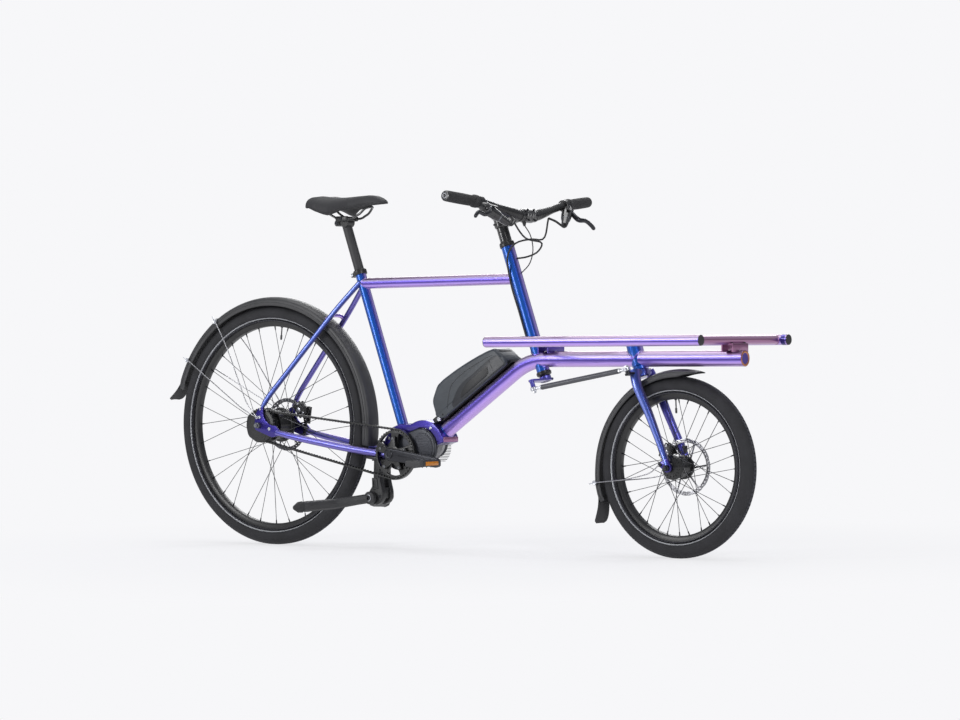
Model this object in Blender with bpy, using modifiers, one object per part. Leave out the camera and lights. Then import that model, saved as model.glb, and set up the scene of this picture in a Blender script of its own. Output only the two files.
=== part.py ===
"""Front-loading electric cargo bicycle, ready for a cargo box, standing on its two wheels.

Metres, +X forwards, +Y to the rider's left, +Z up. The parts are laid out from the point under the
rear axle on the ground, and move_to_origin() then puts the middle of the whole box at x = 0.
"""
import math

import bmesh
import bpy
import numpy as np
from mathutils import Matrix, Vector

# Clearances
GAP = 0.0003
RUN_GAP = 0.0004

# Wheels and tyres
WHEELBASE = 1.466
REAR_BEAD_D = 0.622
FRONT_BEAD_D = 0.406
TYRE_HEIGHT = 0.050
TYRE_WIDTH = 0.050
RIM_WIDTH = 0.0250
RIM_WALL = 0.0018
RIM_HOOK = 0.0060
RIM_DEPTH = 0.0130
SPOKES = 32
SPOKE_D = 0.0018
SPOKE_STAGGER = 0.0021

# Frame angles and tubes
STEER_ANGLE = math.radians(71.0)
SEAT_ANGLE = math.radians(70.8)
BOOM_D = 0.045
BOOM_Z = 0.5555
BOOM_NOSE_LENGTH = 0.357
DOWN_TUBE_ANGLE = math.radians(34.4)
BOOM_BEND_X = 0.958
BOOM_BEND_R = 0.21
DOWN_TUBE_LENGTH = 0.315
STEER_CROSS_X = 0.993
FORK_TRAIL_X = 0.133
STEER_HEAD_D = 0.038
FORK_HEAD_D = 0.045
STEERER_D = 0.0286
STEER_HEAD_TOP = 0.342
STEER_HEAD_BOTTOM = -0.0375
CUP_D = 0.0440
CUP_HEIGHT = 0.0160
LOWER_CUP_HEIGHT = 0.0120
SPACER_D = 0.0340
SEAT_TUBE_D = 0.0318
SEAT_TUBE_X = 0.493
SEAT_TUBE_Z = 0.364
SEAT_TUBE_TOP_Z = 0.822
SEAT_TUBE_BOTTOM_Z = 0.3625
TOP_TUBE_D = 0.0318
TOP_TUBE_REAR_Z = 0.783
TOP_TUBE_FRONT_Z = 0.787
SEAT_STAY_D = 0.0160
CHAIN_STAY_D = 0.0220
STAY_TIP_D = 0.0170
STAY_SHOULDER = (0.2620, 0.0360, 0.7050)
STAY_KNEE = (0.0500, 0.0660, 0.4660)
STAY_END = Vector((0.0120, 0.4150))
STAY_LOW = Vector((0.0200, 0.4270))
CHAIN_STAY_LINE = (
    (0.0700, 0.0735, 0.3400), (0.1400, 0.0685, 0.3255), (0.2900, 0.0570, 0.3005), (0.3700, 0.0450, 0.2880),
    (0.4560, 0.0330, 0.2770),
)

# Bottom bracket, motor and drive
BB_X = 0.505
BB_Z = 0.280
MOTOR_REAR_R = 0.047
MOTOR_FRONT_X = 0.594
MOTOR_FRONT_Z = 0.299
MOTOR_FRONT_R = 0.060
MOTOR_GROOVES = 4
BRACKET_ARCH_R = 0.0757
BRACKET_REAR_LENGTH = 0.0535
MOTOR_WIDTH = 0.088
BRACKET_WIDTH = 0.074
SPINDLE_D = 0.024
BELT_PITCH = 0.011
CHAINRING_TEETH = 42
REAR_TEETH = 26
BELT_WIDTH = 0.0110
BELT_LINE = 0.0540
BELT_BACK = 0.0016
BELT_TOOTH = 0.0026
SPROCKET_TOOTH = 0.0028
CRANK_LENGTH = 0.170
CRANK_PITCH = math.radians(-7.5)
CRANK_FACE = 0.0700
CRANK_THICKNESS = 0.0140
CRANK_EYE_R = 0.0145
PEDAL_LENGTH = 0.096
PEDAL_DEPTH = 0.066
PEDAL_HEIGHT = 0.022
PEDAL_PIN_D = 0.009

# Rear hub, dropouts and brakes
REAR_DROPOUT_FACE = 0.0715
DROPOUT_THICKNESS = 0.0060
AXLE_D = 0.0120
REAR_HUB_R = 0.046
REAR_FLANGE_R = 0.052
REAR_FLANGE_Y = 0.0300
FLANGE_THICKNESS = 0.0080
ACTUATOR_R = 0.0530
ACTUATOR_THICKNESS = 0.0095
ROTOR_R = 0.080
ROTOR_THICKNESS = 0.0020
REAR_ROTOR_Y = 0.0560
FRONT_ROTOR_Y = 0.0385
FRONT_HUB_R = 0.0290
FRONT_FLANGE_R = 0.0340
FRONT_FLANGE_Y = 0.0265
FRONT_DROPOUT_FACE = 0.0500

# Fork
CROWN_TOP = -0.0340
CROWN_HEIGHT = 0.0200
FORK_LEG_Y = 0.0585
FORK_LEG_TOP_D = 0.0290
FORK_LEG_TIP_D = 0.0170
FORK_RAKE = ((0.0670, 0.1470), (0.0330, 0.0670), (0.0110, 0.0220), (0.0, 0.0080))

# Steering linkage
ARM_LENGTH = 0.070
ARM_THICKNESS = 0.0050
ARM_WIDTH = 0.0180
REAR_BALL_Z = 0.472
FRONT_BALL_Z = 0.527
STUD_D = 0.0080
EYE_D = 0.0200
EYE_HEIGHT = 0.0100
TIE_ROD_D = 0.0150

# Load frame
RAIL_D = 0.0300
RAIL_SPACING = 0.444
RAIL_Z = 0.606
RAIL_REAR_X = 0.966
RAIL_OVERHANG = 0.004
CROSSBAR_D = 0.0254
REAR_CROSSBAR_X = 1.0320
FRONT_CROSSBAR_INSET = 0.039
SADDLE_PLATE_WIDTH = 0.118
SADDLE_PLATE_LENGTH = 0.044
SADDLE_PLATE_WALL = 0.0040

# Fenders
REAR_FENDER_GAP = 0.0240
FRONT_FENDER_GAP = 0.0208
FENDER_THICKNESS = 0.0020
FENDER_HALF_WIDTH = 0.0285
FENDER_DROP = 0.0130
REAR_FENDER_START = math.radians(-9.0)
REAR_FENDER_SWEEP = math.radians(172.0)
FRONT_FENDER_START = math.radians(60.0)
FRONT_FENDER_SWEEP = math.radians(140.0)
STAY_WIRE_D = 0.0034
STAY_EYE_R = 0.0056

# Cockpit
BAR_X = 0.927
BAR_Z = 0.967
BAR_CLAMP_D = 0.0318
BAR_END_D = 0.0222
BAR_HALF_WIDTH = 0.345
GRIP_LENGTH = 0.128
GRIP_D = 0.0310
STEM_CLAMP_D = 0.0400
STEM_CLAMP_WIDTH = 0.0460
SPACER_TOP = 0.4010
STEM_HEIGHT = 0.0420
LEVER_PIN_X = 0.0020
HOSE_D = 0.0052
CABLE_D = 0.0032

# Seat
SEAT_POST_D = 0.0286
SEAT_POST_TOP_Z = 0.9560
SEAT_POST_LENGTH = 0.340
SADDLE_REAR_X = 0.168
SADDLE_NOSE_X = 0.443
SADDLE_RAIL_D = 0.0070
SADDLE_RAIL_Z = 0.9710
SADDLE_RAIL_HALF = 0.0220
SADDLE_UNDER_Z = 1.0060
SADDLE_NOSE_UNDER_Z = 1.0120

# Battery, in the frame of the down tube
BATTERY_WIDTH = 0.0880
CRADLE_WIDTH = 0.0440
CRADLE_TOP = 0.0300
BATTERY_S = 0.0110
BATTERY_HINGE_S = 0.0200
BATTERY_HINGE_T = 0.0340

# Centre stand
STAND_PIVOT_X = 0.3960
STAND_PIVOT_Z = 0.1490
STAND_HALF_WIDTH = 0.0360
STAND_FOOT_X = 0.2580
STAND_FOOT_Z = 0.1290
STAND_FOOT_Y = 0.2150
STAND_AXLE_D = 0.0120

# Sides of a circle for the different kinds of pieces
TYRE_STEPS = 36
FRONT_TYRE_STEPS = 28
FINE_STEPS = 18
TUBE_SIDES = 14
SMALL_SIDES = 8
HOSE_SIDES = 7

REAR_R = REAR_BEAD_D / 2 + TYRE_HEIGHT
FRONT_R = FRONT_BEAD_D / 2 + TYRE_HEIGHT
REAR_AXLE = Vector((0.0, 0.0, REAR_R))
FRONT_AXLE = Vector((WHEELBASE, 0.0, FRONT_R))
FRONT_EYELET = (FRONT_AXLE.x - 0.0225, FRONT_AXLE.z + 0.0090)
BB = Vector((BB_X, 0.0, BB_Z))
BRACKET_REAR_X = BB_X - BRACKET_REAR_LENGTH
FORK_CROSS_X = WHEELBASE - FORK_TRAIL_X
BOOM_FRONT_X = FORK_CROSS_X + BOOM_NOSE_LENGTH
RAIL_FRONT_X = BOOM_FRONT_X + RAIL_OVERHANG
FRONT_CROSSBAR_X = RAIL_FRONT_X - FRONT_CROSSBAR_INSET
REAR_FENDER_R = REAR_R + REAR_FENDER_GAP
FRONT_FENDER_R = FRONT_R + FRONT_FENDER_GAP
STEER_UP = Vector((-math.cos(STEER_ANGLE), 0.0, math.sin(STEER_ANGLE)))
SEAT_UP = Vector((-math.cos(SEAT_ANGLE), 0.0, math.sin(SEAT_ANGLE)))
STEER_CROSS = Vector((STEER_CROSS_X, 0.0, BOOM_Z))
FORK_CROSS = Vector((FORK_CROSS_X, 0.0, BOOM_Z))
SIDE = Vector((0.0, -1.0, 0.0))

LOOKS = {
    'paint': ((0.10, 0.09, 0.50), 0.25, 0.8),
    'black': ((0.02, 0.02, 0.022), 0.5, 0.0),
    'rubber': ((0.018, 0.018, 0.02), 0.8, 0.0),
    'steel': ((0.6, 0.6, 0.62), 0.3, 1.0),
    'dark_metal': ((0.10, 0.10, 0.11), 0.45, 0.6),
    'grey_rod': ((0.12, 0.12, 0.13), 0.5, 0.3),
}


def look(name):
    """The Principled material of that name, made once."""
    found = bpy.data.materials.get(name)
    if found:
        return found
    colour, roughness, metallic = LOOKS[name]
    made = bpy.data.materials.new(name)
    made.use_nodes = True
    shader = made.node_tree.nodes['Principled BSDF']
    shader.inputs['Base Color'].default_value = (*colour, 1.0)
    shader.inputs['Roughness'].default_value = roughness
    shader.inputs['Metallic'].default_value = metallic
    return made


def start_scene():
    """Removes what the scene holds and makes the two collections."""
    for old in list(bpy.data.objects):
        bpy.data.objects.remove(old, do_unlink=True)
    for name in ('cargo_bike', 'cutters'):
        made = bpy.data.collections.new(name)
        bpy.context.scene.collection.children.link(made)


def add(name, mesh, finish='black'):
    """Puts a mesh in the scene as one part."""
    part = bpy.data.objects.new(name, mesh)
    bpy.data.collections['cargo_bike'].objects.link(part)
    mesh.materials.clear()
    mesh.materials.append(look(finish))
    return part


def frame_at(centre, z_axis, x_hint=Vector((1.0, 0.0, 0.0))):
    """A placement whose local Z lies along z_axis and whose local X is near x_hint."""
    z = Vector(z_axis).normalized()
    x = Vector(x_hint) - z * Vector(x_hint).dot(z)
    if x.length < 1e-6:
        x = Vector((0.0, 1.0, 0.0)) - z * z.y
    x.normalize()
    y = z.cross(x)
    turn = Matrix((x, y, z)).transposed().to_4x4()
    return Matrix.Translation(Vector(centre)) @ turn


def turned(name, profile, centre, axis, steps=FINE_STEPS, finish='black', closed=False, sweep=None,
           start=0.0):
    """A turned part: a profile of (radius, height) points, outer side from top to bottom."""
    mesh = bpy.data.meshes.new(name)
    count = len(profile)
    edges = [(i, i + 1) for i in range(count - 1)]
    if closed:
        edges.append((count - 1, 0))
    mesh.from_pydata([(r, 0.0, h) for r, h in profile], edges, [])
    part = add(name, mesh, finish)
    part.matrix_world = frame_at(centre, axis) @ Matrix.Rotation(start, 4, 'Z')
    screw = part.modifiers.new('turn', 'SCREW')
    screw.angle = sweep if sweep else 2 * math.pi
    screw.steps = steps
    screw.render_steps = steps
    screw.use_smooth_shade = True
    screw.use_merge_vertices = True
    screw.merge_threshold = 1e-5
    return part


def clear(radius, sides):
    """The corner radius of a many-sided hole whose flat sides stay outside a radius."""
    return radius / math.cos(math.pi / sides)


def room(name, centre, axis, radius, length, sides=TUBE_SIDES):
    """A round cutter that leaves a full radius free on its flat sides too."""
    return cylinder(name, centre, axis, clear(radius, sides), length, sides)


def room_along(name, start, end, radius, sides=TUBE_SIDES):
    """A round cutter from one point to another that leaves a full radius free."""
    return bar(name, start, end, clear(radius, sides), sides)


def cylinder(name, centre, axis, radius, length, sides=TUBE_SIDES, finish='black', bore=0.0):
    """A straight round bar about its centre, or a sleeve where a bore is given."""
    half = length / 2
    if bore:
        bore = clear(bore, sides)
        profile = [(radius, half), (radius, -half), (bore, -half), (bore, half)]
        return turned(name, profile, centre, axis, sides, finish, closed=True)
    profile = [(0.0, half), (radius, half), (radius, -half), (0.0, -half)]
    return turned(name, profile, centre, axis, sides, finish)


def bar(name, start, end, radius, sides=TUBE_SIDES, finish='paint', bore=0.0):
    """A straight round bar from one point to another."""
    start, end = Vector(start), Vector(end)
    return cylinder(name, (start + end) / 2, end - start, radius, (end - start).length, sides, finish, bore)


def box(name, centre, size, finish='black', x_axis=(1, 0, 0), z_axis=(0, 0, 1), bevel=0.0, segments=1):
    """A block, with its edges rounded where a bevel is given."""
    mesh = bpy.data.meshes.new(name)
    work = bmesh.new()
    bmesh.ops.create_cube(work, size=1.0, matrix=Matrix.Diagonal((*size, 1.0)))
    work.to_mesh(mesh)
    work.free()
    part = add(name, mesh, finish)
    part.matrix_world = frame_at(centre, z_axis, Vector(x_axis))
    if bevel:
        round_edges(part, bevel, segments)
    return part


def round_edges(part, width, segments=1, angle=50.0):
    """Rounds the sharp edges of a part."""
    bevel = part.modifiers.new('round', 'BEVEL')
    bevel.width = width
    bevel.segments = segments
    bevel.limit_method = 'ANGLE'
    bevel.angle_limit = math.radians(angle)
    bevel.use_clamp_overlap = True
    return bevel


def curve_mesh(curve, name, place=None):
    """The closed mesh of a curve, as a new part in the curve's place."""
    source = bpy.data.objects.new(name + '_curve', curve)
    bpy.data.collections['cargo_bike'].objects.link(source)
    if place is not None:
        source.matrix_world = place
    bpy.context.view_layer.update()
    evaluated = source.evaluated_get(bpy.context.evaluated_depsgraph_get())
    mesh = bpy.data.meshes.new_from_object(evaluated)
    mesh.name = name
    work = bmesh.new()
    work.from_mesh(mesh)
    bmesh.ops.remove_doubles(work, verts=work.verts, dist=1e-6)
    bmesh.ops.recalc_face_normals(work, faces=work.faces)
    work.to_mesh(mesh)
    work.free()
    matrix = source.matrix_world.copy()
    bpy.data.objects.remove(source, do_unlink=True)
    part = add(name, mesh)
    part.matrix_world = matrix
    return part


def tube(name, points, radius, sides=TUBE_SIDES, finish='paint', radii=None):
    """A round tube or wire along a list of points, closed at both ends."""
    curve = bpy.data.curves.new(name, 'CURVE')
    curve.dimensions = '3D'
    curve.bevel_depth = radius
    curve.bevel_resolution = max(0, (sides - 4) // 2)
    curve.use_fill_caps = True
    spline = curve.splines.new('POLY')
    spline.points.add(len(points) - 1)
    for i, point in enumerate(points):
        spline.points[i].co = (*point, 1.0)
        spline.points[i].radius = radii[i] / radius if radii else 1.0
    part = curve_mesh(curve, name)
    part.data.materials.clear()
    part.data.materials.append(look(finish))
    return part


def plate(name, outline, thickness, place, finish='black', holes=()):
    """A flat part from an outline in the local XY plane, with its holes cut out."""
    curve = bpy.data.curves.new(name, 'CURVE')
    curve.dimensions = '2D'
    curve.fill_mode = 'BOTH'
    curve.extrude = thickness / 2
    for ring in (outline, *holes):
        spline = curve.splines.new('POLY')
        spline.points.add(len(ring) - 1)
        for i, (x, y) in enumerate(ring):
            spline.points[i].co = (x, y, 0.0, 1.0)
        spline.use_cyclic_u = True
    part = curve_mesh(curve, name, place)
    part.data.materials.clear()
    part.data.materials.append(look(finish))
    return part


def side_place(y=0.0, x=0.0, z=0.0):
    """A placement whose local X and Y are the bicycle's X and Z, at a distance across it."""
    return frame_at((x, y, z), SIDE, Vector((1.0, 0.0, 0.0)))


def cut(part, cutter, operation='DIFFERENCE', solver='EXACT'):
    """Cuts or joins a part with another object, which is then only a guide."""
    change = part.modifiers.new(operation.lower(), 'BOOLEAN')
    change.operation = operation
    change.solver = solver
    change.object = cutter
    for group in list(cutter.users_collection):
        group.objects.unlink(cutter)
    bpy.data.collections['cutters'].objects.link(cutter)
    cutter.hide_render = True
    cutter.display_type = 'WIRE'
    return part


def join(part, *others, solver='EXACT'):
    """Joins other solids to a part."""
    for other in others:
        cut(part, other, 'UNION', solver)
    return part


def arc(centre, radius, start, end, count):
    """Points of an arc in a plane, angles in degrees."""
    turn = np.radians(np.linspace(start, end, count))
    return [(centre[0] + radius * math.cos(t), centre[1] + radius * math.sin(t)) for t in turn]


def ring(radius, count, centre=(0.0, 0.0)):
    """Points of a full circle."""
    return arc(centre, radius, 0.0, 360.0, count + 1)[:-1]


def smooth(points, count):
    """Points of a smooth curve through a route's own points."""
    route = [np.array(p, dtype=float) for p in points]
    route = [2 * route[0] - route[1], *route, 2 * route[-1] - route[-2]]
    knots = [0.0]
    for a, b in zip(route, route[1:]):
        knots.append(knots[-1] + max(1e-6, float(np.linalg.norm(b - a))) ** 0.5)
    made = []
    for t in np.linspace(knots[1], knots[-2], count):
        i = min(max(int(np.searchsorted(knots, t, side='right')) - 1, 1), len(route) - 3)
        made.append(smooth_piece(route[i - 1:i + 3], knots[i - 1:i + 3], t))
    return made


def smooth_piece(p, k, t):
    """One point of the stretch between the two middle points of four."""
    a1 = p[0] * (k[1] - t) / (k[1] - k[0]) + p[1] * (t - k[0]) / (k[1] - k[0])
    a2 = p[1] * (k[2] - t) / (k[2] - k[1]) + p[2] * (t - k[1]) / (k[2] - k[1])
    a3 = p[2] * (k[3] - t) / (k[3] - k[2]) + p[3] * (t - k[2]) / (k[3] - k[2])
    b1 = a1 * (k[2] - t) / (k[2] - k[0]) + a2 * (t - k[0]) / (k[2] - k[0])
    b2 = a2 * (k[3] - t) / (k[3] - k[1]) + a3 * (t - k[1]) / (k[3] - k[1])
    return tuple(b1 * (k[2] - t) / (k[2] - k[1]) + b2 * (t - k[1]) / (k[2] - k[1]))


def hull(circles, count):
    """The outline round a few circles, as a rubber band would lie, from their points."""
    points = []
    for (x, y), radius in circles:
        points += ring(radius, count, (x, y))
    points = sorted(set(points))
    sides = []
    for order in (points, points[::-1]):
        half = []
        for p in order:
            while len(half) > 1 and turn_of(half[-2], half[-1], p) <= 0:
                half.pop()
            half.append(p)
        sides += half[:-1]
    return sides


def turn_of(a, b, c):
    """Positive where the way from a over b to c turns left."""
    return (b[0] - a[0]) * (c[1] - b[1]) - (b[1] - a[1]) * (c[0] - b[0])


def on_steer(s):
    """The point on the rear steering axis at a distance s above the boom's middle."""
    return STEER_CROSS + STEER_UP * s


def on_fork(s):
    """The point on the fork's steering axis at a distance s above the boom's middle."""
    return FORK_CROSS + STEER_UP * s


def fork_axis_at(z):
    """The point on the fork's steering axis at a height."""
    return FORK_CROSS + STEER_UP * ((z - BOOM_Z) / STEER_UP.z)


def steer_axis_at(z):
    """The point on the rear steering axis at a height."""
    return STEER_CROSS + STEER_UP * ((z - BOOM_Z) / STEER_UP.z)


def seat_axis_at(z):
    """The point on the seat tube's axis at a height."""
    return Vector((SEAT_TUBE_X, 0.0, SEAT_TUBE_Z)) + SEAT_UP * ((z - SEAT_TUBE_Z) / SEAT_UP.z)


# Frame

DOWN = Vector((-math.cos(DOWN_TUBE_ANGLE), 0.0, -math.sin(DOWN_TUBE_ANGLE)))
BEND_TANGENT = BOOM_BEND_R * math.tan(DOWN_TUBE_ANGLE / 2)
BEND_POINT = Vector((BOOM_BEND_X, 0.0, BOOM_Z))
DOWN_START = BEND_POINT + DOWN * (BEND_TANGENT + DOWN_TUBE_LENGTH)
TUBE_UP = Vector((-math.sin(DOWN_TUBE_ANGLE), 0.0, math.cos(DOWN_TUBE_ANGLE)))


def boom_path(front_x):
    """The middle line of the tube that is down tube and boom in one, from the motor forwards."""
    centre = BEND_POINT + Vector((BEND_TANGENT, 0.0, -BOOM_BEND_R))
    bend = arc((centre.x, centre.z), BOOM_BEND_R, 90.0 + math.degrees(DOWN_TUBE_ANGLE), 90.0, 6)
    return [tuple(DOWN_START), *[(x, 0.0, z) for x, z in bend], (front_x, 0.0, BOOM_Z)]


def build_boom():
    """The main tube up to the fork's head tube, and the head tube with the boom's nose."""
    path = boom_path(FORK_CROSS_X)
    main = tube('main_tube', path, BOOM_D / 2, TUBE_SIDES)
    low, high = on_steer(-0.12), on_steer(0.12)
    cut(main, room_along('steer_head_room', low, high, STEER_HEAD_D / 2 + GAP, FINE_STEPS))
    low, high = on_fork(-0.12), on_fork(0.12)
    cut(main, room_along('fork_head_room', low, high, FORK_HEAD_D / 2 + GAP, FINE_STEPS))
    arch = Vector((MOTOR_FRONT_X, 0.0, MOTOR_FRONT_Z))
    cut(main, room('arch_room', arch, SIDE, BRACKET_ARCH_R + GAP, 2 * BRACKET_WIDTH, 36))
    build_fork_head()


def build_fork_head():
    """The fork's head tube with its headset rings, the boom's nose and its end cap."""
    top, bottom = 0.052, -0.0225
    outer = FORK_HEAD_D / 2
    profile = [
        (0.0, top), (outer - 0.004, top), (outer, top - 0.005), (outer, bottom + 0.001),
        (outer - 0.002, bottom - 0.001), (outer, bottom - 0.003), (outer, bottom - 0.0112),
        (0.0, bottom - 0.0112),
    ]
    head = turned('fork_head_tube', profile, FORK_CROSS, STEER_UP, FINE_STEPS, 'paint')
    nose_start = (FORK_CROSS_X + outer * 0.5, 0.0, BOOM_Z)
    nose = bar('boom_nose', nose_start, (BOOM_FRONT_X, 0.0, BOOM_Z), BOOM_D / 2)
    rim_centre = (BOOM_FRONT_X, 0.0, BOOM_Z)
    groove = cylinder('boom_cap_groove', rim_centre, (1, 0, 0), BOOM_D / 2 - 0.003, 0.004)
    cut(nose, groove)
    join(head, nose)
    cut(head, room_along('fork_bore', on_fork(-0.08), on_fork(0.1), STEERER_D / 2 + RUN_GAP, FINE_STEPS))


def build_head_and_seat_tubes():
    """The rear head tube with its headset rings, the seat tube and the top tube."""
    outer = STEER_HEAD_D / 2
    bore = STEERER_D / 2 + RUN_GAP
    low = STEER_HEAD_BOTTOM
    profile = [
        (bore, STEER_HEAD_TOP + CUP_HEIGHT), (SPACER_D / 2 + 0.001, STEER_HEAD_TOP + CUP_HEIGHT),
        (CUP_D / 2, STEER_HEAD_TOP + CUP_HEIGHT - 0.004), (CUP_D / 2, STEER_HEAD_TOP + 0.002),
        (outer, STEER_HEAD_TOP), (outer, low), (CUP_D / 2, low - 0.002),
        (CUP_D / 2, low - LOWER_CUP_HEIGHT), (CUP_D / 2 - 0.003, low - LOWER_CUP_HEIGHT - 0.002),
        (bore, low - LOWER_CUP_HEIGHT - 0.002),
    ]
    turned('steering_head_tube', profile, STEER_CROSS, STEER_UP, FINE_STEPS, 'paint', closed=True)

    top = seat_axis_at(SEAT_TUBE_TOP_Z)
    bottom = seat_axis_at(SEAT_TUBE_BOTTOM_Z)
    bar('seat_tube', bottom, top, SEAT_TUBE_D / 2, TUBE_SIDES, 'paint', SEAT_POST_D / 2 + GAP)

    rear = seat_axis_at(TOP_TUBE_REAR_Z)
    front = steer_axis_at(TOP_TUBE_FRONT_Z)
    top_tube = bar('top_tube', rear, front, TOP_TUBE_D / 2)
    seat_room = room_along('seat_tube_room', bottom, top + SEAT_UP * 0.1, SEAT_TUBE_D / 2 + GAP, FINE_STEPS)
    head_room = room_along('head_tube_room', on_steer(0.1), on_steer(0.34), STEER_HEAD_D / 2 + GAP,
                           FINE_STEPS)
    cut(top_tube, seat_room)
    cut(top_tube, head_room)

    collar_z = SEAT_TUBE_TOP_Z - 0.0065
    collar = cylinder('seat_clamp', seat_axis_at(collar_z), SEAT_UP, SEAT_TUBE_D / 2 + 0.0042, 0.0150,
                      TUBE_SIDES, 'black', SEAT_TUBE_D / 2 + GAP)
    back = SEAT_UP.cross(Vector((0.0, 1.0, 0.0)))
    if back.x > 0:
        back = -back
    lug_place = seat_axis_at(collar_z) + back * (SEAT_TUBE_D / 2 + 0.0075)
    lug = box('seat_clamp_lug', lug_place, (0.013, 0.018, 0.012), x_axis=back, z_axis=SEAT_UP, bevel=0.0015)
    bolt = cylinder('seat_clamp_bolt', lug_place, (0, 1, 0), 0.0048, 0.0250, SMALL_SIDES)
    join(collar, lug, bolt)


def build_rear_triangle():
    """Seat stays with their bridge, and chain stays with the dropout plates."""
    for side, name in ((-1, 'right'), (1, 'left')):
        stay_points = [
            (0.3290, side * 0.0200, 0.7800), seat_stay_point(STAY_SHOULDER, side),
            seat_stay_point(STAY_KNEE, side),
            (0.0330, side * 0.0695, 0.4460), (STAY_LOW.x, side * 0.0725, STAY_LOW.y),
            (STAY_END.x, side * 0.0740, STAY_END.y),
        ]
        radii = [SEAT_STAY_D / 2] * 5 + [SEAT_STAY_D / 2 * 0.8]
        stay = tube('seat_stay_' + name, stay_points, SEAT_STAY_D / 2, SMALL_SIDES, radii=radii)
        low, high = seat_axis_at(0.5), seat_axis_at(0.9)
        cut(stay, room_along('seat_tube_room_' + name, low, high, SEAT_TUBE_D / 2 + GAP))
        build_chain_stay(side, name)
        if side == 1:
            build_bridge(stay)


def seat_stay_point(point, side):
    """A point of the seat stays on one side of the bicycle."""
    return (point[0], side * point[1], point[2])


def build_bridge(stay):
    """The arched bridge between the seat stays, welded to the left one."""
    at = 0.11
    shoulder, knee = Vector(STAY_SHOULDER), Vector(STAY_KNEE)
    end = shoulder.lerp(knee, at)
    rise = Vector((0.0020, 0.0, 0.0090))
    route = [
        end, Vector((end.x, end.y * 0.6, end.z)) + rise, Vector((end.x, -end.y * 0.6, end.z)) + rise,
        Vector((end.x, -end.y, end.z)),
    ]
    bridge = tube('seat_stay_bridge', smooth(route, 7), 0.0060, SMALL_SIDES)
    start, stop = seat_stay_point(STAY_SHOULDER, -1), seat_stay_point(STAY_KNEE, -1)
    cut(bridge, room_along('right_stay_room', start, stop, SEAT_STAY_D / 2 + GAP, SMALL_SIDES))
    join(stay, bridge)


def dropout_outline():
    """The side view of a dropout plate round the rear axle, hollowed towards the hub's front."""
    x, z = REAR_AXLE.x, REAR_AXLE.z
    down = (STAY_END - STAY_LOW).normalized()
    across = Vector((-down.y, down.x)) * SEAT_STAY_D * 0.52
    seat = STAY_END + down * GAP
    outer = [
        tuple(seat - across), (x - 0.0040, z + 0.0430), (x - 0.0120, z + 0.0320), (x - 0.0150, z + 0.0180),
        *arc((x, z), 0.0175, 160.0, 285.0, 8), (x + 0.0380, z - 0.0310), (x + 0.0760, z - 0.0410),
        (x + 0.0960, z - 0.0350), (x + 0.0960, z - 0.0150), (x + 0.0760, z - 0.0060),
    ]
    hollow = arc((x + 0.0640, z + 0.0500), 0.0490, 262.0, 184.0, 6)
    return [*outer, *hollow, tuple(seat + across)]


def build_chain_stay(side, name):
    """One chain stay with its dropout plate."""
    points = [(x, side * y, z) for x, y, z in CHAIN_STAY_LINE]
    tip, full = STAY_TIP_D / 2, CHAIN_STAY_D / 2
    stay = tube('chain_stay_' + name, points, full, 10, radii=[tip, full * 0.95, full, full, full])
    reach = BB_X - BRACKET_REAR_X + GAP
    cut(stay, box('bracket_room_' + name, (BB_X, 0.0, BB_Z), (2 * reach, 0.2, 0.2)))
    y = side * (REAR_DROPOUT_FACE + DROPOUT_THICKNESS / 2)
    plate_part = plate('dropout_' + name, dropout_outline(), DROPOUT_THICKNESS, side_place(y), 'paint')
    axle_room = room('axle_room_' + name, REAR_AXLE + Vector((0, y, 0)), SIDE, AXLE_D / 2 + GAP, 0.03, 10)
    cut(plate_part, axle_room)
    join(stay, plate_part)


def motor_outline(grow=0.0):
    """The side view of the motor housing: two round bosses and the straight sides between them."""
    rear, front = (BB_X, BB_Z), (MOTOR_FRONT_X, MOTOR_FRONT_Z)
    return hull([(rear, MOTOR_REAR_R + grow), (front, MOTOR_FRONT_R + grow)], 18)


def build_motor():
    """The motor housing with its bearing noses and the cooling grooves on its front."""
    motor = plate('motor', motor_outline(), MOTOR_WIDTH, side_place(), 'dark_metal')
    round_edges(motor, 0.0070, 1, 60.0)
    for i in range(MOTOR_GROOVES):
        turn = math.radians(-58.0 + 68.0 * i / (MOTOR_GROOVES - 1))
        out = Vector((math.cos(turn), 0.0, math.sin(turn)))
        middle = Vector((MOTOR_FRONT_X, 0.0, MOTOR_FRONT_Z)) + out * MOTOR_FRONT_R
        size = (0.0100, MOTOR_WIDTH * 0.66, 0.0036)
        cut(motor, box('motor_groove', middle, size, x_axis=out, z_axis=out.cross(SIDE)))
    for side in (-1, 1):
        nose = cylinder('motor_nose', BB + Vector((0, side * MOTOR_WIDTH / 2, 0)), SIDE, 0.0240, 0.0080)
        join(motor, nose)
    cut(motor, room('spindle_room', BB, SIDE, SPINDLE_D / 2 + RUN_GAP, 0.14))
    build_motor_bracket()


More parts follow.
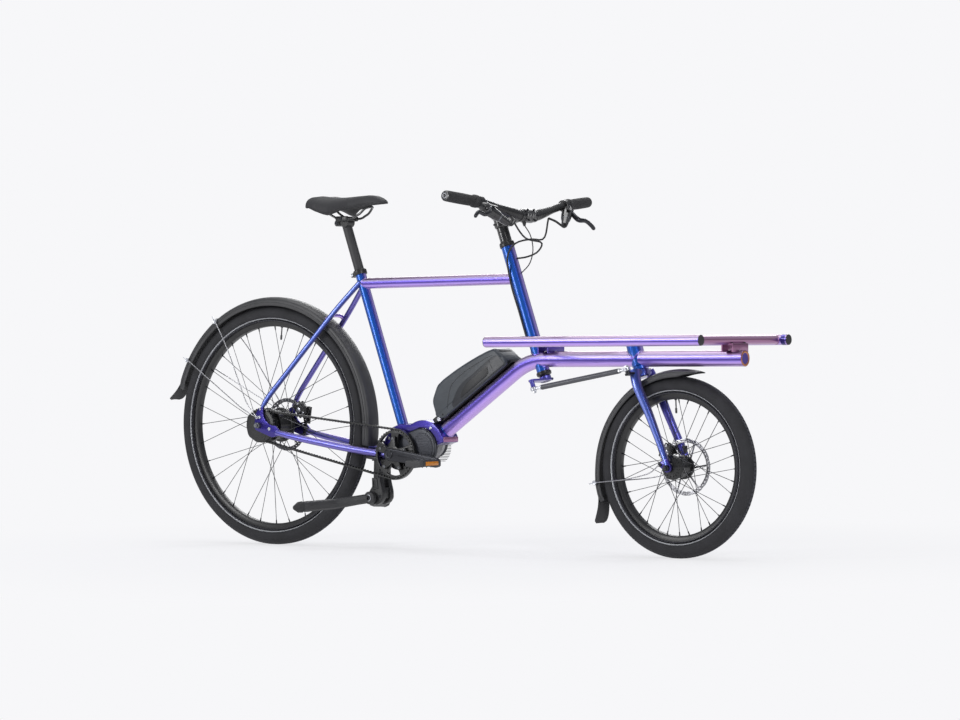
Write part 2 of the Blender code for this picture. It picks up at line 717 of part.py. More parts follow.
def build_motor_bracket():
    """The arched frame bracket that carries the motor, the seat tube and the down tube."""
    foot = seat_axis_at(SEAT_TUBE_BOTTOM_Z) - SEAT_UP * GAP
    across = Vector((math.sin(SEAT_ANGLE), 0.0, math.cos(SEAT_ANGLE))) * (SEAT_TUBE_D / 2 + 0.003)
    seat_back, seat_front = foot - across, foot + across
    x, z = MOTOR_FRONT_X, MOTOR_FRONT_Z
    outline = [
        (BRACKET_REAR_X, BB_Z - 0.0160), (BRACKET_REAR_X, BB_Z + 0.0500),
        (seat_back.x - 0.004, seat_back.z - 0.012), (seat_back.x, seat_back.z), (seat_front.x, seat_front.z),
        *arc((x, z), BRACKET_ARCH_R, 118.0, 20.0, 10), (x + 0.0860, z + 0.0220), (x + 0.1100, z + 0.0160),
        (x + 0.1080, z + 0.0040), (x + 0.0900, z - 0.0030), (x, z), (BB_X, BB_Z - 0.0160),
    ]
    bracket = plate('motor_bracket', outline, BRACKET_WIDTH, side_place(), 'paint')
    cut(bracket, plate('motor_room', motor_outline(3 * GAP), MOTOR_WIDTH * 2, side_place()))



# Load frame

def build_load_frame():
    """The two rails with their end plugs, and the two crossbars that carry them on the boom."""
    for side, name in ((-1, 'right'), (1, 'left')):
        r, half = RAIL_D / 2, (RAIL_FRONT_X - RAIL_REAR_X) / 2
        ends = [(0.0, half), (r - 0.0030, half), (r, half - 0.0030)]
        profile = [*ends, *[(radius, -height) for radius, height in reversed(ends)]]
        centre = ((RAIL_FRONT_X + RAIL_REAR_X) / 2, side * RAIL_SPACING / 2, RAIL_Z)
        turned('rack_rail_' + name, profile, centre, (1, 0, 0), TUBE_SIDES, 'paint')
    for name, x in (('rear', REAR_CROSSBAR_X), ('front', FRONT_CROSSBAR_X)):
        build_crossbar(name, x)


def build_crossbar(name, x):
    """A crossbar between the rails, with the folded saddle plate that stands on the boom."""
    half = RAIL_SPACING / 2
    crossbar = bar('rack_crossbar_' + name, (x, -half, RAIL_Z), (x, half, RAIL_Z), CROSSBAR_D / 2)
    for side in (-1, 1):
        cut(crossbar, room('rail_room', (x, side * half, RAIL_Z), (1, 0, 0), RAIL_D / 2 + GAP, 0.1))
    top = RAIL_Z - CROSSBAR_D / 2 + 0.0035
    low = BOOM_Z + BOOM_D / 2 - 0.0050
    height = top - low
    seat = box('saddle_plate', (x, 0.0, (top + low) / 2), (SADDLE_PLATE_LENGTH, SADDLE_PLATE_WIDTH, height),
               bevel=0.002)
    wall = SADDLE_PLATE_WALL
    hollow = (SADDLE_PLATE_LENGTH - 2 * wall, SADDLE_PLATE_WIDTH + 0.02, height)
    cut(seat, box('saddle_room', (x, 0.0, (top + low) / 2 - wall), hollow))
    cut(seat, room_along('boom_room', (x - 0.1, 0.0, BOOM_Z), (x + 0.1, 0.0, BOOM_Z), BOOM_D / 2 + GAP))
    join(crossbar, seat)


# Wheels

def tyre_profile(bead_r):
    """The outer shape of a tyre on its rim, closed between its beads."""
    half, h = TYRE_WIDTH / 2, TYRE_HEIGHT
    lip = RIM_WIDTH / 2 - RIM_WALL - GAP
    side = [
        (bead_r + GAP, lip), (bead_r + 0.16 * h, lip), (bead_r + 0.45 * h, half),
        (bead_r + 0.74 * h, half * 0.92), (bead_r + 0.95 * h, half * 0.50),
    ]
    return [*side, (bead_r + h, 0.0), *[(r, -y) for r, y in reversed(side)]]


def rim_profile(bead_r):
    """The section of a rim with hooked walls and a well."""
    half = RIM_WIDTH / 2
    return [
        (bead_r + RIM_HOOK, half), (bead_r - RIM_DEPTH, half * 0.80),
        (bead_r - RIM_DEPTH, -half * 0.80), (bead_r + RIM_HOOK, -half),
        (bead_r + RIM_HOOK, -half + RIM_WALL), (bead_r - 0.0040, -half + RIM_WALL),
        (bead_r - 0.0040, half - RIM_WALL), (bead_r + RIM_HOOK, half - RIM_WALL),
    ][::-1]


def build_tyre_and_rim(name, axle, bead_r, steps):
    """A tyre and the rim that it sits on."""
    turned(name + '_tyre', tyre_profile(bead_r), axle, SIDE, steps, 'rubber', closed=True)
    turned(name + '_rim', rim_profile(bead_r), axle, SIDE, steps, 'black', closed=True)


def spokes(name, axle, bead_r, flange_r, flange_y, crosses, rim_steps):
    """All the spokes of a wheel, laced over each other, as one guide for the hub."""
    mesh = bpy.data.meshes.new(name)
    work = bmesh.new()
    rim_r = (bead_r - RIM_DEPTH) * math.cos(math.pi / rim_steps) - GAP
    per_side = SPOKES // 2
    step = 2 * math.pi / per_side
    for side in (-1, 1):
        for j in range(per_side):
            rim_turn = step * (j + 0.25 * (1 + side))
            lead = 1 if j % 2 == 0 else -1
            hub_turn = rim_turn - lead * step * crosses
            near = (flange_r - 0.0025) * Vector((math.cos(hub_turn), math.sin(hub_turn), 0.0))
            near.z = side * flange_y + lead * SPOKE_STAGGER
            far = rim_r * Vector((math.cos(rim_turn), math.sin(rim_turn), 0.0))
            far.z = side * 0.0035 + lead * 0.0016
            add_spoke(work, near, far)
    work.to_mesh(mesh)
    work.free()
    part = add(name, mesh)
    part.matrix_world = frame_at(axle, SIDE)
    return part


def add_spoke(work, near, far):
    """One three-sided spoke from the flange to the rim."""
    along = far - near
    made = bmesh.ops.create_cone(work, cap_ends=True, segments=3, radius1=SPOKE_D / 2 * 1.2,
                                 radius2=SPOKE_D / 2 * 1.2, depth=along.length)
    place = frame_at((near + far) / 2, along, Vector((0.0, 0.0, 1.0)))
    bmesh.ops.transform(work, matrix=place, verts=made['verts'])


def flange(radius, y, core):
    """The two sides of one flange of a hub's profile, from the top side down."""
    half = FLANGE_THICKNESS / 2
    return [(core, y + half), (radius, y + half - 0.001), (radius, y - half + 0.001), (core, y - half)]


def build_hubs():
    """The geared rear hub, the front dynamo hub, their spokes and their brake discs."""
    steps = 14
    bore = clear(AXLE_D / 2 + RUN_GAP, steps)
    right_end = BELT_LINE - BELT_WIDTH / 2 - 0.0010
    rotor_top = -(REAR_ROTOR_Y - ROTOR_THICKNESS / 2 - GAP)
    profile = [
        (bore, right_end), (0.0240, right_end), (0.0260, right_end - 0.006), (REAR_HUB_R - 0.006, 0.0360),
        *flange(REAR_FLANGE_R, REAR_FLANGE_Y, REAR_HUB_R),
        *flange(REAR_FLANGE_R, -REAR_FLANGE_Y, REAR_HUB_R),
        (0.0300, -0.0400), (0.0220, -0.0450), (0.0220, rotor_top), (0.0150, rotor_top),
        (0.0150, -REAR_DROPOUT_FACE + 0.0100), (bore, -REAR_DROPOUT_FACE + 0.0100),
    ]
    hub = turned('rear_hub', profile, REAR_AXLE, SIDE, steps, 'black', closed=True)
    bead_r = REAR_BEAD_D / 2
    join(hub, spokes('rear_spokes', REAR_AXLE, bead_r, REAR_FLANGE_R, REAR_FLANGE_Y, 2, TYRE_STEPS))
    build_rotor('rear_rotor', REAR_AXLE, REAR_ROTOR_Y, 0.0150 + GAP)

    rotor_top = -(FRONT_ROTOR_Y - ROTOR_THICKNESS / 2 - GAP)
    end = FRONT_DROPOUT_FACE - 0.0010
    profile = [
        (bore, end), (0.0120, end), (0.0140, 0.0400), (0.0240, 0.0360), (FRONT_HUB_R, 0.0310),
        *flange(FRONT_FLANGE_R, FRONT_FLANGE_Y, FRONT_HUB_R),
        *flange(FRONT_FLANGE_R, -FRONT_FLANGE_Y, FRONT_HUB_R),
        (0.0220, -0.0320), (0.0220, rotor_top), (0.0150, rotor_top), (0.0150, -end), (bore, -end),
    ]
    hub = turned('front_hub', profile, FRONT_AXLE, SIDE, steps, 'black', closed=True)
    bead_r = FRONT_BEAD_D / 2
    join(hub, spokes('front_spokes', FRONT_AXLE, bead_r, FRONT_FLANGE_R, FRONT_FLANGE_Y, 3,
                     FRONT_TYRE_STEPS))
    build_rotor('front_rotor', FRONT_AXLE, FRONT_ROTOR_Y, 0.0150 + GAP)


def build_rotor(name, axle, y, bore):
    """A brake disc with windows between its arms."""
    windows = [ring(clear(bore, 12), 12)]
    arms = 5
    for i in range(arms):
        start = 360.0 / arms * i
        outer = arc((0, 0), ROTOR_R - 0.0150, start + 14.0, start + 64.0, 4)
        inner = arc((0, 0), 0.0300, start + 44.0, start + 6.0, 2)
        windows.append([*outer, *inner])
    place = frame_at(Vector(axle) + Vector((0.0, y, 0.0)), SIDE)
    plate(name, ring(ROTOR_R, 28), ROTOR_THICKNESS, place, 'steel', windows)


def build_rear_axle():
    """The rear axle with its nuts, and the shift unit that stands still on it."""
    reach = REAR_DROPOUT_FACE + DROPOUT_THICKNESS
    r = AXLE_D / 2
    tip = reach + 0.0150
    nut_in, nut_out = reach + GAP, reach + 0.0095
    top = [(0.0, tip), (r, tip), (r, nut_out), (0.0098, nut_out), (0.0098, nut_in), (r, nut_in)]
    bottom = [(radius, -height) for radius, height in reversed(top)]
    axle = turned('rear_axle', [*top, *bottom], REAR_AXLE, SIDE, 10, 'steel')
    inner = REAR_DROPOUT_FACE - 0.0010 - ACTUATOR_THICKNESS
    outer = REAR_DROPOUT_FACE - 0.0010
    big = ACTUATOR_R
    bore = clear(r + GAP, FINE_STEPS)
    profile = [
        (bore, outer), (big * 0.72, outer), (big * 0.76, outer - 0.0020), (big, outer - 0.0035),
        (big, inner), (bore, inner),
    ]
    turned('shift_actuator', profile, REAR_AXLE, SIDE, FINE_STEPS, 'dark_metal', closed=True)
    return axle


# Belt drive

def pitch_radius(teeth):
    """The pitch radius of a sprocket for the belt."""
    return teeth * BELT_PITCH / (2 * math.pi)


def sprocket_outline(teeth, turn):
    """The toothed outline of a sprocket, one trapezoid for each tooth."""
    tip = pitch_radius(teeth) - BELT_BACK - GAP
    root = tip - SPROCKET_TOOTH
    points = []
    for i in range(teeth):
        middle = turn + 360.0 / teeth * i
        step = 360.0 / teeth
        points += arc((0, 0), tip, middle - step * 0.20, middle + step * 0.20, 2)
        points += arc((0, 0), root, middle + step * 0.50, middle + step * 0.50, 1)
    return points


def belt_lines(radius_front, radius_rear):
    """The belt's wrap angles, in degrees, where it leaves its two sprockets, seen from the right."""
    along = Vector((BB.x - REAR_AXLE.x, BB.z - REAR_AXLE.z))
    slope = math.degrees(math.atan2(along.y, along.x))
    spread = math.degrees(math.acos((radius_rear - radius_front) / along.length))
    return slope + spread, slope - spread


def belt_loop(back):
    """The closed line of the belt at a distance outside its sprockets' pitch circles."""
    rf, rr = pitch_radius(CHAINRING_TEETH) + back, pitch_radius(REAR_TEETH) + back
    upper, lower = belt_lines(rf, rr)
    rear = arc((REAR_AXLE.x, REAR_AXLE.z), rr, upper, lower + 360.0, 14)
    front = arc((BB.x, BB.z), rf, lower, upper, 20)
    return rear, front


def build_belt():
    """The belt round both sprockets, clear of their teeth, and the sprockets."""
    outer_rear, outer_front = belt_loop(BELT_BACK)
    inner_rear, inner_front = belt_loop(0.0 - BELT_BACK + GAP)
    plate('belt', [*outer_rear, *outer_front], BELT_WIDTH, side_place(-BELT_LINE), 'rubber',
          [[*inner_rear, *inner_front]])
    build_sprocket('chainring', CHAINRING_TEETH, BB, 3.0)
    build_sprocket('rear_sprocket', REAR_TEETH, REAR_AXLE, 0.0)


def build_sprocket(name, teeth, centre, turn):
    """A sprocket with windows between its arms."""
    root = pitch_radius(teeth) - BELT_BACK - GAP - SPROCKET_TOOTH
    large = name == 'chainring'
    bore = 0.0180 if large else AXLE_D / 2 + RUN_GAP
    windows = [ring(clear(bore, 12), 12)]
    arms = 5
    outer_r, inner_r = root - 0.0060, bore + (0.0065 if large else 0.0130)
    for i in range(arms):
        start = 360.0 / arms * i + 20.0
        outer = arc((0, 0), outer_r, start + 8.0, start + 54.0, 4)
        windows.append([*outer, *arc((0, 0), inner_r, start + 46.0, start + 18.0, 3)])
    width = BELT_WIDTH - 0.0010
    place = frame_at(Vector(centre) + Vector((0.0, -BELT_LINE, 0.0)), SIDE)
    part = plate(name, sprocket_outline(teeth, turn), width, place, 'dark_metal', windows)
    return part


def crank_tip(side):
    """The middle of the pedal eye of one crank, side -1 for the right one."""
    turn = CRANK_PITCH if side < 0 else CRANK_PITCH + math.pi
    return BB + Vector((math.cos(turn), 0.0, math.sin(turn))) * CRANK_LENGTH


def crank_arm(name, side):
    """A tapered crank arm with its round ends."""
    tip = crank_tip(side)
    outline = hull([((BB.x, BB.z), 0.0190), ((tip.x, tip.z), CRANK_EYE_R)], 18)
    y = side * (CRANK_FACE + CRANK_THICKNESS / 2)
    arm = plate(name, outline, CRANK_THICKNESS, side_place(y), 'dark_metal')
    round_edges(arm, 0.0030, 1, 60.0)
    return arm


def build_cranks():
    """Both crank arms with their pedal pins, the spider and the spindle."""
    face = CRANK_FACE
    pin_start = face + CRANK_THICKNESS - 0.004
    pin_end = face + CRANK_THICKNESS + 0.0040 + PEDAL_LENGTH * 0.86
    right = crank_arm('crank_right', -1)
    spindle = bar('spindle', BB + Vector((0, -face - 0.004, 0)), BB + Vector((0, face + 0.009, 0)),
                  SPINDLE_D / 2, FINE_STEPS)
    join(right, spindle, build_spider())
    left = crank_arm('crank_left', 1)
    cut(left, room('spindle_socket', BB + Vector((0, face, 0)), SIDE, SPINDLE_D / 2 + GAP, 0.0190))
    for side, arm in ((-1, right), (1, left)):
        tip = crank_tip(side)
        pin = bar('pedal_pin', tip + Vector((0, side * pin_start, 0)), tip + Vector((0, side * pin_end, 0)),
                  PEDAL_PIN_D / 2, SMALL_SIDES)
        join(arm, pin)
    for side, name in ((-1, 'right'), (1, 'left')):
        build_pedal(side, name)


def build_spider():
    """The five-armed carrier that holds the chainring on the right crank."""
    inner_face = BELT_LINE + (BELT_WIDTH - 0.0010) / 2 + GAP
    thickness = CRANK_FACE - inner_face + 0.002
    outline = []
    arms = 5
    for i in range(arms):
        start = 360.0 / arms * i + 20.0 - 5.0
        outline += arc((0, 0), 0.0500, start - 7.0, start + 7.0, 2)
        outline += arc((0, 0), 0.0270, start + 24.0, start + 48.0, 2)
    y = -(inner_face + thickness / 2)
    place = frame_at(BB + Vector((0.0, y, 0.0)), SIDE)
    return plate('spider', outline, thickness, place)


def pedal_outline():
    """The outline of a pedal platform from above, its ends rounded."""
    half, depth = PEDAL_LENGTH / 2, PEDAL_DEPTH / 2
    corner = 0.010
    points = []
    for cx, cy, start in ((half, depth, 0), (-half, depth, 90), (-half, -depth, 180), (half, -depth, 270)):
        sx, sy = math.copysign(1, cx), math.copysign(1, cy)
        points += arc((cx - sx * corner, cy - sy * corner), corner, start, start + 90.0, 4)
    return points


def build_pedal(side, name):
    """A platform pedal: a frame round the middle barrel that runs on the pin."""
    start = CRANK_FACE + CRANK_THICKNESS + 0.0060
    centre = crank_tip(side) + Vector((0.0, side * (start + PEDAL_LENGTH / 2), 0.0))
    window_x, window_y = PEDAL_LENGTH / 2 - 0.009, PEDAL_DEPTH / 2 - 0.008
    windows = []
    for sy in (-1, 1):
        low, high = 0.0125, window_y
        for x0, x1 in ((-window_x, -0.004), (0.004, window_x)):
            windows.append([(x0, sy * low), (x1, sy * low), (x1, sy * high), (x0, sy * high)])
    place = frame_at(centre, (0, 0, 1), Vector((0.0, 1.0, 0.0)))
    pedal = plate('pedal_' + name, pedal_outline(), PEDAL_HEIGHT, place, 'black', windows)
    pin_r = PEDAL_PIN_D / 2 + RUN_GAP
    cut(pedal, room('pin_room_' + name, centre, SIDE, pin_r, PEDAL_LENGTH * 1.2, SMALL_SIDES))


# Fork and steering

def build_fork():
    """The fork: steerer, crown, two legs with dropouts, steering arm, stud and front axle."""
    top = 0.062
    profile = [
        (0.0, top), (0.0190, top), (0.0190, top - 0.0085), (STEERER_D / 2, top - 0.0085),
        (STEERER_D / 2, CROWN_TOP),
        (0.0215, CROWN_TOP), (0.0215, CROWN_TOP - CROWN_HEIGHT + 0.003), (0.0190, CROWN_TOP - CROWN_HEIGHT),
        (0.0, CROWN_TOP - CROWN_HEIGHT),
    ]
    fork = turned('fork', profile, FORK_CROSS, STEER_UP, FINE_STEPS, 'paint')
    crown_centre = on_fork(CROWN_TOP - CROWN_HEIGHT / 2)
    crown = box('fork_crown', crown_centre, (0.034, 2 * FORK_LEG_Y - 0.012, CROWN_HEIGHT - 0.002),
                x_axis=(1, 0, 0), z_axis=STEER_UP, bevel=0.006)
    join(fork, crown)
    for side in (-1, 1):
        join(fork, fork_leg(side), fork_dropout(side))
    join(fork, fork_arm())
    build_front_axle(fork)


def fork_leg(side, grow=0.0):
    """One tapered fork leg, curved forwards at its lower end, or the room that it takes up."""
    y = side * FORK_LEG_Y
    shoulder = on_fork(CROWN_TOP - CROWN_HEIGHT / 2 + 0.006)
    knee = on_fork(CROWN_TOP - CROWN_HEIGHT - 0.018)
    points = [
        (shoulder.x, y - side * 0.0160, shoulder.z), (knee.x - 0.001, y - side * 0.0040, knee.z),
        *[(FRONT_AXLE.x - back, y, FRONT_AXLE.z + rise) for back, rise in FORK_RAKE],
    ]
    route = smooth(points, 8)
    heights = [p[2] for p in route][::-1]
    radii = list(np.interp([p[2] for p in route], [heights[0], heights[-1]],
                           [FORK_LEG_TIP_D / 2, FORK_LEG_TOP_D / 2]) + grow)
    return tube('fork_leg', route, FORK_LEG_TOP_D / 2, 10, radii=radii)


def fork_dropout(side):
    """The plate at the end of a fork leg that holds the axle."""
    x, z = FRONT_AXLE.x, FRONT_AXLE.z
    outline = hull([((x, z), 0.0125), ((x - 0.004, z + 0.018), 0.0075), (FRONT_EYELET, 0.0060)], 10)
    outer = FORK_LEG_Y + 0.0020
    thickness = outer - FRONT_DROPOUT_FACE
    y = side * (FRONT_DROPOUT_FACE + thickness / 2)
    return plate('fork_dropout', outline, thickness, side_place(y))


def fork_arm():
    """The steering arm at the crown's right side, with the stud that the tie rod turns on."""
    eye = front_ball()
    root = crown_mid()
    arm_eye = eye - STEER_UP * ((FRONT_BALL_Z - root.z) / STEER_UP.z)
    along = arm_eye - root
    middle = (arm_eye + root) / 2
    arm = box('fork_arm', middle, (along.length + 0.012, ARM_WIDTH, 0.0070), x_axis=along, z_axis=STEER_UP,
              bevel=0.002)
    stud = bar('fork_stud', arm_eye, eye + STEER_UP * (EYE_HEIGHT / 2 + 0.006), STUD_D / 2, SMALL_SIDES)
    collar = bar('fork_stud_collar', arm_eye, eye - STEER_UP * (EYE_HEIGHT / 2 + GAP), STUD_D / 2 + 0.003,
                 SMALL_SIDES)
    join(arm, collar, stud)
    return arm


def crown_mid():
    """The middle of the fork crown."""
    return on_fork(CROWN_TOP - CROWN_HEIGHT / 2)


def rear_ball():
    """The pivot of the tie rod on the steering arm."""
    return steer_axis_at(REAR_BALL_Z) + Vector((0.0, -ARM_LENGTH, 0.0))


def front_ball():
    """The pivot of the tie rod on the fork."""
    return fork_axis_at(FRONT_BALL_Z) + Vector((0.0, -ARM_LENGTH, 0.0))


def build_front_axle(fork):
    """The front axle, held in the fork, with its nuts."""
    outer = FORK_LEG_Y + 0.0020
    r = AXLE_D / 2
    tip, nut = outer + 0.0120, outer + 0.0085
    top = [(0.0, tip), (r, tip), (r, nut), (0.0095, nut), (0.0095, outer - 0.002), (r, outer - 0.002)]
    bottom = [(radius, -height) for radius, height in reversed(top)]
    axle = turned('front_axle', [*top, *bottom], FRONT_AXLE, SIDE, 10)
    join(fork, axle)


def build_tie_rod():
    """The tie rod with an eye at each end."""
    rear, front = rear_ball(), front_ball()
    half = (front - rear).length / 2
    r, neck = TIE_ROD_D / 2, 0.0045
    top = [(0.0, half - 0.0070), (neck, half - 0.0070), (neck, half - 0.0260), (r, half - 0.0270)]
    profile = [*top, *[(radius, -height) for radius, height in reversed(top)]]
    rod = turned('tie_rod', profile, (rear + front) / 2, front - rear, 12, 'grey_rod')
    for ball in (rear, front):
        eye = cylinder('rod_eye', ball, STEER_UP, EYE_D / 2, EYE_HEIGHT, 12)
        join(rod, eye)
    for ball in (rear, front):
        cut(rod, room('rod_eye_bore', ball, STEER_UP, STUD_D / 2 + RUN_GAP, EYE_HEIGHT * 2, 8))


def build_steering_column():
    """The steering column with its spacers, and the clamped arm with its stud below."""
    r = STEERER_D / 2
    cup_top = STEER_HEAD_TOP + CUP_HEIGHT + RUN_GAP
    arm_top = STEER_HEAD_BOTTOM - LOWER_CUP_HEIGHT - 0.002 - RUN_GAP
    arm_low = arm_top - 0.0150
    profile = [
        (0.0, SPACER_TOP + STEM_HEIGHT + 0.002), (r, SPACER_TOP + STEM_HEIGHT + 0.002), (r, SPACER_TOP),
        (SPACER_D / 2, SPACER_TOP), (SPACER_D / 2, cup_top), (r, cup_top), (r, arm_top),
        (SPACER_D / 2, arm_top),
        (SPACER_D / 2, arm_low), (0.0, arm_low),
    ]
    column = turned('steering_column', profile, STEER_CROSS, STEER_UP, 12, 'black')
    ball = rear_ball()
    level = arm_low + ARM_THICKNESS / 2
    eye = on_steer(level) + Vector((0.0, -ARM_LENGTH, 0.0))
    middle = (eye + on_steer(level)) / 2
    arm = box('steering_arm', middle, (ARM_LENGTH + 0.014, ARM_WIDTH, ARM_THICKNESS),
              x_axis=(0, 1, 0), z_axis=STEER_UP, bevel=0.0015)
    stud = bar('arm_stud', eye, ball - STEER_UP * (EYE_HEIGHT / 2 + 0.008), STUD_D / 2, SMALL_SIDES)
    join(column, arm)
    collar = bar('arm_stud_collar', eye, ball + STEER_UP * (EYE_HEIGHT / 2 + GAP), STUD_D / 2 + 0.003,
                 SMALL_SIDES)
    join(column, collar)
    join(column, stud)


def bar_points():
    """The handlebar's middle line from right to left."""
    start = Vector((BAR_X + 0.010, 0.190, BAR_Z + 0.0330))
    end = Vector((BAR_X - 0.006, BAR_HALF_WIDTH, BAR_Z + 0.0490))
    bend = [
        (BAR_X, 0.0, BAR_Z), (BAR_X, 0.030, BAR_Z), (BAR_X + 0.004, 0.075, BAR_Z + 0.0120),
        (BAR_X + 0.010, 0.130, BAR_Z + 0.0270), tuple(start), tuple(start.lerp(end, 0.08)),
    ]
    half = [*smooth(bend, 8), tuple(end)]
    return [(x, -y, z) for x, y, z in half[:0:-1]] + half


def grip_frame(side):
    """The inner and outer ends of a grip's axis."""
    points = [Vector(p) for p in bar_points()]
    end, inner = (points[0], points[1]) if side < 0 else (points[-1], points[-2])
    along = (end - inner).normalized()
    return end - along * GRIP_LENGTH, end


def build_cockpit():
    """Stem, handlebar, grips, brake cylinders and levers."""
    route = bar_points()
    widths = np.interp([abs(p[1]) for p in route], [0.045, 0.11], [BAR_CLAMP_D / 2, BAR_END_D / 2])
    tube('handlebar', route, BAR_CLAMP_D / 2, 10, 'black', list(widths))

    mid = on_steer(SPACER_TOP + GAP + STEM_HEIGHT / 2)
    stem = cylinder('stem', mid, STEER_UP, 0.0185, STEM_HEIGHT - GAP, TUBE_SIDES)
    clamp = cylinder('stem_clamp', (BAR_X, 0.0, BAR_Z), SIDE, STEM_CLAMP_D / 2, STEM_CLAMP_WIDTH, TUBE_SIDES)
    reach = Vector((BAR_X, 0.0, BAR_Z)) - mid
    arm = box('stem_arm', mid + reach * 0.5, (reach.length, 0.030, 0.030), x_axis=reach, z_axis=STEER_UP,
              bevel=0.006)
    join(stem, arm, clamp)
    low, high = on_steer(SPACER_TOP - 0.02), on_steer(SPACER_TOP + STEM_HEIGHT + 0.02)
    cut(stem, room_along('column_room', low, high, STEERER_D / 2 + GAP))
    cut(stem, room('bar_room', (BAR_X, 0.0, BAR_Z), SIDE, BAR_CLAMP_D / 2 + 2 * GAP, 0.1))
    for side, name in ((-1, 'right'), (1, 'left')):
        build_grip(side, name)
        build_brake(side, name)


def build_grip(side, name):
    """A grip with a flange at its inner end and a plug in its outer one."""
    inner, end = grip_frame(side)
    along = (end - inner).normalized()
    length, r = GRIP_LENGTH, GRIP_D / 2
    bore = clear(BAR_END_D / 2 + GAP, 14)
    profile = [
        (0.0, length + 0.0040), (r - 0.004, length + 0.0040), (r, length - 0.001), (r, 0.0160),
        (r + 0.0030, 0.0140), (r + 0.0030, 0.0),
        (bore, 0.0), (bore, length + 0.0005), (0.0, length + 0.0005),
    ]
    turned('grip_' + name, profile, inner, along, 14, 'rubber')


def brake_points(side):
    """Clamp, cylinder's inner end and lever pivot of one brake."""
    inner, end = grip_frame(side)
    along = (end - inner).normalized()
    clamp = inner - along * 0.0120
    pivot = clamp + Vector((0.0300, -side * 0.012, -0.0190))
    tail = clamp + Vector((0.0230, -side * 0.1020, -0.0360))
    return along, clamp, pivot, tail


def build_brake(side, name):
    """The hydraulic brake's clamp and cylinder, and the lever that turns on its pin."""
    along, clamp, pivot, tail = brake_points(side)
    ring_r = 0.0165
    body = cylinder('brake_cylinder_' + name, clamp, along, ring_r, 0.0130, 12)
    out = (pivot - clamp)
    cut_bore = room('bar_room_' + name, clamp, along, BAR_END_D / 2 + GAP, 0.05, 12)
    arm = tube('brake_arm',
               [clamp + out * 0.33, pivot + (tail - pivot) * 0.10, pivot + (tail - pivot) * 0.55, tail],
               0.0100, 8, radii=[0.0075, 0.0100, 0.0100, 0.0070])
    join(body, arm, solver='MANIFOLD')
    cut(body, cut_bore, solver='MANIFOLD')
    lever_up = Vector((0.0, 0.0, 1.0))
    slot = box('lever_slot', pivot + Vector((0.010, side * 0.004, 0.0)), (0.036, 0.030, 0.0086),
               x_axis=(1, 0, 0), z_axis=lever_up)
    cut(body, slot, solver='MANIFOLD')
    pin = cylinder('lever_pin', pivot + Vector((LEVER_PIN_X, 0.0, 0.0)), lever_up, 0.0024, 0.0130, 8)
    join(body, pin, solver='MANIFOLD')
    build_lever(side, name, pivot + Vector((LEVER_PIN_X, 0.0, 0.0)))


def build_lever(side, name, pivot):
    """A brake lever blade with a ball at its end."""
    tip = pivot + Vector((0.0200, side * 0.0840, -0.0160))
    mid = pivot + Vector((0.0240, side * 0.0300, -0.0040))
    points = smooth([pivot + Vector((-0.0020, 0, 0)), pivot + Vector((0.0140, side * 0.0080, 0)), mid, tip],
                    7)
    radii = list(np.interp(range(7), [0, 2, 5, 6], [0.0038, 0.0040, 0.0046, 0.0062]))
    lever = tube('brake_lever_' + name, points, 0.0040, 8, 'black', radii)
    boss = cylinder('lever_boss', pivot, (0, 0, 1), 0.0062, 0.0080, 10)
    join(lever, boss)
    cut(lever, room('pin_room', pivot, (0, 0, 1), 0.0024 + RUN_GAP, 0.03, 8))


# Seat

def build_seat():
    """Seat post with its clamp head, the saddle's rails and the padded saddle."""
    top = seat_axis_at(SEAT_POST_TOP_Z)
    post = bar('seat_post', top - SEAT_UP * SEAT_POST_LENGTH, top, SEAT_POST_D / 2, TUBE_SIDES, 'black')
    head = cylinder('post_head', seat_axis_at(SADDLE_RAIL_Z - 0.012) + Vector((0.006, 0, 0)), SIDE, 0.0150,
                    0.0340, 16)
    cradle_z = SADDLE_RAIL_Z - 0.002
    centre = seat_axis_at(cradle_z)
    cradle = box('rail_cradle', (centre.x + 0.006, 0.0, cradle_z), (0.044, 0.0580, 0.0150), bevel=0.003)
    barrel = cylinder('post_barrel', (centre.x - 0.021, 0.0, cradle_z - 0.0150), SIDE, 0.0105, 0.0300, 14)
    web = box('post_web', (centre.x - 0.010, 0.0, cradle_z - 0.0110), (0.030, 0.024, 0.014), bevel=0.003)
    join(post, head, cradle, web, barrel)
    rails = build_saddle_rails(post, centre.x + 0.006)
    build_saddle()
    return rails


def build_saddle_rails(post, middle_x):
    """The bent wire under the saddle, cut free in the post's cradle."""
    y, z = SADDLE_RAIL_HALF, SADDLE_RAIL_Z
    half = [
        (SADDLE_REAR_X + 0.0480, y + 0.0080, SADDLE_UNDER_Z), (middle_x - 0.0520, y + 0.0010, z + 0.0030),
        (middle_x - 0.0320, y, z), (middle_x + 0.0320, y, z), (middle_x + 0.0560, y - 0.0020, z + 0.0070),
        (SADDLE_NOSE_X - 0.0720, y - 0.0090, SADDLE_NOSE_UNDER_Z - 0.0070),
        (SADDLE_NOSE_X - 0.0560, 0.0060, SADDLE_NOSE_UNDER_Z - 0.0050),
    ]
    other = [(x, -yy, zz) for x, yy, zz in reversed(half)]
    route = smooth([*half, *other], 22)
    rails = tube('saddle_rails', route, SADDLE_RAIL_D / 2, 8, 'steel')
    room = tube('rail_room', route, SADDLE_RAIL_D / 2 + GAP, 8)
    cut(post, room)
    return rails


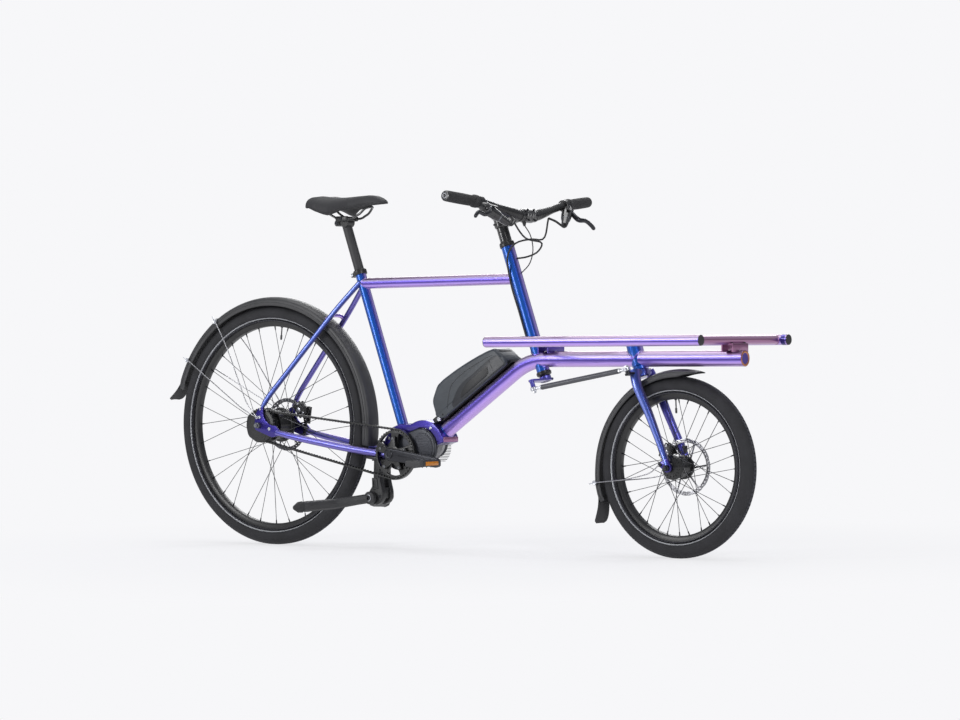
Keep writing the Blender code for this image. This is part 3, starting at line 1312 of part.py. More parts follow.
def saddle_section(t):
    """Half width, crown height, edge height and underside height along the saddle, rear to nose."""
    half = float(np.interp(t, [0.0, 0.06, 0.20, 0.36, 0.55, 0.75, 0.93, 1.0],
                           [0.050, 0.069, 0.077, 0.066, 0.036, 0.0225, 0.0190, 0.0110]))
    crown = float(np.interp(t, [0.0, 0.10, 0.30, 0.55, 0.80, 0.95, 1.0],
                            [1.030, 1.0440, 1.0420, 1.0370, 1.0420, 1.0380, 1.0280]))
    edge = float(np.interp(t, [0.0, 0.15, 0.30, 0.50, 0.75, 1.0],
                           [1.006, 0.996, 0.994, 1.006, 1.018, 1.014]))
    under = float(np.interp(t, [0.0, 0.25, 0.5, 0.8, 1.0], [1.009, 1.008, 1.014, 1.0165, 1.0150]))
    return half, crown, edge, under


def build_saddle():
    """The padded saddle as a loft of rounded sections with drooping sides."""
    mesh = bpy.data.meshes.new('saddle')
    work = bmesh.new()
    rings = []
    stations = [0.0, 0.04, 0.12, 0.22, 0.34, 0.46, 0.58, 0.70, 0.82, 0.92, 1.0]
    for t in stations:
        half, crown, edge, under = saddle_section(t)
        x = SADDLE_REAR_X + t * (SADDLE_NOSE_X - SADDLE_REAR_X)
        drop = crown - edge
        section = [
            (0.0, crown - 0.0015), (0.42 * half, crown), (0.74 * half, crown - 0.14 * drop),
            (0.95 * half, crown - 0.45 * drop), (half, edge + 0.25 * drop), (0.96 * half, edge),
            (0.80 * half, edge + 0.002), (0.45 * half, under),
        ]
        full = [*section, (0.0, under), *[(-y, z) for y, z in section[:0:-1]]]
        rings.append([work.verts.new((x, y, z)) for y, z in full])
    count = len(rings[0])
    for near, far in zip(rings, rings[1:]):
        for i in range(count):
            j = (i + 1) % count
            work.faces.new((near[i], near[j], far[j], far[i]))
    work.faces.new(rings[0])
    work.faces.new(rings[-1])
    bmesh.ops.recalc_face_normals(work, faces=work.faces)
    work.to_mesh(mesh)
    work.free()
    saddle = add('saddle', mesh, 'rubber')
    return saddle


# Battery

def tube_point(s, t):
    """A point beside the down tube: s along it from its foot, t above its middle line."""
    return DOWN_START - DOWN * s + TUBE_UP * t


def tube_place(y=0.0):
    """The placement of outlines drawn along the down tube."""
    return frame_at(DOWN_START + Vector((0.0, y, 0.0)), SIDE, -DOWN)


def build_battery():
    """The battery on the down tube and the cradle that it clips into."""
    low = CRADLE_TOP + GAP
    s0 = BATTERY_S
    outline = [
        (s0 + 0.024, low), (s0 + 0.010, low + 0.015), (s0 + 0.021, low + 0.047), (s0 + 0.040, low + 0.063),
        (s0 + 0.083, low + 0.0765), (s0 + 0.272, low + 0.0665), (s0 + 0.318, low + 0.040),
        (s0 + 0.358, low + 0.008),
        (s0 + 0.352, low),
    ]
    battery = plate('battery', outline, BATTERY_WIDTH, tube_place(), 'black')
    round_edges(battery, 0.0090, 2, 50.0)

    base_low = BOOM_D / 2 + GAP
    base = [(s0 + 0.018, base_low), (s0 + 0.362, base_low), (s0 + 0.362, CRADLE_TOP),
            (s0 + 0.018, CRADLE_TOP)]
    plate('battery_cradle', base, CRADLE_WIDTH, tube_place(), 'black')


# Fenders

def fender_profile(radius):
    """The open section of a fender: a crown with two drawn-down edges."""
    half, drop = FENDER_HALF_WIDTH, FENDER_DROP
    side = [(radius - drop, half), (radius - drop * 0.28, half * 0.76)]
    return [*side, (radius, 0.0), *[(r, -y) for r, y in reversed(side)]]


def fender(name, axle, radius, start, sweep, steps):
    """A fender: its section carried round the wheel, as a thin shell."""
    part = turned(name, fender_profile(radius), axle, SIDE, steps, 'black', sweep=sweep, start=start)
    skin = part.modifiers.new('skin', 'SOLIDIFY')
    skin.thickness = FENDER_THICKNESS
    skin.offset = 1.0
    skin.use_even_offset = True
    return part


def mudflap(axle, radius, turn, length, flare, half, name):
    """A rubber flap that hangs on from the end of a fender."""
    out = Vector((math.cos(turn), 0.0, math.sin(turn)))
    on = Vector((-math.sin(turn), 0.0, math.cos(turn)))
    direction = (on + out * flare).normalized()
    start = Vector(axle) + out * radius - on * 0.016
    place = frame_at(start + direction * (length / 2), direction.cross(Vector((0, 1, 0))), direction)
    corner = 0.012
    end, side = length / 2 - corner, half - corner
    outline = [
        (-length / 2, half * 0.80), (length / 2 - 0.02, half), *arc((end, side), corner, 60.0, 0.0, 3),
        *arc((end, -side), corner, 0.0, -60.0, 3), (length / 2 - 0.02, -half), (-length / 2, -half * 0.80),
    ]
    return plate(name, outline, 0.0026, place)


def build_fenders():
    """Both fenders with their flaps, and the wire stays with the clips round the fenders."""
    rear = fender('rear_fender', REAR_AXLE, REAR_FENDER_R, REAR_FENDER_START, REAR_FENDER_SWEEP, 20)
    end = REAR_FENDER_START + REAR_FENDER_SWEEP
    join(rear, mudflap(REAR_AXLE, REAR_FENDER_R, end, 0.066, 0.42, 0.030, 'rear_mudflap'))
    front = fender('front_fender', FRONT_AXLE, FRONT_FENDER_R, FRONT_FENDER_START, FRONT_FENDER_SWEEP, 15)
    end = FRONT_FENDER_START + FRONT_FENDER_SWEEP
    join(front, mudflap(FRONT_AXLE, FRONT_FENDER_R, end, 0.090, 0.10, 0.030, 'front_mudflap'))
    build_fender_stays()


def stay_wire(name, axle, radius, turn, route):
    """A wire stay: from an eyelet up to the fender, over it in a clip, and down the other side."""
    out = Vector((math.cos(turn), 0.0, math.sin(turn)))
    edge = Vector(axle) + out * (radius - FENDER_DROP)
    over = Vector(axle) + out * (radius + FENDER_THICKNESS + STAY_WIRE_D / 2 + GAP)
    half = FENDER_HALF_WIDTH + FENDER_THICKNESS + STAY_WIRE_D / 2 + 0.0008
    right = [Vector(point) for point in route]
    right.append(edge + Vector((0.0, -half, 0.0)) - out * 0.004)
    right.append(edge + Vector((0.0, -half, 0.0)) + out * 0.0075)
    right.append(over + Vector((0.0, -half * 0.72, 0.0)) - out * 0.0026)
    left = [Vector((p.x, -p.y, p.z)) for p in reversed(right)]
    return tube(name, [tuple(p) for p in [*right, over, *left]], STAY_WIRE_D / 2, 6, 'steel')


def build_fender_stays():
    """The two rear stays, joined at the dropout eyelets, and the front stay."""
    eye_y = REAR_DROPOUT_FACE + DROPOUT_THICKNESS + STAY_WIRE_D / 2 + GAP
    eyelet = (REAR_AXLE.x - 0.0030, -eye_y, REAR_AXLE.z + 0.0235)
    clear_of_plate = (eyelet[0] - 0.0420, eyelet[1], eyelet[2] + 0.0420)
    kink = (-0.1410, -0.0520, 0.5890)
    upper_route = [eyelet, clear_of_plate, kink]
    upper = stay_wire('rear_fender_stays', REAR_AXLE, REAR_FENDER_R, math.radians(123.5), upper_route)
    lower_route = [eyelet, (eyelet[0] - 0.0550, eyelet[1], eyelet[2] + 0.0240)]
    lower = stay_wire('rear_stay_lower', REAR_AXLE, REAR_FENDER_R, math.radians(148.5), lower_route)
    join(upper, lower, solver='MANIFOLD')
    for side in (-1, 1):
        boss = cylinder('stay_eye', (eyelet[0], side * eye_y, eyelet[2]), SIDE, STAY_EYE_R, STAY_WIRE_D,
                        SMALL_SIDES)
        join(upper, boss, solver='MANIFOLD')
    front_y = FORK_LEG_Y + 0.0020 + STAY_WIRE_D / 2 + GAP
    front_eye = (FRONT_EYELET[0], -front_y, FRONT_EYELET[1])
    front_route = [front_eye, (front_eye[0] - 0.0200, front_eye[1], front_eye[2] - 0.0050)]
    front = stay_wire('front_fender_stay', FRONT_AXLE, FRONT_FENDER_R, math.radians(190.0), front_route)
    for side in (-1, 1):
        boss = cylinder('front_stay_eye', (front_eye[0], side * front_y, front_eye[2]), SIDE, STAY_EYE_R,
                        STAY_WIRE_D, SMALL_SIDES)
        join(front, boss)


# Brake calipers

def caliper(name, axle, rotor_y, turn, size):
    """A brake caliper astride the disc's edge, with the slot that the disc runs in."""
    out = Vector((math.cos(turn), 0.0, math.sin(turn)))
    centre = Vector(axle) + out * (ROTOR_R - 0.0060) + Vector((0.0, rotor_y, 0.0))
    body = box(name, centre, size, 'dark_metal', x_axis=(0, 1, 0), z_axis=out, bevel=0.004, segments=2)
    middle = Vector(axle) + Vector((0.0, rotor_y, 0.0))
    cut(body, room(name + '_slot', middle, SIDE, ROTOR_R + 0.0030, ROTOR_THICKNESS + 0.0024, 28))
    return body, centre, out


def build_calipers():
    """The rear caliper on the left dropout and the front one on the left fork leg."""
    turn = math.radians(38.0)
    body, centre, out = caliper('rear_brake_caliper', REAR_AXLE, REAR_ROTOR_Y, turn,
                                (0.0250, 0.0460, 0.0320))
    foot = Vector((0.0880, REAR_DROPOUT_FACE - GAP - 0.0030, 0.3700))
    tab = box('rear_caliper_tab', ((centre.x + foot.x) / 2, foot.y, (centre.z + foot.z) / 2 - 0.004),
              (0.016, 0.006, 0.052),
              x_axis=out, z_axis=(0.15, 0, 1), bevel=0.001)
    join(body, tab)
    turn = math.radians(146.0)
    body, centre, out = caliper('front_brake_caliper', FRONT_AXLE, FRONT_ROTOR_Y, turn,
                                (0.0230, 0.0460, 0.0320))
    reach = Vector((0.0330, 0.0, 0.0060))
    tab = box('front_caliper_tab', (centre.x + reach.x, FRONT_ROTOR_Y + 0.0125, centre.z + reach.z),
              (0.0440, 0.0120, 0.0240), x_axis=(1, 0, 0.1))
    join(body, tab)
    cut(body, fork_leg(1, GAP))


# Centre stand

def build_stand():
    """The stand's bracket below the chain stays, and the two legs on their common axle."""
    pivot = Vector((STAND_PIVOT_X, 0.0, STAND_PIVOT_Z))
    front, rear = Vector(CHAIN_STAY_LINE[-1]), Vector(CHAIN_STAY_LINE[-2])
    along = front - rear
    along.y = 0.0
    under = rear.lerp(front, 0.55) + Vector((0.0, -rear.lerp(front, 0.55).y, -CHAIN_STAY_D / 2 + GAP))
    top_z = under.z - 0.0050
    outline = [
        (pivot.x + 0.0060, top_z), (pivot.x + 0.0420, top_z), (pivot.x + 0.0480, pivot.z + 0.0580),
        (pivot.x + 0.0560, pivot.z + 0.0180), (pivot.x + 0.0530, pivot.z - 0.0030),
        (pivot.x + 0.0420, pivot.z - 0.0150), (pivot.x + 0.0240, pivot.z - 0.0210),
        *arc((pivot.x, pivot.z), 0.0205, -70.0, -200.0, 8), (pivot.x - 0.0080, pivot.z + 0.0360),
    ]
    bracket = plate('kickstand_bracket', outline, 2 * STAND_HALF_WIDTH - 0.017, side_place(), 'black')
    cut(bracket, box('stand_slot', (pivot.x + 0.030, 0.0, pivot.z + 0.0620), (0.08, 0.020, 0.050)))
    cut(bracket, room('stand_axle_room', pivot, SIDE, STAND_AXLE_D / 2 + RUN_GAP, 0.16, 12))
    up = Vector((-along.z, 0.0, along.x)).normalized()
    foot_plate = box('stand_foot', under - up * 0.0050, (0.0560, 0.0900, 0.0094), x_axis=along, z_axis=up)
    join(bracket, foot_plate)

    legs = cylinder('kickstand_legs', pivot, SIDE, STAND_AXLE_D / 2, 2 * STAND_HALF_WIDTH, 12, 'black')
    for side in (-1, 1):
        hub_y = side * (STAND_HALF_WIDTH + 0.0010)
        hub = cylinder('leg_hub', pivot + Vector((0, hub_y, 0)), SIDE, 0.0190, 0.0170, 16)
        foot = Vector((STAND_FOOT_X, side * STAND_FOOT_Y, STAND_FOOT_Z))
        root = pivot + Vector((-0.006, side * (STAND_HALF_WIDTH + 0.0036), -0.002))
        leg = loft_leg(root, foot)
        join(legs, hub, leg, solver='MANIFOLD')


def loft_leg(root, foot):
    """A leg that keeps inside the cranks' path at first, then flares out and widens to its foot."""
    side = math.copysign(1.0, foot.y)
    inner = Vector((STAND_PIVOT_X - 0.0540, side * 0.0570, STAND_PIVOT_Z - 0.0100))
    knee = Vector((STAND_PIVOT_X - 0.0880, side * 0.0800, STAND_PIVOT_Z - 0.0170))
    points = [tuple(root), tuple(inner), tuple(knee), tuple(knee.lerp(foot, 0.75)), tuple(foot)]
    return tube('stand_leg', points, 0.0120, 8, 'black', [0.0100, 0.0105, 0.0115, 0.0145, 0.0095])


# Hoses

def build_hoses():
    """The brake hoses and the display cable, from the levers to where the frame takes them in."""
    forwards = Vector((math.sin(STEER_ANGLE), 0.0, math.cos(STEER_ANGLE)))
    head_front = on_steer(0.300) + forwards * (STEER_HEAD_D / 2)
    _, _, _, tail_right = brake_points(-1)
    _, _, _, tail_left = brake_points(1)
    rear_hose = [
        tail_right + Vector((0.002, 0.0120, -0.0035)), (0.968, -0.0300, 0.9020), (0.992, 0.0150, 0.8880),
        (0.975, 0.0180, 0.8640), (0.945, 0.0080, 0.8500), head_front + forwards * 0.0010,
    ]
    tube('hose_rear_brake', smooth(rear_hose, 23), HOSE_D / 2, HOSE_SIDES, 'rubber')

    beside = (STEER_HEAD_D / 2 + HOSE_D / 2 + GAP) * (Vector((0.0, -0.87, 0.0)) - forwards * 0.5)
    down = [on_steer(s) + beside for s in (0.24, 0.15, 0.09, 0.045)]
    front_hose = [
        tail_left + Vector((0.002, -0.0120, -0.0035)), (0.975, 0.0450, 0.9010), (0.960, 0.0050, 0.9000),
        (0.932, -0.0310, 0.8880), (0.906, -0.0330, 0.8550), *[tuple(p) for p in down],
    ]
    tube('hose_front_brake', smooth(front_hose, 34), HOSE_D / 2, HOSE_SIDES, 'rubber')

    entry = on_steer(0.255) + forwards * (STEER_HEAD_D / 2 + 0.0010)
    cable = [(0.953, -0.0160, 0.9400), (0.975, -0.0180, 0.9120), (0.983, -0.0160, 0.8700),
             (0.965, -0.0080, 0.8300), tuple(entry)]
    tube('display_cable', smooth(cable, 15), CABLE_D / 2, HOSE_SIDES, 'rubber')


def hang(joint, point, *names):
    """Parents moving pieces to an empty that lies on their joint's axis."""
    pivot = bpy.data.objects.new(joint, None)
    pivot.location = point
    bpy.data.collections['cargo_bike'].objects.link(pivot)
    for name in names:
        part = bpy.data.objects[name]
        part.parent = pivot
        part.matrix_parent_inverse = Matrix.Translation(-point)


def hang_moving_pieces():
    """An empty for each joint, with the pieces that turn or slide on it."""
    hang('steering_axis', STEER_CROSS, 'steering_column', 'stem', 'handlebar', 'grip_right', 'grip_left',
         'brake_cylinder_right', 'brake_cylinder_left')
    hang('fork_axis', FORK_CROSS, 'fork', 'front_fender', 'front_fender_stay', 'front_brake_caliper')
    hang('tie_rod_axis', rear_ball(), 'tie_rod')
    hang('front_wheel_axis', FRONT_AXLE, 'front_tyre', 'front_rim', 'front_hub', 'front_rotor')
    hang('rear_wheel_axis', REAR_AXLE, 'rear_tyre', 'rear_rim', 'rear_hub', 'rear_rotor')
    hang('rear_driver_axis', REAR_AXLE, 'rear_sprocket')
    hang('crank_axis', BB, 'crank_right', 'crank_left', 'chainring')
    hang('seat_axis', seat_axis_at(SEAT_TUBE_Z), 'seat_post', 'saddle_rails', 'saddle')
    hang('battery_axis', tube_point(BATTERY_S + BATTERY_HINGE_S, BATTERY_HINGE_T), 'battery')
    hang('kickstand_axis', Vector((STAND_PIVOT_X, 0.0, STAND_PIVOT_Z)), 'kickstand_legs')
    for side, name in ((-1, 'right'), (1, 'left')):
        pivot = brake_points(side)[2] + Vector((LEVER_PIN_X, 0.0, 0.0))
        hang('lever_axis_' + name, pivot, 'brake_lever_' + name)
        hang('pedal_axis_' + name, crank_tip(side), 'pedal_' + name)


def move_to_origin():
    """Shifts everything so that the middle of the bicycle's length lies at x = 0."""
    view = bpy.context.evaluated_depsgraph_get()
    ends = []
    for part in bpy.data.collections['cargo_bike'].objects:
        if part.type == 'MESH':
            solid = part.evaluated_get(view)
            ends += [(solid.matrix_world @ Vector(corner)).x for corner in solid.bound_box]
    shift = (min(ends) + max(ends)) / 2
    for group in ('cargo_bike', 'cutters'):
        for part in bpy.data.collections[group].objects:
            if part.parent is None:
                part.matrix_world = Matrix.Translation((-shift, 0.0, 0.0)) @ part.matrix_world


def main():
    """Builds the whole bicycle."""
    start_scene()
    build_boom()
    build_head_and_seat_tubes()
    build_rear_triangle()
    build_motor()
    build_load_frame()
    build_tyre_and_rim('rear', REAR_AXLE, REAR_BEAD_D / 2, TYRE_STEPS)
    build_tyre_and_rim('front', FRONT_AXLE, FRONT_BEAD_D / 2, FRONT_TYRE_STEPS)
    build_hubs()
    build_rear_axle()
    build_belt()
    build_cranks()
    build_fork()
    build_tie_rod()
    build_steering_column()
    build_cockpit()
    build_seat()
    build_battery()
    build_fenders()
    build_calipers()
    build_stand()
    build_hoses()
    hang_moving_pieces()
    bpy.context.view_layer.update()
    move_to_origin()


main()
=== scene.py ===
"""Looks of the front-loading electric cargo bicycle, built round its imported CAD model.

Points are written in metres from the ground below the rear axle: x forwards, y to the rider's left
and z up. piece() carries each finished mesh over to the CAD model's own frame.
"""
import math

import bmesh
import bpy
import numpy as np
from mathutils import Matrix, Vector


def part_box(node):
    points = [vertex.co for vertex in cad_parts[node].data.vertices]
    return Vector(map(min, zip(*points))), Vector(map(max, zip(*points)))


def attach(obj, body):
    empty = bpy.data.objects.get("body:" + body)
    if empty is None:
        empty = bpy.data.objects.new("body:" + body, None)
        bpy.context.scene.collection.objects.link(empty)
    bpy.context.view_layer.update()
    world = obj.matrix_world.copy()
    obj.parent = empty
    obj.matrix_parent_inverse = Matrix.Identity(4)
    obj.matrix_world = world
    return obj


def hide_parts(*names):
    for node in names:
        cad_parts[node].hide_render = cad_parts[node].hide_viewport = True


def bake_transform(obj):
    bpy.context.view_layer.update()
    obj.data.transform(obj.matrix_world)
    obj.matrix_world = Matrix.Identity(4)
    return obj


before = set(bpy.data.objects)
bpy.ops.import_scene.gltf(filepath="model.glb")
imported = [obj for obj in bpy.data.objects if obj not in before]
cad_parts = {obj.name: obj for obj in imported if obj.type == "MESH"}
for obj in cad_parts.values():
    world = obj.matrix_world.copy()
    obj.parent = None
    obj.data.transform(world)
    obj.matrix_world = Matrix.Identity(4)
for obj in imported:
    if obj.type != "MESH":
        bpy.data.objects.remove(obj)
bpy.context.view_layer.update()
REAR_X = (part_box("rear_tyre")[0][0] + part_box("rear_tyre")[1][0]) / 2
SHIFT = Vector((REAR_X, 0.0, 0.0))
SIDE = Vector((0.0, -1.0, 0.0))
UP = Vector((0.0, 0.0, 1.0))

# The bicycle's main measures, as in its CAD model
REAR_AXLE = Vector((0.0, 0.0, 0.361))
FRONT_AXLE = Vector((1.466, 0.0, 0.253))
REAR_BEAD, FRONT_BEAD = 0.311, 0.203
BB = Vector((0.505, 0.0, 0.280))
STEER_ANGLE = math.radians(71.0)
SEAT_ANGLE = math.radians(70.8)
STEER_UP = Vector((-math.cos(STEER_ANGLE), 0.0, math.sin(STEER_ANGLE)))
SEAT_UP = Vector((-math.cos(SEAT_ANGLE), 0.0, math.sin(SEAT_ANGLE)))
SEAT_FOOT = Vector((0.493, 0.0, 0.364))
BOOM_R, BOOM_Z = 0.0225, 0.5555
SEAT_TUBE_R, HEAD_TUBE_R = 0.0159, 0.0190
SEAT_TUBE_TOP = 0.822
RAIL_Y, RAIL_Z, RAIL_R = 0.222, 0.606, 0.0150
REAR_FENDER_R, FRONT_FENDER_R = 0.3850, 0.2738
STAY_WIRE_R = 0.0017
DROPOUT_Y, FORK_DROPOUT_Y = 0.0715, 0.0545
REAR_DISC_Y, FRONT_DISC_Y = 0.0560, 0.0385
STEM_FOOT = 0.4010
CRANK_LENGTH, CRANK_PITCH = 0.170, math.radians(-7.5)
CHAINRING_TEETH, REAR_TEETH = 42, 26
BELT_PITCH, BELT_Y = 0.011, -0.0540
SADDLE_REAR, SADDLE_LENGTH = 0.168, 0.268
GAP = 0.0003
DOWN_ANGLE = math.radians(34.4)
STEER_CROSS = Vector((0.993, 0.0, BOOM_Z))
FORK_CROSS = Vector((1.333, 0.0, BOOM_Z))
BEND_POINT = Vector((0.958, 0.0, BOOM_Z))
BEND_R = 0.21


# Materials

def node(tree, kind, inputs=None, **settings):
    """Adds a shader node, with its settings and its values or links."""
    made = tree.nodes.new("ShaderNode" + kind)
    for key, value in settings.items():
        setattr(made, key, value)
    for key, value in (inputs or {}).items():
        if isinstance(value, bpy.types.NodeSocket):
            tree.links.new(value, made.inputs[key])
        else:
            made.inputs[key].default_value = value
    return made


def colour(red, green, blue):
    """A linear colour from 8-bit screen values."""
    return tuple(
        ((v / 255 + 0.055) / 1.055) ** 2.4 if v > 10 else v / 255 / 12.92
        for v in (red, green, blue)
    ) + (1.0,)


def ramp(tree, value, stops, smooth=False):
    """A colour ramp through (position, colour) stops."""
    made = node(tree, "ValToRGB", {"Fac": value})
    made.color_ramp.interpolation = "EASE" if smooth else "LINEAR"
    while len(made.color_ramp.elements) < len(stops):
        made.color_ramp.elements.new(0.5)
    for element, (position, tint) in zip(made.color_ramp.elements, stops):
        element.position = position
        element.color = tint
    return made.outputs["Color"]


def maths(tree, operation, *values, clamp=False):
    """The result of a maths node."""
    made = node(tree, "Math", {i: v for i, v in enumerate(values)}, operation=operation, use_clamp=clamp)
    return made.outputs[0]


def noise(tree, scale, detail=4.0, rough=0.55, vector=None):
    """Noise in the object's own coordinates."""
    vector = vector or node(tree, "TexCoord").outputs["Object"]
    made = node(tree, "TexNoise", {"Vector": vector, "Scale": scale, "Detail": detail, "Roughness": rough})
    return made.outputs["Fac"]


def bump(tree, height, distance, strength=1.0, normal=None):
    """A bump from a height."""
    inputs = {"Height": height, "Distance": distance, "Strength": strength}
    if normal:
        inputs["Normal"] = normal
    return node(tree, "Bump", inputs).outputs["Normal"]


def material(name, metallic=0.0, rough=0.5, coat=0.0, coat_rough=0.05, **plain):
    """A new material with its Principled shader, and its node tree."""
    made = bpy.data.materials.new(name)
    made.use_nodes = True
    tree = made.node_tree
    shader = tree.nodes["Principled BSDF"]
    shader.inputs["Metallic"].default_value = metallic
    shader.inputs["Roughness"].default_value = rough
    shader.inputs["Coat Weight"].default_value = coat
    shader.inputs["Coat Roughness"].default_value = coat_rough
    for key, value in plain.items():
        shader.inputs[key.replace("_", " ").title()].default_value = value
    return made, tree, shader


def connect(tree, shader, base=None, rough=None, normal=None):
    """Links the parts of a finish to a Principled shader."""
    for key, value in (("Base Color", base), ("Roughness", rough), ("Normal", normal)):
        if value is not None:
            tree.links.new(value, shader.inputs[key])


def spread(tree, value, low, high):
    """A 0 to 1 value mapped to a range."""
    return node(tree, "MapRange", {"Value": value, "To Min": low, "To Max": high}).outputs["Result"]


def paint(name, axis, stops):
    """Colour-shift metallic paint with painted light: its hue turns with the way that the surface faces,
    and the same ramp paints bright highlight bands and dark reflection bands into its colour.
    """
    made, tree, shader = material(name, metallic=0.80, rough=0.34, coat=0.55, coat_rough=0.10)
    split = node(tree, "SeparateXYZ", {"Vector": node(tree, "TexCoord").outputs["Normal"]})
    facing = split.outputs[axis]
    if axis == "Y":
        facing = maths(tree, "ABSOLUTE", facing)
    else:
        facing = maths(tree, "MULTIPLY_ADD", facing, 0.5, 0.5)
    drift = maths(tree, "MULTIPLY_ADD", noise(tree, 5.0, 1.0), 0.05, -0.025)
    # The ramp's bright stops are painted highlights and its dark stops are painted reflection bands and
    # shade, set by the way the surface faces.
    base = ramp(tree, maths(tree, "ADD", facing, drift), stops)
    connect(
        tree, shader, base, spread(tree, noise(tree, 24.0, 2.0), 0.31, 0.37),
        bump(tree, noise(tree, 70.0, 1.0), 0.00002, 0.1)
    )
    return made


def plastic(name, tone, rough=0.5, grain=900.0, depth=0.00006, tint=(1.0, 1.0, 1.06), coat=0.0):
    """Moulded or coated black: fine grain, worn tone and uneven gloss."""
    made, tree, shader = material(name, rough=rough, coat=coat, coat_rough=0.25)
    cloud = noise(tree, 14.0, 5.0)
    low = tuple(tone * 0.82 * t for t in tint) + (1.0,)
    high = tuple(tone * 1.22 * t for t in tint) + (1.0,)
    base = ramp(tree, cloud, [(0.3, low), (0.7, high)])
    fine = noise(tree, grain, 2.0)
    connect(
        tree, shader, base, spread(tree, cloud, rough - 0.07, rough + 0.07), bump(tree, fine, depth, 0.6)
    )
    return made


def metal(name, tone, rough=0.3, brush=None, metallic=1.0, coat=0.0):
    """Bare or plated metal, brushed along or round an axis where one is given."""
    made, tree, shader = material(name, metallic=metallic, rough=rough, coat=coat)
    vector = node(tree, "TexCoord").outputs["Object"]
    if brush:
        vector = node(tree, "Mapping", {"Vector": vector, "Scale": brush}).outputs["Vector"]
    fine = noise(tree, 60.0 if brush else 420.0, 3.0, 0.6, vector)
    cloud = noise(tree, 22.0, 4.0)
    base = ramp(tree, cloud, [(0.3, tuple(0.88 * t for t in tone) + (1.0,)), (0.7, tuple(tone) + (1.0,))])
    connect(
        tree, shader, base, spread(tree, fine, rough - 0.08, rough + 0.1), bump(tree, fine, 0.00003, 0.35)
    )
    return made


def radius_from(tree, axle):
    """The distance from an axle, seen from the side."""
    split = node(tree, "SeparateXYZ", {"Vector": node(tree, "TexCoord").outputs["Object"]})
    dx = maths(tree, "SUBTRACT", split.outputs["X"], axle.x + REAR_X)
    dz = maths(tree, "SUBTRACT", split.outputs["Z"], axle.z)
    squares = maths(tree, "ADD", maths(tree, "MULTIPLY", dx, dx), maths(tree, "MULTIPLY", dz, dz))
    return maths(tree, "SQRT", squares)


def tyre_rubber(name, axle):
    """Tyre rubber: moulded rings on the sidewall, a dusty bloom, and fine grain."""
    made, tree, shader = material(name, rough=0.78)
    rings = maths(tree, "SINE", maths(tree, "MULTIPLY", radius_from(tree, axle), 3800.0))
    cloud = noise(tree, 26.0, 6.0)
    base = ramp(tree, cloud, [(0.3, (0.012, 0.012, 0.014, 1.0)), (0.72, (0.026, 0.026, 0.030, 1.0))])
    grain = bump(tree, noise(tree, 1500.0, 2.0), 0.00008, 0.5)
    connect(tree, shader, base, spread(tree, cloud, 0.70, 0.86), bump(tree, rings, 0.00007, 0.5, grain))
    return made


# Ramp stops of the frame paints, by the way a surface faces. Each list is the one frame paint as its parts
# show: the hue is the colour-shift paint's own, the bright stops are painted highlights, and the dark stops
# are painted reflection bands and shade.
VIOLET = [
    (0.00, colour(150, 118, 180)), (0.11, colour(198, 166, 232)), (0.25, colour(200, 166, 250)),
    (0.32, colour(172, 144, 238)), (0.39, colour(96, 74, 170)), (0.46, colour(72, 54, 138)),
    (0.54, colour(96, 80, 180)), (0.61, colour(134, 118, 218)), (0.68, colour(188, 174, 246)),
    (0.76, colour(232, 212, 252)), (0.83, colour(154, 132, 166)), (0.90, colour(132, 106, 140)),
    (1.00, colour(150, 118, 150)),
]
BLUE = [
    (0.00, colour(176, 158, 226)), (0.12, colour(180, 160, 240)), (0.34, colour(100, 100, 192)),
    (0.54, colour(20, 48, 132)), (0.72, colour(10, 62, 160)), (0.86, colour(20, 98, 206)),
    (0.95, colour(34, 96, 184)), (1.00, colour(34, 84, 170)),
]
STEEP = [
    (0.00, colour(140, 136, 190)), (0.30, colour(92, 92, 150)), (0.55, colour(44, 54, 130)),
    (0.75, colour(42, 66, 146)), (0.90, colour(86, 110, 204)), (1.00, colour(122, 138, 214)),
]
INDIGO = [
    (0.00, colour(92, 80, 156)), (0.30, colour(128, 118, 204)), (0.48, colour(62, 58, 140)),
    (0.62, colour(84, 84, 176)), (0.82, colour(138, 132, 224)), (1.00, colour(150, 132, 190)),
]
MAUVE = [
    (0.00, colour(168, 118, 166)), (0.35, colour(150, 96, 140)), (0.55, colour(170, 118, 152)),
    (0.80, colour(190, 146, 184)), (1.00, colour(220, 186, 206)),
]
BRACKET = [
    (0.00, colour(52, 38, 112)), (0.40, colour(56, 44, 130)), (0.56, colour(52, 44, 132)),
    (0.80, colour(62, 52, 146)), (1.00, colour(80, 66, 154)),
]
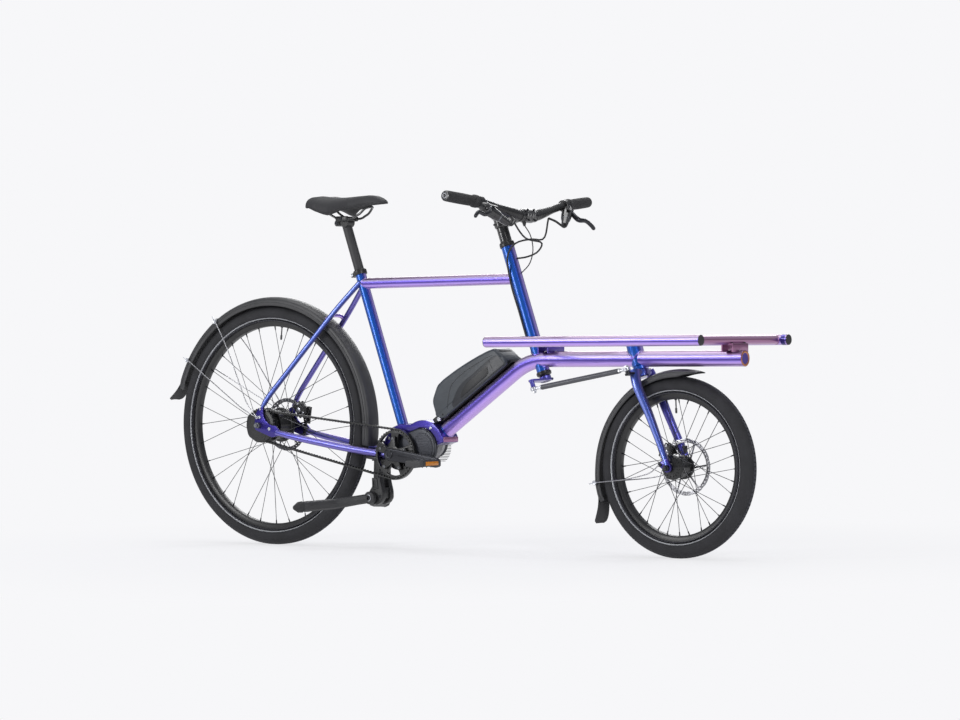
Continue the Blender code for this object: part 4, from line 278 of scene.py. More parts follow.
LOOK = {
    "violet": paint("paint_level_tubes", "Z", VIOLET),
    "blue": paint("paint_steep_tubes", "Y", BLUE),
    "indigo": paint("paint_stays", "Z", INDIGO),
    "steep": paint("paint_fork", "Y", STEEP),
    "mauve": paint("paint_front_crossbar", "Z", MAUVE),
    "bracket": paint("paint_bracket", "Z", BRACKET),
    "satin": plastic("satin_black", 0.015, 0.36, 700.0, 0.00003),
    "matte": plastic("matte_black", 0.034, 0.56),
    "shell": plastic("battery_shell", 0.048, 0.40, 1400.0, 0.00006, (0.84, 1.0, 1.20)),
    "fender": plastic("fender_black", 0.040, 0.46, 500.0, 0.00003),
    "rubber": plastic("soft_rubber", 0.026, 0.72, 1100.0, 0.0001),
    "gloss": plastic("gloss_black", 0.018, 0.22, 300.0, 0.00001, coat=0.6),
    "housing": metal("cast_housing", (0.058, 0.061, 0.070), 0.38, None, 0.7),
    "anodised": metal("black_anodised", (0.040, 0.041, 0.047), 0.30, None, 0.8),
    "rod": metal("rod_sleeve", (0.105, 0.107, 0.118), 0.42, (1.0, 60.0, 60.0), 0.55),
    "wire": metal("spoke_wire", (0.060, 0.060, 0.066), 0.34, None, 0.8),
    "stay_wire": metal("stay_wire", (0.42, 0.42, 0.44), 0.32),
    "disc": metal("brake_disc", (0.36, 0.36, 0.38), 0.32, (1.0, 60.0, 1.0)),
    # A darker copy of the disc steel for the rear disc: painted shade, as that disc sits in shadow behind
    # its hub.
    "disc_in_painted_shade": metal("brake_disc_painted_shade", (0.10, 0.10, 0.11), 0.36, (1.0, 60.0, 1.0)),
    "ring_black": plastic("ring_black", 0.007, 0.34, 500.0, 0.00002, coat=0.2),
    "rear_tyre": tyre_rubber("rear_tyre_rubber", REAR_AXLE),
    "front_tyre": tyre_rubber("front_tyre_rubber", FRONT_AXLE),
}


def bounded(name, tint, rough, metallic):
    """A small plain-coloured finish with a little grain."""
    made, tree, shader = material(name, metallic=metallic, rough=rough)
    cloud = noise(tree, 180.0, 3.0)
    low = tuple(0.86 * t for t in tint[:3]) + (1.0,)
    uneven = spread(tree, cloud, rough - 0.05, rough + 0.08)
    connect(tree, shader, ramp(tree, cloud, [(0.3, low), (0.7, tint)]), uneven)
    LOOK[name] = made


bounded("reflex", colour(206, 208, 212), 0.35, 0.2)
bounded("amber", colour(206, 128, 34), 0.22, 0.0)
bounded("silver", colour(214, 216, 222), 0.28, 0.9)
bounded("cap", colour(196, 132, 96), 0.3, 0.85)
bounded("blade", colour(120, 122, 126), 0.36, 0.75)
bounded("fins", colour(168, 168, 170), 0.38, 0.8)
bounded("ribbed", colour(58, 60, 68), 0.42, 0.35)
# Darker blacks on the battery's sides: the first is painted shade of its recessed side panels; the second
# is painted deeper shade of its inner panels, and is also the black of its seam line and end cap.
bounded("side_panel_painted_shade", colour(32, 35, 42), 0.36, 0.0)
bounded("inner_panel_painted_shade_and_seams", colour(20, 21, 25), 0.42, 0.0)
bounded("tread_dust", colour(62, 62, 68), 0.85, 0.0)
bounded("hose", colour(34, 34, 36), 0.5, 0.0)
bounded("saddle", colour(44, 44, 47), 0.62, 0.0)


# Mesh tools

def frame_at(centre, z_axis, x_hint=Vector((1.0, 0.0, 0.0))):
    """A placement whose local Z lies along z_axis and whose local X is near x_hint."""
    z = Vector(z_axis).normalized()
    x = Vector(x_hint) - z * Vector(x_hint).dot(z)
    if x.length < 1e-6:
        x = Vector((0.0, 1.0, 0.0)) - z * z.y
    x.normalize()
    turn = Matrix((x, z.cross(x), z)).transposed().to_4x4()
    return Matrix.Translation(Vector(centre)) @ turn


def skin(work, rings, closed=True, caps=False, wrap=False):
    """Faces between rings of points; closed joins each ring, wrap joins the last ring to the first."""
    rows = [[work.verts.new(p) for p in ring] for ring in rings]
    pairs = list(zip(rows, rows[1:])) + ([(rows[-1], rows[0])] if wrap else [])
    count = len(rows[0])
    for near, far in pairs:
        for i in range(count if closed else count - 1):
            j = (i + 1) % count
            work.faces.new((near[i], near[j], far[j], far[i]))
    if caps:
        work.faces.new(rows[0][::-1])
        work.faces.new(rows[-1])
    return rows


def lathe(
    work, profile, centre, axis, steps=48, start=0.0, sweep=2 * math.pi, x_hint=Vector((1.0, 0.0, 0.0))
):
    """Turns a profile of (radius, height) about an axis; a full turn closes on itself."""
    place = frame_at(centre, axis, x_hint)
    full = abs(sweep - 2 * math.pi) < 1e-6
    rings = []
    for i in range(steps if full else steps + 1):
        t = start + sweep * i / steps
        c, s = math.cos(t), math.sin(t)
        rings.append([place @ Vector((r * c, r * s, h)) for r, h in profile])
    skin(work, rings, closed=False, wrap=full)
    return place


def rod(work, start, end, radius, sides=24, end_radius=None, round_end=0.0):
    """A straight round bar with flat or slightly rounded ends."""
    start, end = Vector(start), Vector(end)
    length = (end - start).length
    r1 = radius if end_radius is None else end_radius
    e = round_end
    profile = [
        (0.0, 0.0), (radius - e, 0.0), (radius, e), (r1, length - e), (r1 - e, length), (0.0, length)
    ]
    if not e:
        profile = [(0.0, 0.0), (radius, 0.0), (r1, length), (0.0, length)]
    lathe(work, profile, start, end - start, sides)


def sweep(work, points, radii, sides=24, caps=True, flat=1.0, up=None):
    """A tube along points, of one radius or one for each point; flat squeezes it across up."""
    points = [Vector(p) for p in points]
    if not isinstance(radii, (list, tuple, np.ndarray)):
        radii = [radii] * len(points)
    tangents = [
        (points[min(i + 1, len(points) - 1)] - points[max(i - 1, 0)]).normalized()
        for i in range(len(points))
    ]
    across = Vector(up) if up is not None else Vector((0.0, 0.0, 1.0))
    if abs(across.normalized().dot(tangents[0])) > 0.95:
        across = Vector((0.0, 1.0, 0.0))
    rings = []
    for point, tangent, radius in zip(points, tangents, radii):
        across = (across - tangent * across.dot(tangent)).normalized()
        other = tangent.cross(across)
        turns = [2 * math.pi * k / sides for k in range(sides)]
        rings.append(
            [
                point + across * (radius * flat * math.cos(t)) + other * (radius * math.sin(t))
                for t in turns
            ]
        )
    skin(work, rings, caps=caps)
    return rings


def plate(work, outline, thickness, place, holes=(), round_r=0.0, segments=2):
    """A flat piece from an outline in the local XY plane, with holes and rounded edges."""
    curve = bpy.data.curves.new("outline", "CURVE")
    curve.dimensions = "2D"
    curve.fill_mode = "BOTH"
    curve.extrude = max(thickness / 2 - round_r, 1e-5)
    curve.bevel_depth = round_r
    curve.bevel_resolution = segments
    curve.offset = -round_r
    for ring in (outline, *holes):
        spline = curve.splines.new("POLY")
        spline.points.add(len(ring) - 1)
        for i, (x, y) in enumerate(ring):
            spline.points[i].co = (x, y, 0.0, 1.0)
        spline.use_cyclic_u = True
    source = bpy.data.objects.new("outline", curve)
    bpy.context.scene.collection.objects.link(source)
    view = bpy.context.evaluated_depsgraph_get()
    view.update()
    mesh = bpy.data.meshes.new_from_object(source.evaluated_get(view))
    mesh.transform(place)
    work.from_mesh(mesh)
    bmesh.ops.remove_doubles(work, verts=work.verts, dist=1e-6)
    bpy.data.objects.remove(source)
    bpy.data.curves.remove(curve)
    bpy.data.meshes.remove(mesh)


def block(work, centre, size, x_axis=(1, 0, 0), z_axis=(0, 0, 1), round_r=0.0, segments=2, taper=1.0):
    """A block with rounded edges; taper narrows its top."""
    place = frame_at(centre, z_axis, Vector(x_axis))
    part = bmesh.new()
    bmesh.ops.create_cube(part, size=1.0, matrix=Matrix.Diagonal((*size, 1.0)))
    for v in part.verts:
        if v.co.z > 0:
            v.co.x *= taper
            v.co.y *= taper
    if round_r:
        bmesh.ops.bevel(
            part, geom=part.edges[:], offset=round_r, segments=segments, affect="EDGES", profile=0.5
        )
    absorb(work, part, place)


def absorb(work, part, place=None):
    """Adds one bmesh to another."""
    mesh = bpy.data.meshes.new("part")
    if place is not None:
        bmesh.ops.transform(part, matrix=place, verts=part.verts)
    part.to_mesh(mesh)
    part.free()
    work.from_mesh(mesh)
    bpy.data.meshes.remove(mesh)


def bolt(work, centre, axis, radius=0.004, height=0.003, hexagon=False):
    """A bolt head: a button with a socket in it, or a hexagon."""
    if hexagon:
        profile = [(0.0, height), (radius * 0.86, height), (radius, height * 0.84), (radius, 0.0)]
        lathe(work, profile, centre, axis, 6)
        return
    socket, deep = radius * 0.48, height * 0.55
    profile = [
        (0.0, height - deep), (socket, height - deep), (socket, height), (radius * 0.80, height),
        (radius, height * 0.62), (radius, 0.0),
    ]
    lathe(work, profile, centre, axis, 16)


def facing(turn):
    """The direction at an angle in the bicycle's side view."""
    return Vector((math.cos(turn), 0.0, math.sin(turn)))


def round_ways(count, phase=0.0):
    """Evenly spaced directions round an axle."""
    return [facing(2 * math.pi * (k + phase) / count) for k in range(count)]


def sideways(y):
    """A move to the rider's left."""
    return Vector((0.0, y, 0.0))


def arc(centre, radius, start, end, count):
    """Points of an arc in a plane, angles in degrees."""
    turn = np.radians(np.linspace(start, end, count))
    return [(centre[0] + radius * math.cos(t), centre[1] + radius * math.sin(t)) for t in turn]


def ring(radius, count, centre=(0.0, 0.0), start=0.0):
    """Points of a full circle."""
    return arc(centre, radius, start, start + 360.0, count + 1)[:-1]


def smooth(points, count):
    """Points of a smooth curve through a route's own points, as the CAD model spreads them."""
    route = [np.array(p, dtype=float) for p in points]
    route = [2 * route[0] - route[1], *route, 2 * route[-1] - route[-2]]
    knots = [0.0]
    for a, b in zip(route, route[1:]):
        knots.append(knots[-1] + max(1e-6, float(np.linalg.norm(b - a))) ** 0.5)
    made = []
    for t in np.linspace(knots[1], knots[-2], count):
        i = min(max(int(np.searchsorted(knots, t, side="right")) - 1, 1), len(route) - 3)
        made.append(smooth_piece(route[i - 1:i + 3], knots[i - 1:i + 3], t))
    return made


def smooth_piece(p, k, t):
    """One point of the stretch between the two middle points of four."""
    a1 = p[0] * (k[1] - t) / (k[1] - k[0]) + p[1] * (t - k[0]) / (k[1] - k[0])
    a2 = p[1] * (k[2] - t) / (k[2] - k[1]) + p[2] * (t - k[1]) / (k[2] - k[1])
    a3 = p[2] * (k[3] - t) / (k[3] - k[2]) + p[3] * (t - k[2]) / (k[3] - k[2])
    b1 = a1 * (k[2] - t) / (k[2] - k[0]) + a2 * (t - k[0]) / (k[2] - k[0])
    b2 = a2 * (k[3] - t) / (k[3] - k[1]) + a3 * (t - k[1]) / (k[3] - k[1])
    return tuple(b1 * (k[2] - t) / (k[2] - k[1]) + b2 * (t - k[1]) / (k[2] - k[1]))


def hull(circles, count):
    """The outline round a few circles, as a rubber band would lie."""
    points = sorted({p for centre, radius in circles for p in ring(radius, count, centre)})
    sides = []
    for order in (points, points[::-1]):
        half = []
        for p in order:
            while len(half) > 1 and turn_of(half[-2], half[-1], p) <= 0:
                half.pop()
            half.append(p)
        sides += half[:-1]
    return sides


def turn_of(a, b, c):
    """Positive where the way from a over b to c turns left."""
    return (b[0] - a[0]) * (c[1] - b[1]) - (b[1] - a[1]) * (c[0] - b[0])


def piece(name, work, look, body, nodes=(), crease=32.0, finish=None):
    """Makes a mesh into a piece that rides on a body and stands for CAD nodes."""
    bmesh.ops.translate(work, verts=work.verts, vec=SHIFT)
    bmesh.ops.recalc_face_normals(work, faces=work.faces)
    mesh = bpy.data.meshes.new(name)
    work.to_mesh(mesh)
    work.free()
    mesh.materials.append(LOOK[look])
    mesh.shade_smooth()
    mesh.set_sharp_from_angle(angle=math.radians(crease))
    part = bpy.data.objects.new(name, mesh)
    bpy.context.scene.collection.objects.link(part)
    if finish:
        finish(part)
    if body:
        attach(part, body)
    if nodes:
        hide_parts(*nodes)
    return part


def on_steer(s):
    """The point on the rear steering axis at a distance above the boom's middle."""
    return STEER_CROSS + STEER_UP * s


def on_fork(s):
    """The point on the fork's steering axis at a distance above the boom's middle."""
    return FORK_CROSS + STEER_UP * s


def seat_at(z):
    """The point on the seat tube's axis at a height."""
    return SEAT_FOOT + SEAT_UP * ((z - SEAT_FOOT.z) / SEAT_UP.z)


def side_place(y=0.0):
    """A placement whose local X and Y are the bicycle's X and Z."""
    return frame_at((0.0, y, 0.0), SIDE)


# Camera, stage and light

def build_camera():
    """The camera at the photograph's viewing angle."""
    yaw, pitch, roll, focal_px, wide_px = 0.6444, -0.0046, 0.0081, 3571.9, 960
    forward = Vector((-math.sin(yaw) * math.cos(pitch), math.cos(yaw) * math.cos(pitch), math.sin(pitch)))
    right = Vector((math.cos(yaw), math.sin(yaw), 0.0))
    up = right.cross(forward)
    right, up = right * math.cos(roll) - up * math.sin(roll), right * math.sin(roll) + up * math.cos(roll)
    data = bpy.data.cameras.new("camera")
    camera = bpy.data.objects.new("camera", data)
    bpy.context.scene.collection.objects.link(camera)
    camera.matrix_world = Matrix.Translation(Vector((6.994, -8.272, 0.602)) + SHIFT) @ Matrix(
        (right, up, -forward)).transposed().to_4x4()
    data.sensor_width = 36.0
    data.lens = focal_px / wide_px * data.sensor_width
    data.clip_end = 200.0
    bpy.context.scene.camera = camera


BACKDROP = colour(247, 247, 249)


def build_stage():
    """A pale floor that keeps a soft shadow, and a pale world with a studio's bands of light."""
    floor_mesh = bpy.data.meshes.new("floor")
    floor_mesh.from_pydata([(-40, -40, 0), (40, -40, 0), (40, 40, 0), (-40, 40, 0)], [], [(0, 1, 2, 3)])
    floor = bpy.data.objects.new("floor", floor_mesh)
    bpy.context.scene.collection.objects.link(floor)
    made = bpy.data.materials.new("floor_paper")
    made.use_nodes = True
    tree = made.node_tree
    tree.nodes.clear()
    rays = node(tree, "LightPath")
    seen = maths(tree, "MAXIMUM", rays.outputs["Is Camera Ray"], rays.outputs["Is Glossy Ray"])
    seen = maths(tree, "MAXIMUM", seen, rays.outputs["Is Transmission Ray"])
    glow = node(tree, "Emission", {"Color": BACKDROP, "Strength": 1.0})
    flat = node(tree, "BsdfDiffuse", {"Color": (0.80, 0.80, 0.82, 1.0)})
    split = node(tree, "SeparateXYZ", {"Vector": node(tree, "TexCoord").outputs["Object"]})
    from_middle = maths(tree, "SUBTRACT", split.outputs["X"], 0.70 + REAR_X)
    squares = maths(tree, "ADD", maths(tree, "MULTIPLY", from_middle, from_middle),
                    maths(tree, "MULTIPLY", split.outputs["Y"], split.outputs["Y"]))
    away = node(
        tree, "MapRange",
        {
            "Value": maths(tree, "SQRT", squares), "From Min": 0.5, "From Max": 2.1, "To Min": 0.68,
            "To Max": 1.0
        },
        interpolation_type="SMOOTHSTEP"
    ).outputs["Result"]
    mixed = node(
        tree, "MixShader",
        {0: maths(tree, "MULTIPLY", seen, away), 1: flat.outputs[0], 2: glow.outputs[0]}
    )
    out = node(tree, "OutputMaterial", {"Surface": mixed.outputs[0]})
    out.is_active_output = True
    floor.data.materials.append(made)
    build_world()


def build_world():
    """The world: the backdrop to the camera, and to all else a bright ceiling over a dark band."""
    world = bpy.data.worlds.new("studio")
    bpy.context.scene.world = world
    world.use_nodes = True
    tree = world.node_tree
    tree.nodes.clear()
    rays = node(tree, "LightPath")
    way = node(tree, "TexCoord").outputs["Generated"]
    split = node(tree, "SeparateXYZ", {"Vector": way})
    height = maths(tree, "MULTIPLY_ADD", split.outputs["Z"], 0.5, 0.5)
    glow = [
        (0.00, (0.76, 0.79, 0.86, 1)), (0.44, (0.58, 0.61, 0.68, 1)), (0.50, (0.14, 0.15, 0.20, 1)),
        (0.56, (0.19, 0.20, 0.26, 1)), (0.66, (0.90, 0.93, 1.00, 1)), (0.80, (0.72, 0.74, 0.80, 1)),
        (1.00, (0.97, 0.99, 1.0, 1)),
    ]
    studio = node(tree, "Background", {"Color": ramp(tree, height, glow), "Strength": 0.44})
    seen = maths(tree, "MAXIMUM", rays.outputs["Is Camera Ray"], rays.outputs["Is Transmission Ray"])
    paper = node(tree, "Background", {"Color": BACKDROP, "Strength": 1.0})
    mixed = node(tree, "MixShader", {0: seen, 1: studio.outputs[0], 2: paper.outputs[0]})
    out = node(tree, "OutputWorld", {"Surface": mixed.outputs[0]})
    out.is_active_output = True


def build_lights():
    """Soft boxes: one over the bicycle, one at the camera's left, one at its right and one behind."""
    lamps = (
        ("top", (0.5, 0.3, 3.4), (0.5, 0.0, 0.4), 3.2, 1.8, 60.0),
        ("left", (-1.6, -4.2, 1.9), (0.5, 0.0, 0.5), 1.0, 2.6, 92.0),
        ("right", (4.8, -2.4, 1.6), (0.8, 0.0, 0.5), 0.9, 2.6, 70.0),
        ("back", (-1.2, 3.6, 2.4), (0.4, 0.0, 0.6), 2.6, 1.2, 50.0),
    )
    for name, place, target, wide, high, power in lamps:
        data = bpy.data.lights.new(name, "AREA")
        data.shape = "RECTANGLE"
        data.size = wide
        data.size_y = high
        data.energy = power
        lamp = bpy.data.objects.new(name, data)
        bpy.context.scene.collection.objects.link(lamp)
        place = Vector(place) + SHIFT
        lamp.location = place
        lamp.rotation_mode = "QUATERNION"
        lamp.rotation_quaternion = (Vector(target) + SHIFT - place).to_track_quat("-Z", "Y")


# Frame tubes

DOWN = Vector((-math.cos(DOWN_ANGLE), 0.0, -math.sin(DOWN_ANGLE)))
TUBE_UP = Vector((-math.sin(DOWN_ANGLE), 0.0, math.cos(DOWN_ANGLE)))
BEND_TANGENT = BEND_R * math.tan(DOWN_ANGLE / 2)
DOWN_START = BEND_POINT + DOWN * (BEND_TANGENT + 0.315)


def boom_path(front_x):
    """The middle line of the tube that is down tube and boom in one."""
    centre = BEND_POINT + Vector((BEND_TANGENT, 0.0, -BEND_R))
    bend = arc((centre.x, centre.z), BEND_R, 90.0 + math.degrees(DOWN_ANGLE), 90.0, 20)
    return [tuple(DOWN_START), *[(x, 0.0, z) for x, z in bend], (front_x, 0.0, BEND_POINT.z)]


def weld(work, start, along, radius, main_at, main_along, main_radius, bead=0.0021):
    """A weld bead of small ripples where a tube runs into a thicker one."""
    along, main_along = Vector(along).normalized(), Vector(main_along).normalized()
    side = along.cross(main_along)
    if side.length < 1e-3:
        side = Vector((0.0, 1.0, 0.0))
    side.normalize()
    other = along.cross(side)
    line = []
    count = 96
    for k in range(count):
        t = 2 * math.pi * k / count
        base = Vector(start) + side * (radius * math.cos(t)) + other * (radius * math.sin(t))
        gap = base - Vector(main_at)
        flat = gap - main_along * gap.dot(main_along)
        lead = along - main_along * along.dot(main_along)
        a, b, c = lead.dot(lead), 2 * flat.dot(lead), flat.dot(flat) - main_radius ** 2
        root = b * b - 4 * a * c
        if root < 0:
            root = 0.0
        line.append(base + along * ((-b - math.sqrt(root)) / (2 * a)))
    sizes = [bead * (1.0 + 0.16 * math.sin(k * 2.2)) for k in range(count)]
    rings = []
    for k in range(count):
        tangent = (line[(k + 1) % count] - line[k - 1]).normalized()
        out = (line[k] - Vector(start) - along * (line[k] - Vector(start)).dot(along)).normalized()
        out = (out - tangent * out.dot(tangent)).normalized()
        third = tangent.cross(out)
        rings.append(
            [
                line[k] + out * (sizes[k] * 0.62 * math.cos(u)) + third * (sizes[k] * 1.1 * math.sin(u))
                for u in [2 * math.pi * j / 8 for j in range(8)]
            ]
        )
    skin(work, rings, wrap=True)


def build_boom():
    """The boom that is also the down tube, its nose and its cap."""
    work = bmesh.new()
    sweep(work, boom_path(1.333), BOOM_R, 48)
    piece("boom_and_down_tube", work, "violet", "frame", ["main_tube"])
    work = bmesh.new()
    sweep(work, [(1.345, 0.0, BOOM_Z), (1.6885, 0.0, BOOM_Z)], BOOM_R, 48)
    piece("boom_nose", work, "violet", "frame")
    work = bmesh.new()
    place = frame_at((1.6865, 0.0, BOOM_Z), (1, 0, 0), UP)
    absorb(
        work,
        turned_disc(
            [
                (0.0, 0.0018), (0.0150, 0.0018), (0.0165, 0.0030), (0.0195, 0.0034), (0.0215, 0.0026),
                (0.0222, 0.0), (0.0222, -0.004)
            ],
            48
        ),
        place
    )
    piece("boom_cap", work, "cap", "frame")


def build_head_tubes():
    """The fork's head tube, the rear head tube and its headset cups."""
    work = bmesh.new()
    top, low = 0.052, -0.0337
    profile = [
        (0.0147, top), (0.0185, top), (0.0222, top - 0.004), (0.0225, top - 0.006), (0.0225, -0.0200),
        (0.0205, -0.0215), (0.0205, -0.0232), (0.0225, -0.0246), (0.0225, low + 0.002), (0.0205, low),
        (0.0147, low)
    ]
    lathe(work, profile, FORK_CROSS, STEER_UP, 48)
    piece("fork_head", work, "blue", "frame", ["fork_head_tube"])
    work = bmesh.new()
    profile = [(0.0148, 0.342), (HEAD_TUBE_R, 0.342), (HEAD_TUBE_R, -0.0375), (0.0148, -0.0375)]
    lathe(work, profile, STEER_CROSS, STEER_UP, 48)
    piece("rear_head_tube", work, "blue", "frame", ["steering_head_tube"])
    work = bmesh.new()
    for base, sign in ((0.342, 1.0), (-0.0375, -1.0)):
        high = 0.016 if sign > 0 else 0.012
        cup = [
            (0.0147, 0.0), (0.0205, 0.0), (0.0205, 0.0016), (0.0220, 0.0024), (0.0220, high - 0.006),
            (0.0212, high - 0.0052), (0.0212, high - 0.0040), (0.0218, high - 0.003), (0.0180, high),
            (0.0147, high)
        ]
        lathe(work, cup, on_steer(base), STEER_UP * sign, 48)
    piece("headset_cups", work, "satin", "frame")


def build_seat_and_top_tube():
    """The seat tube and the top tube, with the welds between them."""
    work = bmesh.new()
    foot, top = SEAT_TUBE_FOOT, seat_at(SEAT_TUBE_TOP)
    long = (top - foot).length
    lathe(
        work, [(0.0147, 0.0), (SEAT_TUBE_R, 0.0), (SEAT_TUBE_R, long), (0.0147, long)], foot, top - foot,
        48
    )
    piece("seat_tube_skin", work, "blue", "frame", ["seat_tube"])
    work = bmesh.new()
    rear, front = seat_at(0.783), STEER_CROSS + STEER_UP * ((0.787 - BOOM_Z) / STEER_UP.z)
    along = (front - rear).normalized()
    rod(work, rear + along * 0.006, front - along * 0.008, SEAT_TUBE_R, 48)
    piece("top_tube_skin", work, "violet", "frame", ["top_tube"])
    work = bmesh.new()
    weld(work, rear, -along, SEAT_TUBE_R, seat_at(0.5), SEAT_UP, SEAT_TUBE_R)
    piece("weld_seat_cluster", work, "violet", "frame")
    work = bmesh.new()
    weld(work, front, along, SEAT_TUBE_R, STEER_CROSS, STEER_UP, HEAD_TUBE_R)
    piece("weld_top_tube_front", work, "violet", "frame")


def build_head_welds():
    """The welds of both head tubes on the boom."""
    work = bmesh.new()
    weld(work, STEER_CROSS + STEER_UP * 0.1, STEER_UP * -1.0, HEAD_TUBE_R, STEER_CROSS, (1, 0, 0), BOOM_R)
    weld(work, STEER_CROSS - STEER_UP * 0.1, STEER_UP, HEAD_TUBE_R, STEER_CROSS, (1, 0, 0), BOOM_R, 0.0017)
    piece("weld_rear_head", work, "violet", "frame")
    work = bmesh.new()
    weld(work, FORK_CROSS + STEER_UP * 0.1, STEER_UP * -1.0, 0.0226, FORK_CROSS, (1, 0, 0), BOOM_R + 0.0003)
    piece("weld_fork_head", work, "violet", "frame")


def turned_disc(profile, steps):
    """A small turned piece about the local Z axis, as its own bmesh."""
    work = bmesh.new()
    lathe(work, profile, (0, 0, 0), (0, 0, 1), steps)
    return work


# Wheels

def tyre_side(bead):
    """Half of a tyre's section, from its bead to the middle of its tread."""
    shape = [(0.0040, 0.0112), (0.0080, 0.0150), (0.0135, 0.0206), (0.0200, 0.0243), (0.0262, 0.0250),
             (0.0330, 0.0241), (0.0392, 0.0209), (0.0440, 0.0160), (0.0473, 0.0092), (0.0488, 0.0)]
    return [(bead + r, y) for r, y in smooth(shape, 22)]


def tread(work, axle, bead, count):
    """Small raised blocks in staggered rows, out to the shoulders, set off a moulded base."""
    rows = (
        (0.0, 0.0050, 0.0), (0.0092, 0.0036, 0.5), (-0.0092, 0.0036, 0.5), (0.0160, 0.0026, 0.0),
        (-0.0160, 0.0026, 0.0), (0.0212, 0.0020, 0.5), (-0.0212, 0.0020, 0.5)
    )
    side = [(y, r) for r, y in tyre_side(bead)][::-1]
    ys, rs = [p[0] for p in side], [p[1] for p in side]
    place = frame_at(axle, SIDE)

    def spot(turn, y, lift):
        r = float(np.interp(abs(y), ys, rs)) + lift
        return place @ Vector((r * math.cos(turn), r * math.sin(turn), y))

    for y, half, phase in rows:
        lift = 0.0021 if abs(y) < 0.012 else 0.0019
        for k in range(count):
            middle = (k + phase) / count * 2 * math.pi
            wide = 2 * math.pi / count * 0.34
            lean = 0.10 * math.copysign(1.0, y) * wide if y else 0.0
            low, high = [], []
            for dt, dy in ((-1, -1), (1, -1), (1, 1), (-1, 1)):
                turn = middle + dt * wide + (lean * 4 if dy > 0 else -lean * 4)
                low.append(spot(turn + dt * wide * 0.10, y + dy * half * 1.06, -0.0004))
                high.append(spot(turn, y + dy * half, lift))
            rows_made = skin(work, [low, high])
            work.faces.new(rows_made[1])


def build_wheel(name, axle, bead, count):
    """Tyre with its tread and reflective stripes, rim, nipples and valve."""
    body = name + "_wheel"
    side = tyre_side(bead)
    work = bmesh.new()
    lathe(work, [*side, *[(r, -y) for r, y in side[-2::-1]]], axle, SIDE, 200)
    piece(name + "_tyre_casing", work, name + "_tyre", body, [name + "_tyre"], 60.0)
    work = bmesh.new()
    tread(work, axle, bead, count)
    piece(name + "_tread", work, "tread_dust", body, crease=20.0)
    work = bmesh.new()
    for sign in (-1, 1):
        band = [
            (bead + 0.0098, 0.0170), (bead + 0.0101, 0.0178), (bead + 0.0126, 0.0203),
            (bead + 0.0129, 0.0201)
        ]
        lathe(work, [(r, sign * y) for r, y in band], axle, SIDE, 160)
    piece(name + "_reflex_stripe", work, "reflex", body)
    rim = [
        (bead + 0.0060, 0.0125), (bead + 0.0052, 0.0130), (bead - 0.0020, 0.0127), (bead - 0.0090, 0.0112),
        (bead - 0.0122, 0.0088), (bead - 0.0130, 0.0050), (bead - 0.0130, 0.0),
    ]
    work = bmesh.new()
    full = [*rim, *[(r, -y) for r, y in rim[-2::-1]], (bead + 0.0050, -0.0112), (bead + 0.0050, 0.0112)]
    lathe(work, [*full, full[0]], axle, SIDE, 160)
    bmesh.ops.remove_doubles(work, verts=work.verts, dist=1e-6)
    piece(name + "_rim_hoop", work, "satin", body, [name + "_rim"])
    build_spokes(name, axle, bead, body)
    build_valve(name, axle, bead, body)


def build_spokes(name, axle, bead, body):
    """Thirty-two laced spokes with their elbows and nipples."""
    flange_r, flange_y, crosses = (0.052, 0.030, 2) if name == "rear" else (0.034, 0.0265, 3)
    place = frame_at(axle, SIDE)
    wires, nipples = bmesh.new(), bmesh.new()
    per_side = 16
    step = 2 * math.pi / per_side
    rim_r = bead - 0.0128
    for side in (-1, 1):
        for j in range(per_side):
            rim_turn = step * (j + 0.25 * (1 + side))
            lead = 1 if j % 2 == 0 else -1
            hub_turn = rim_turn - lead * step * crosses
            near = (flange_r - 0.0030) * Vector((math.cos(hub_turn), math.sin(hub_turn), 0.0))
            near.z = side * flange_y + lead * 0.0024
            far = rim_r * Vector((math.cos(rim_turn), math.sin(rim_turn), 0.0))
            far.z = side * 0.0035
            along = (far - near).normalized()
            head = Vector((near.x, near.y, side * flange_y - lead * 0.0030))
            route = [head, near - along * 0.0005, near + along * 0.0030, near.lerp(far, 0.5), far]
            sweep(wires, [place @ p for p in route], 0.00095, 6)
            rod(nipples, place @ (far - along * 0.0105), place @ (far + along * 0.0010), 0.0017, 8, 0.0021)
            rod(nipples, place @ (head - Vector((0, 0, lead * 0.0010))), place @ head, 0.0022, 8, 0.0016)
    piece(name + "_spokes", wires, "wire", body)
    piece(name + "_nipples", nipples, "anodised", body)


def build_valve(name, axle, bead, body):
    """The valve stem with its cap."""
    turn = math.radians(84.0 if name == "rear" else 92.2)
    out = facing(turn)
    base = axle + out * (bead - 0.0125)
    work = bmesh.new()
    profile = [(0.0, -0.040), (0.0022, -0.040), (0.0032, -0.037), (0.0032, -0.026), (0.0020, -0.025),
               (0.0020, -0.003), (0.0042, -0.0028), (0.0042, 0.001)]
    lathe(work, profile, base, out, 14)
    piece(name + "_valve", work, "gloss", body)


# Fenders

def fender_ring(drop):
    """The section of a fender: a soft crown, straight sides with rolled edges, and its inner side."""
    half = [
        (-drop, 0.0288), (-drop + 0.0028, 0.0290), (-0.0090, 0.0282), (-0.0046, 0.0252),
        (-0.0014, 0.0180), (0.0006, 0.0095), (0.0010, 0.0)
    ]
    top = [(r + 0.0012, y) for r, y in smooth(half, 18)]
    outer = [*top, *[(r, -y) for r, y in top[-2::-1]]]
    inner = [(r - 0.0018, y * 0.955) for r, y in reversed(outer)]
    return [*outer, *inner]


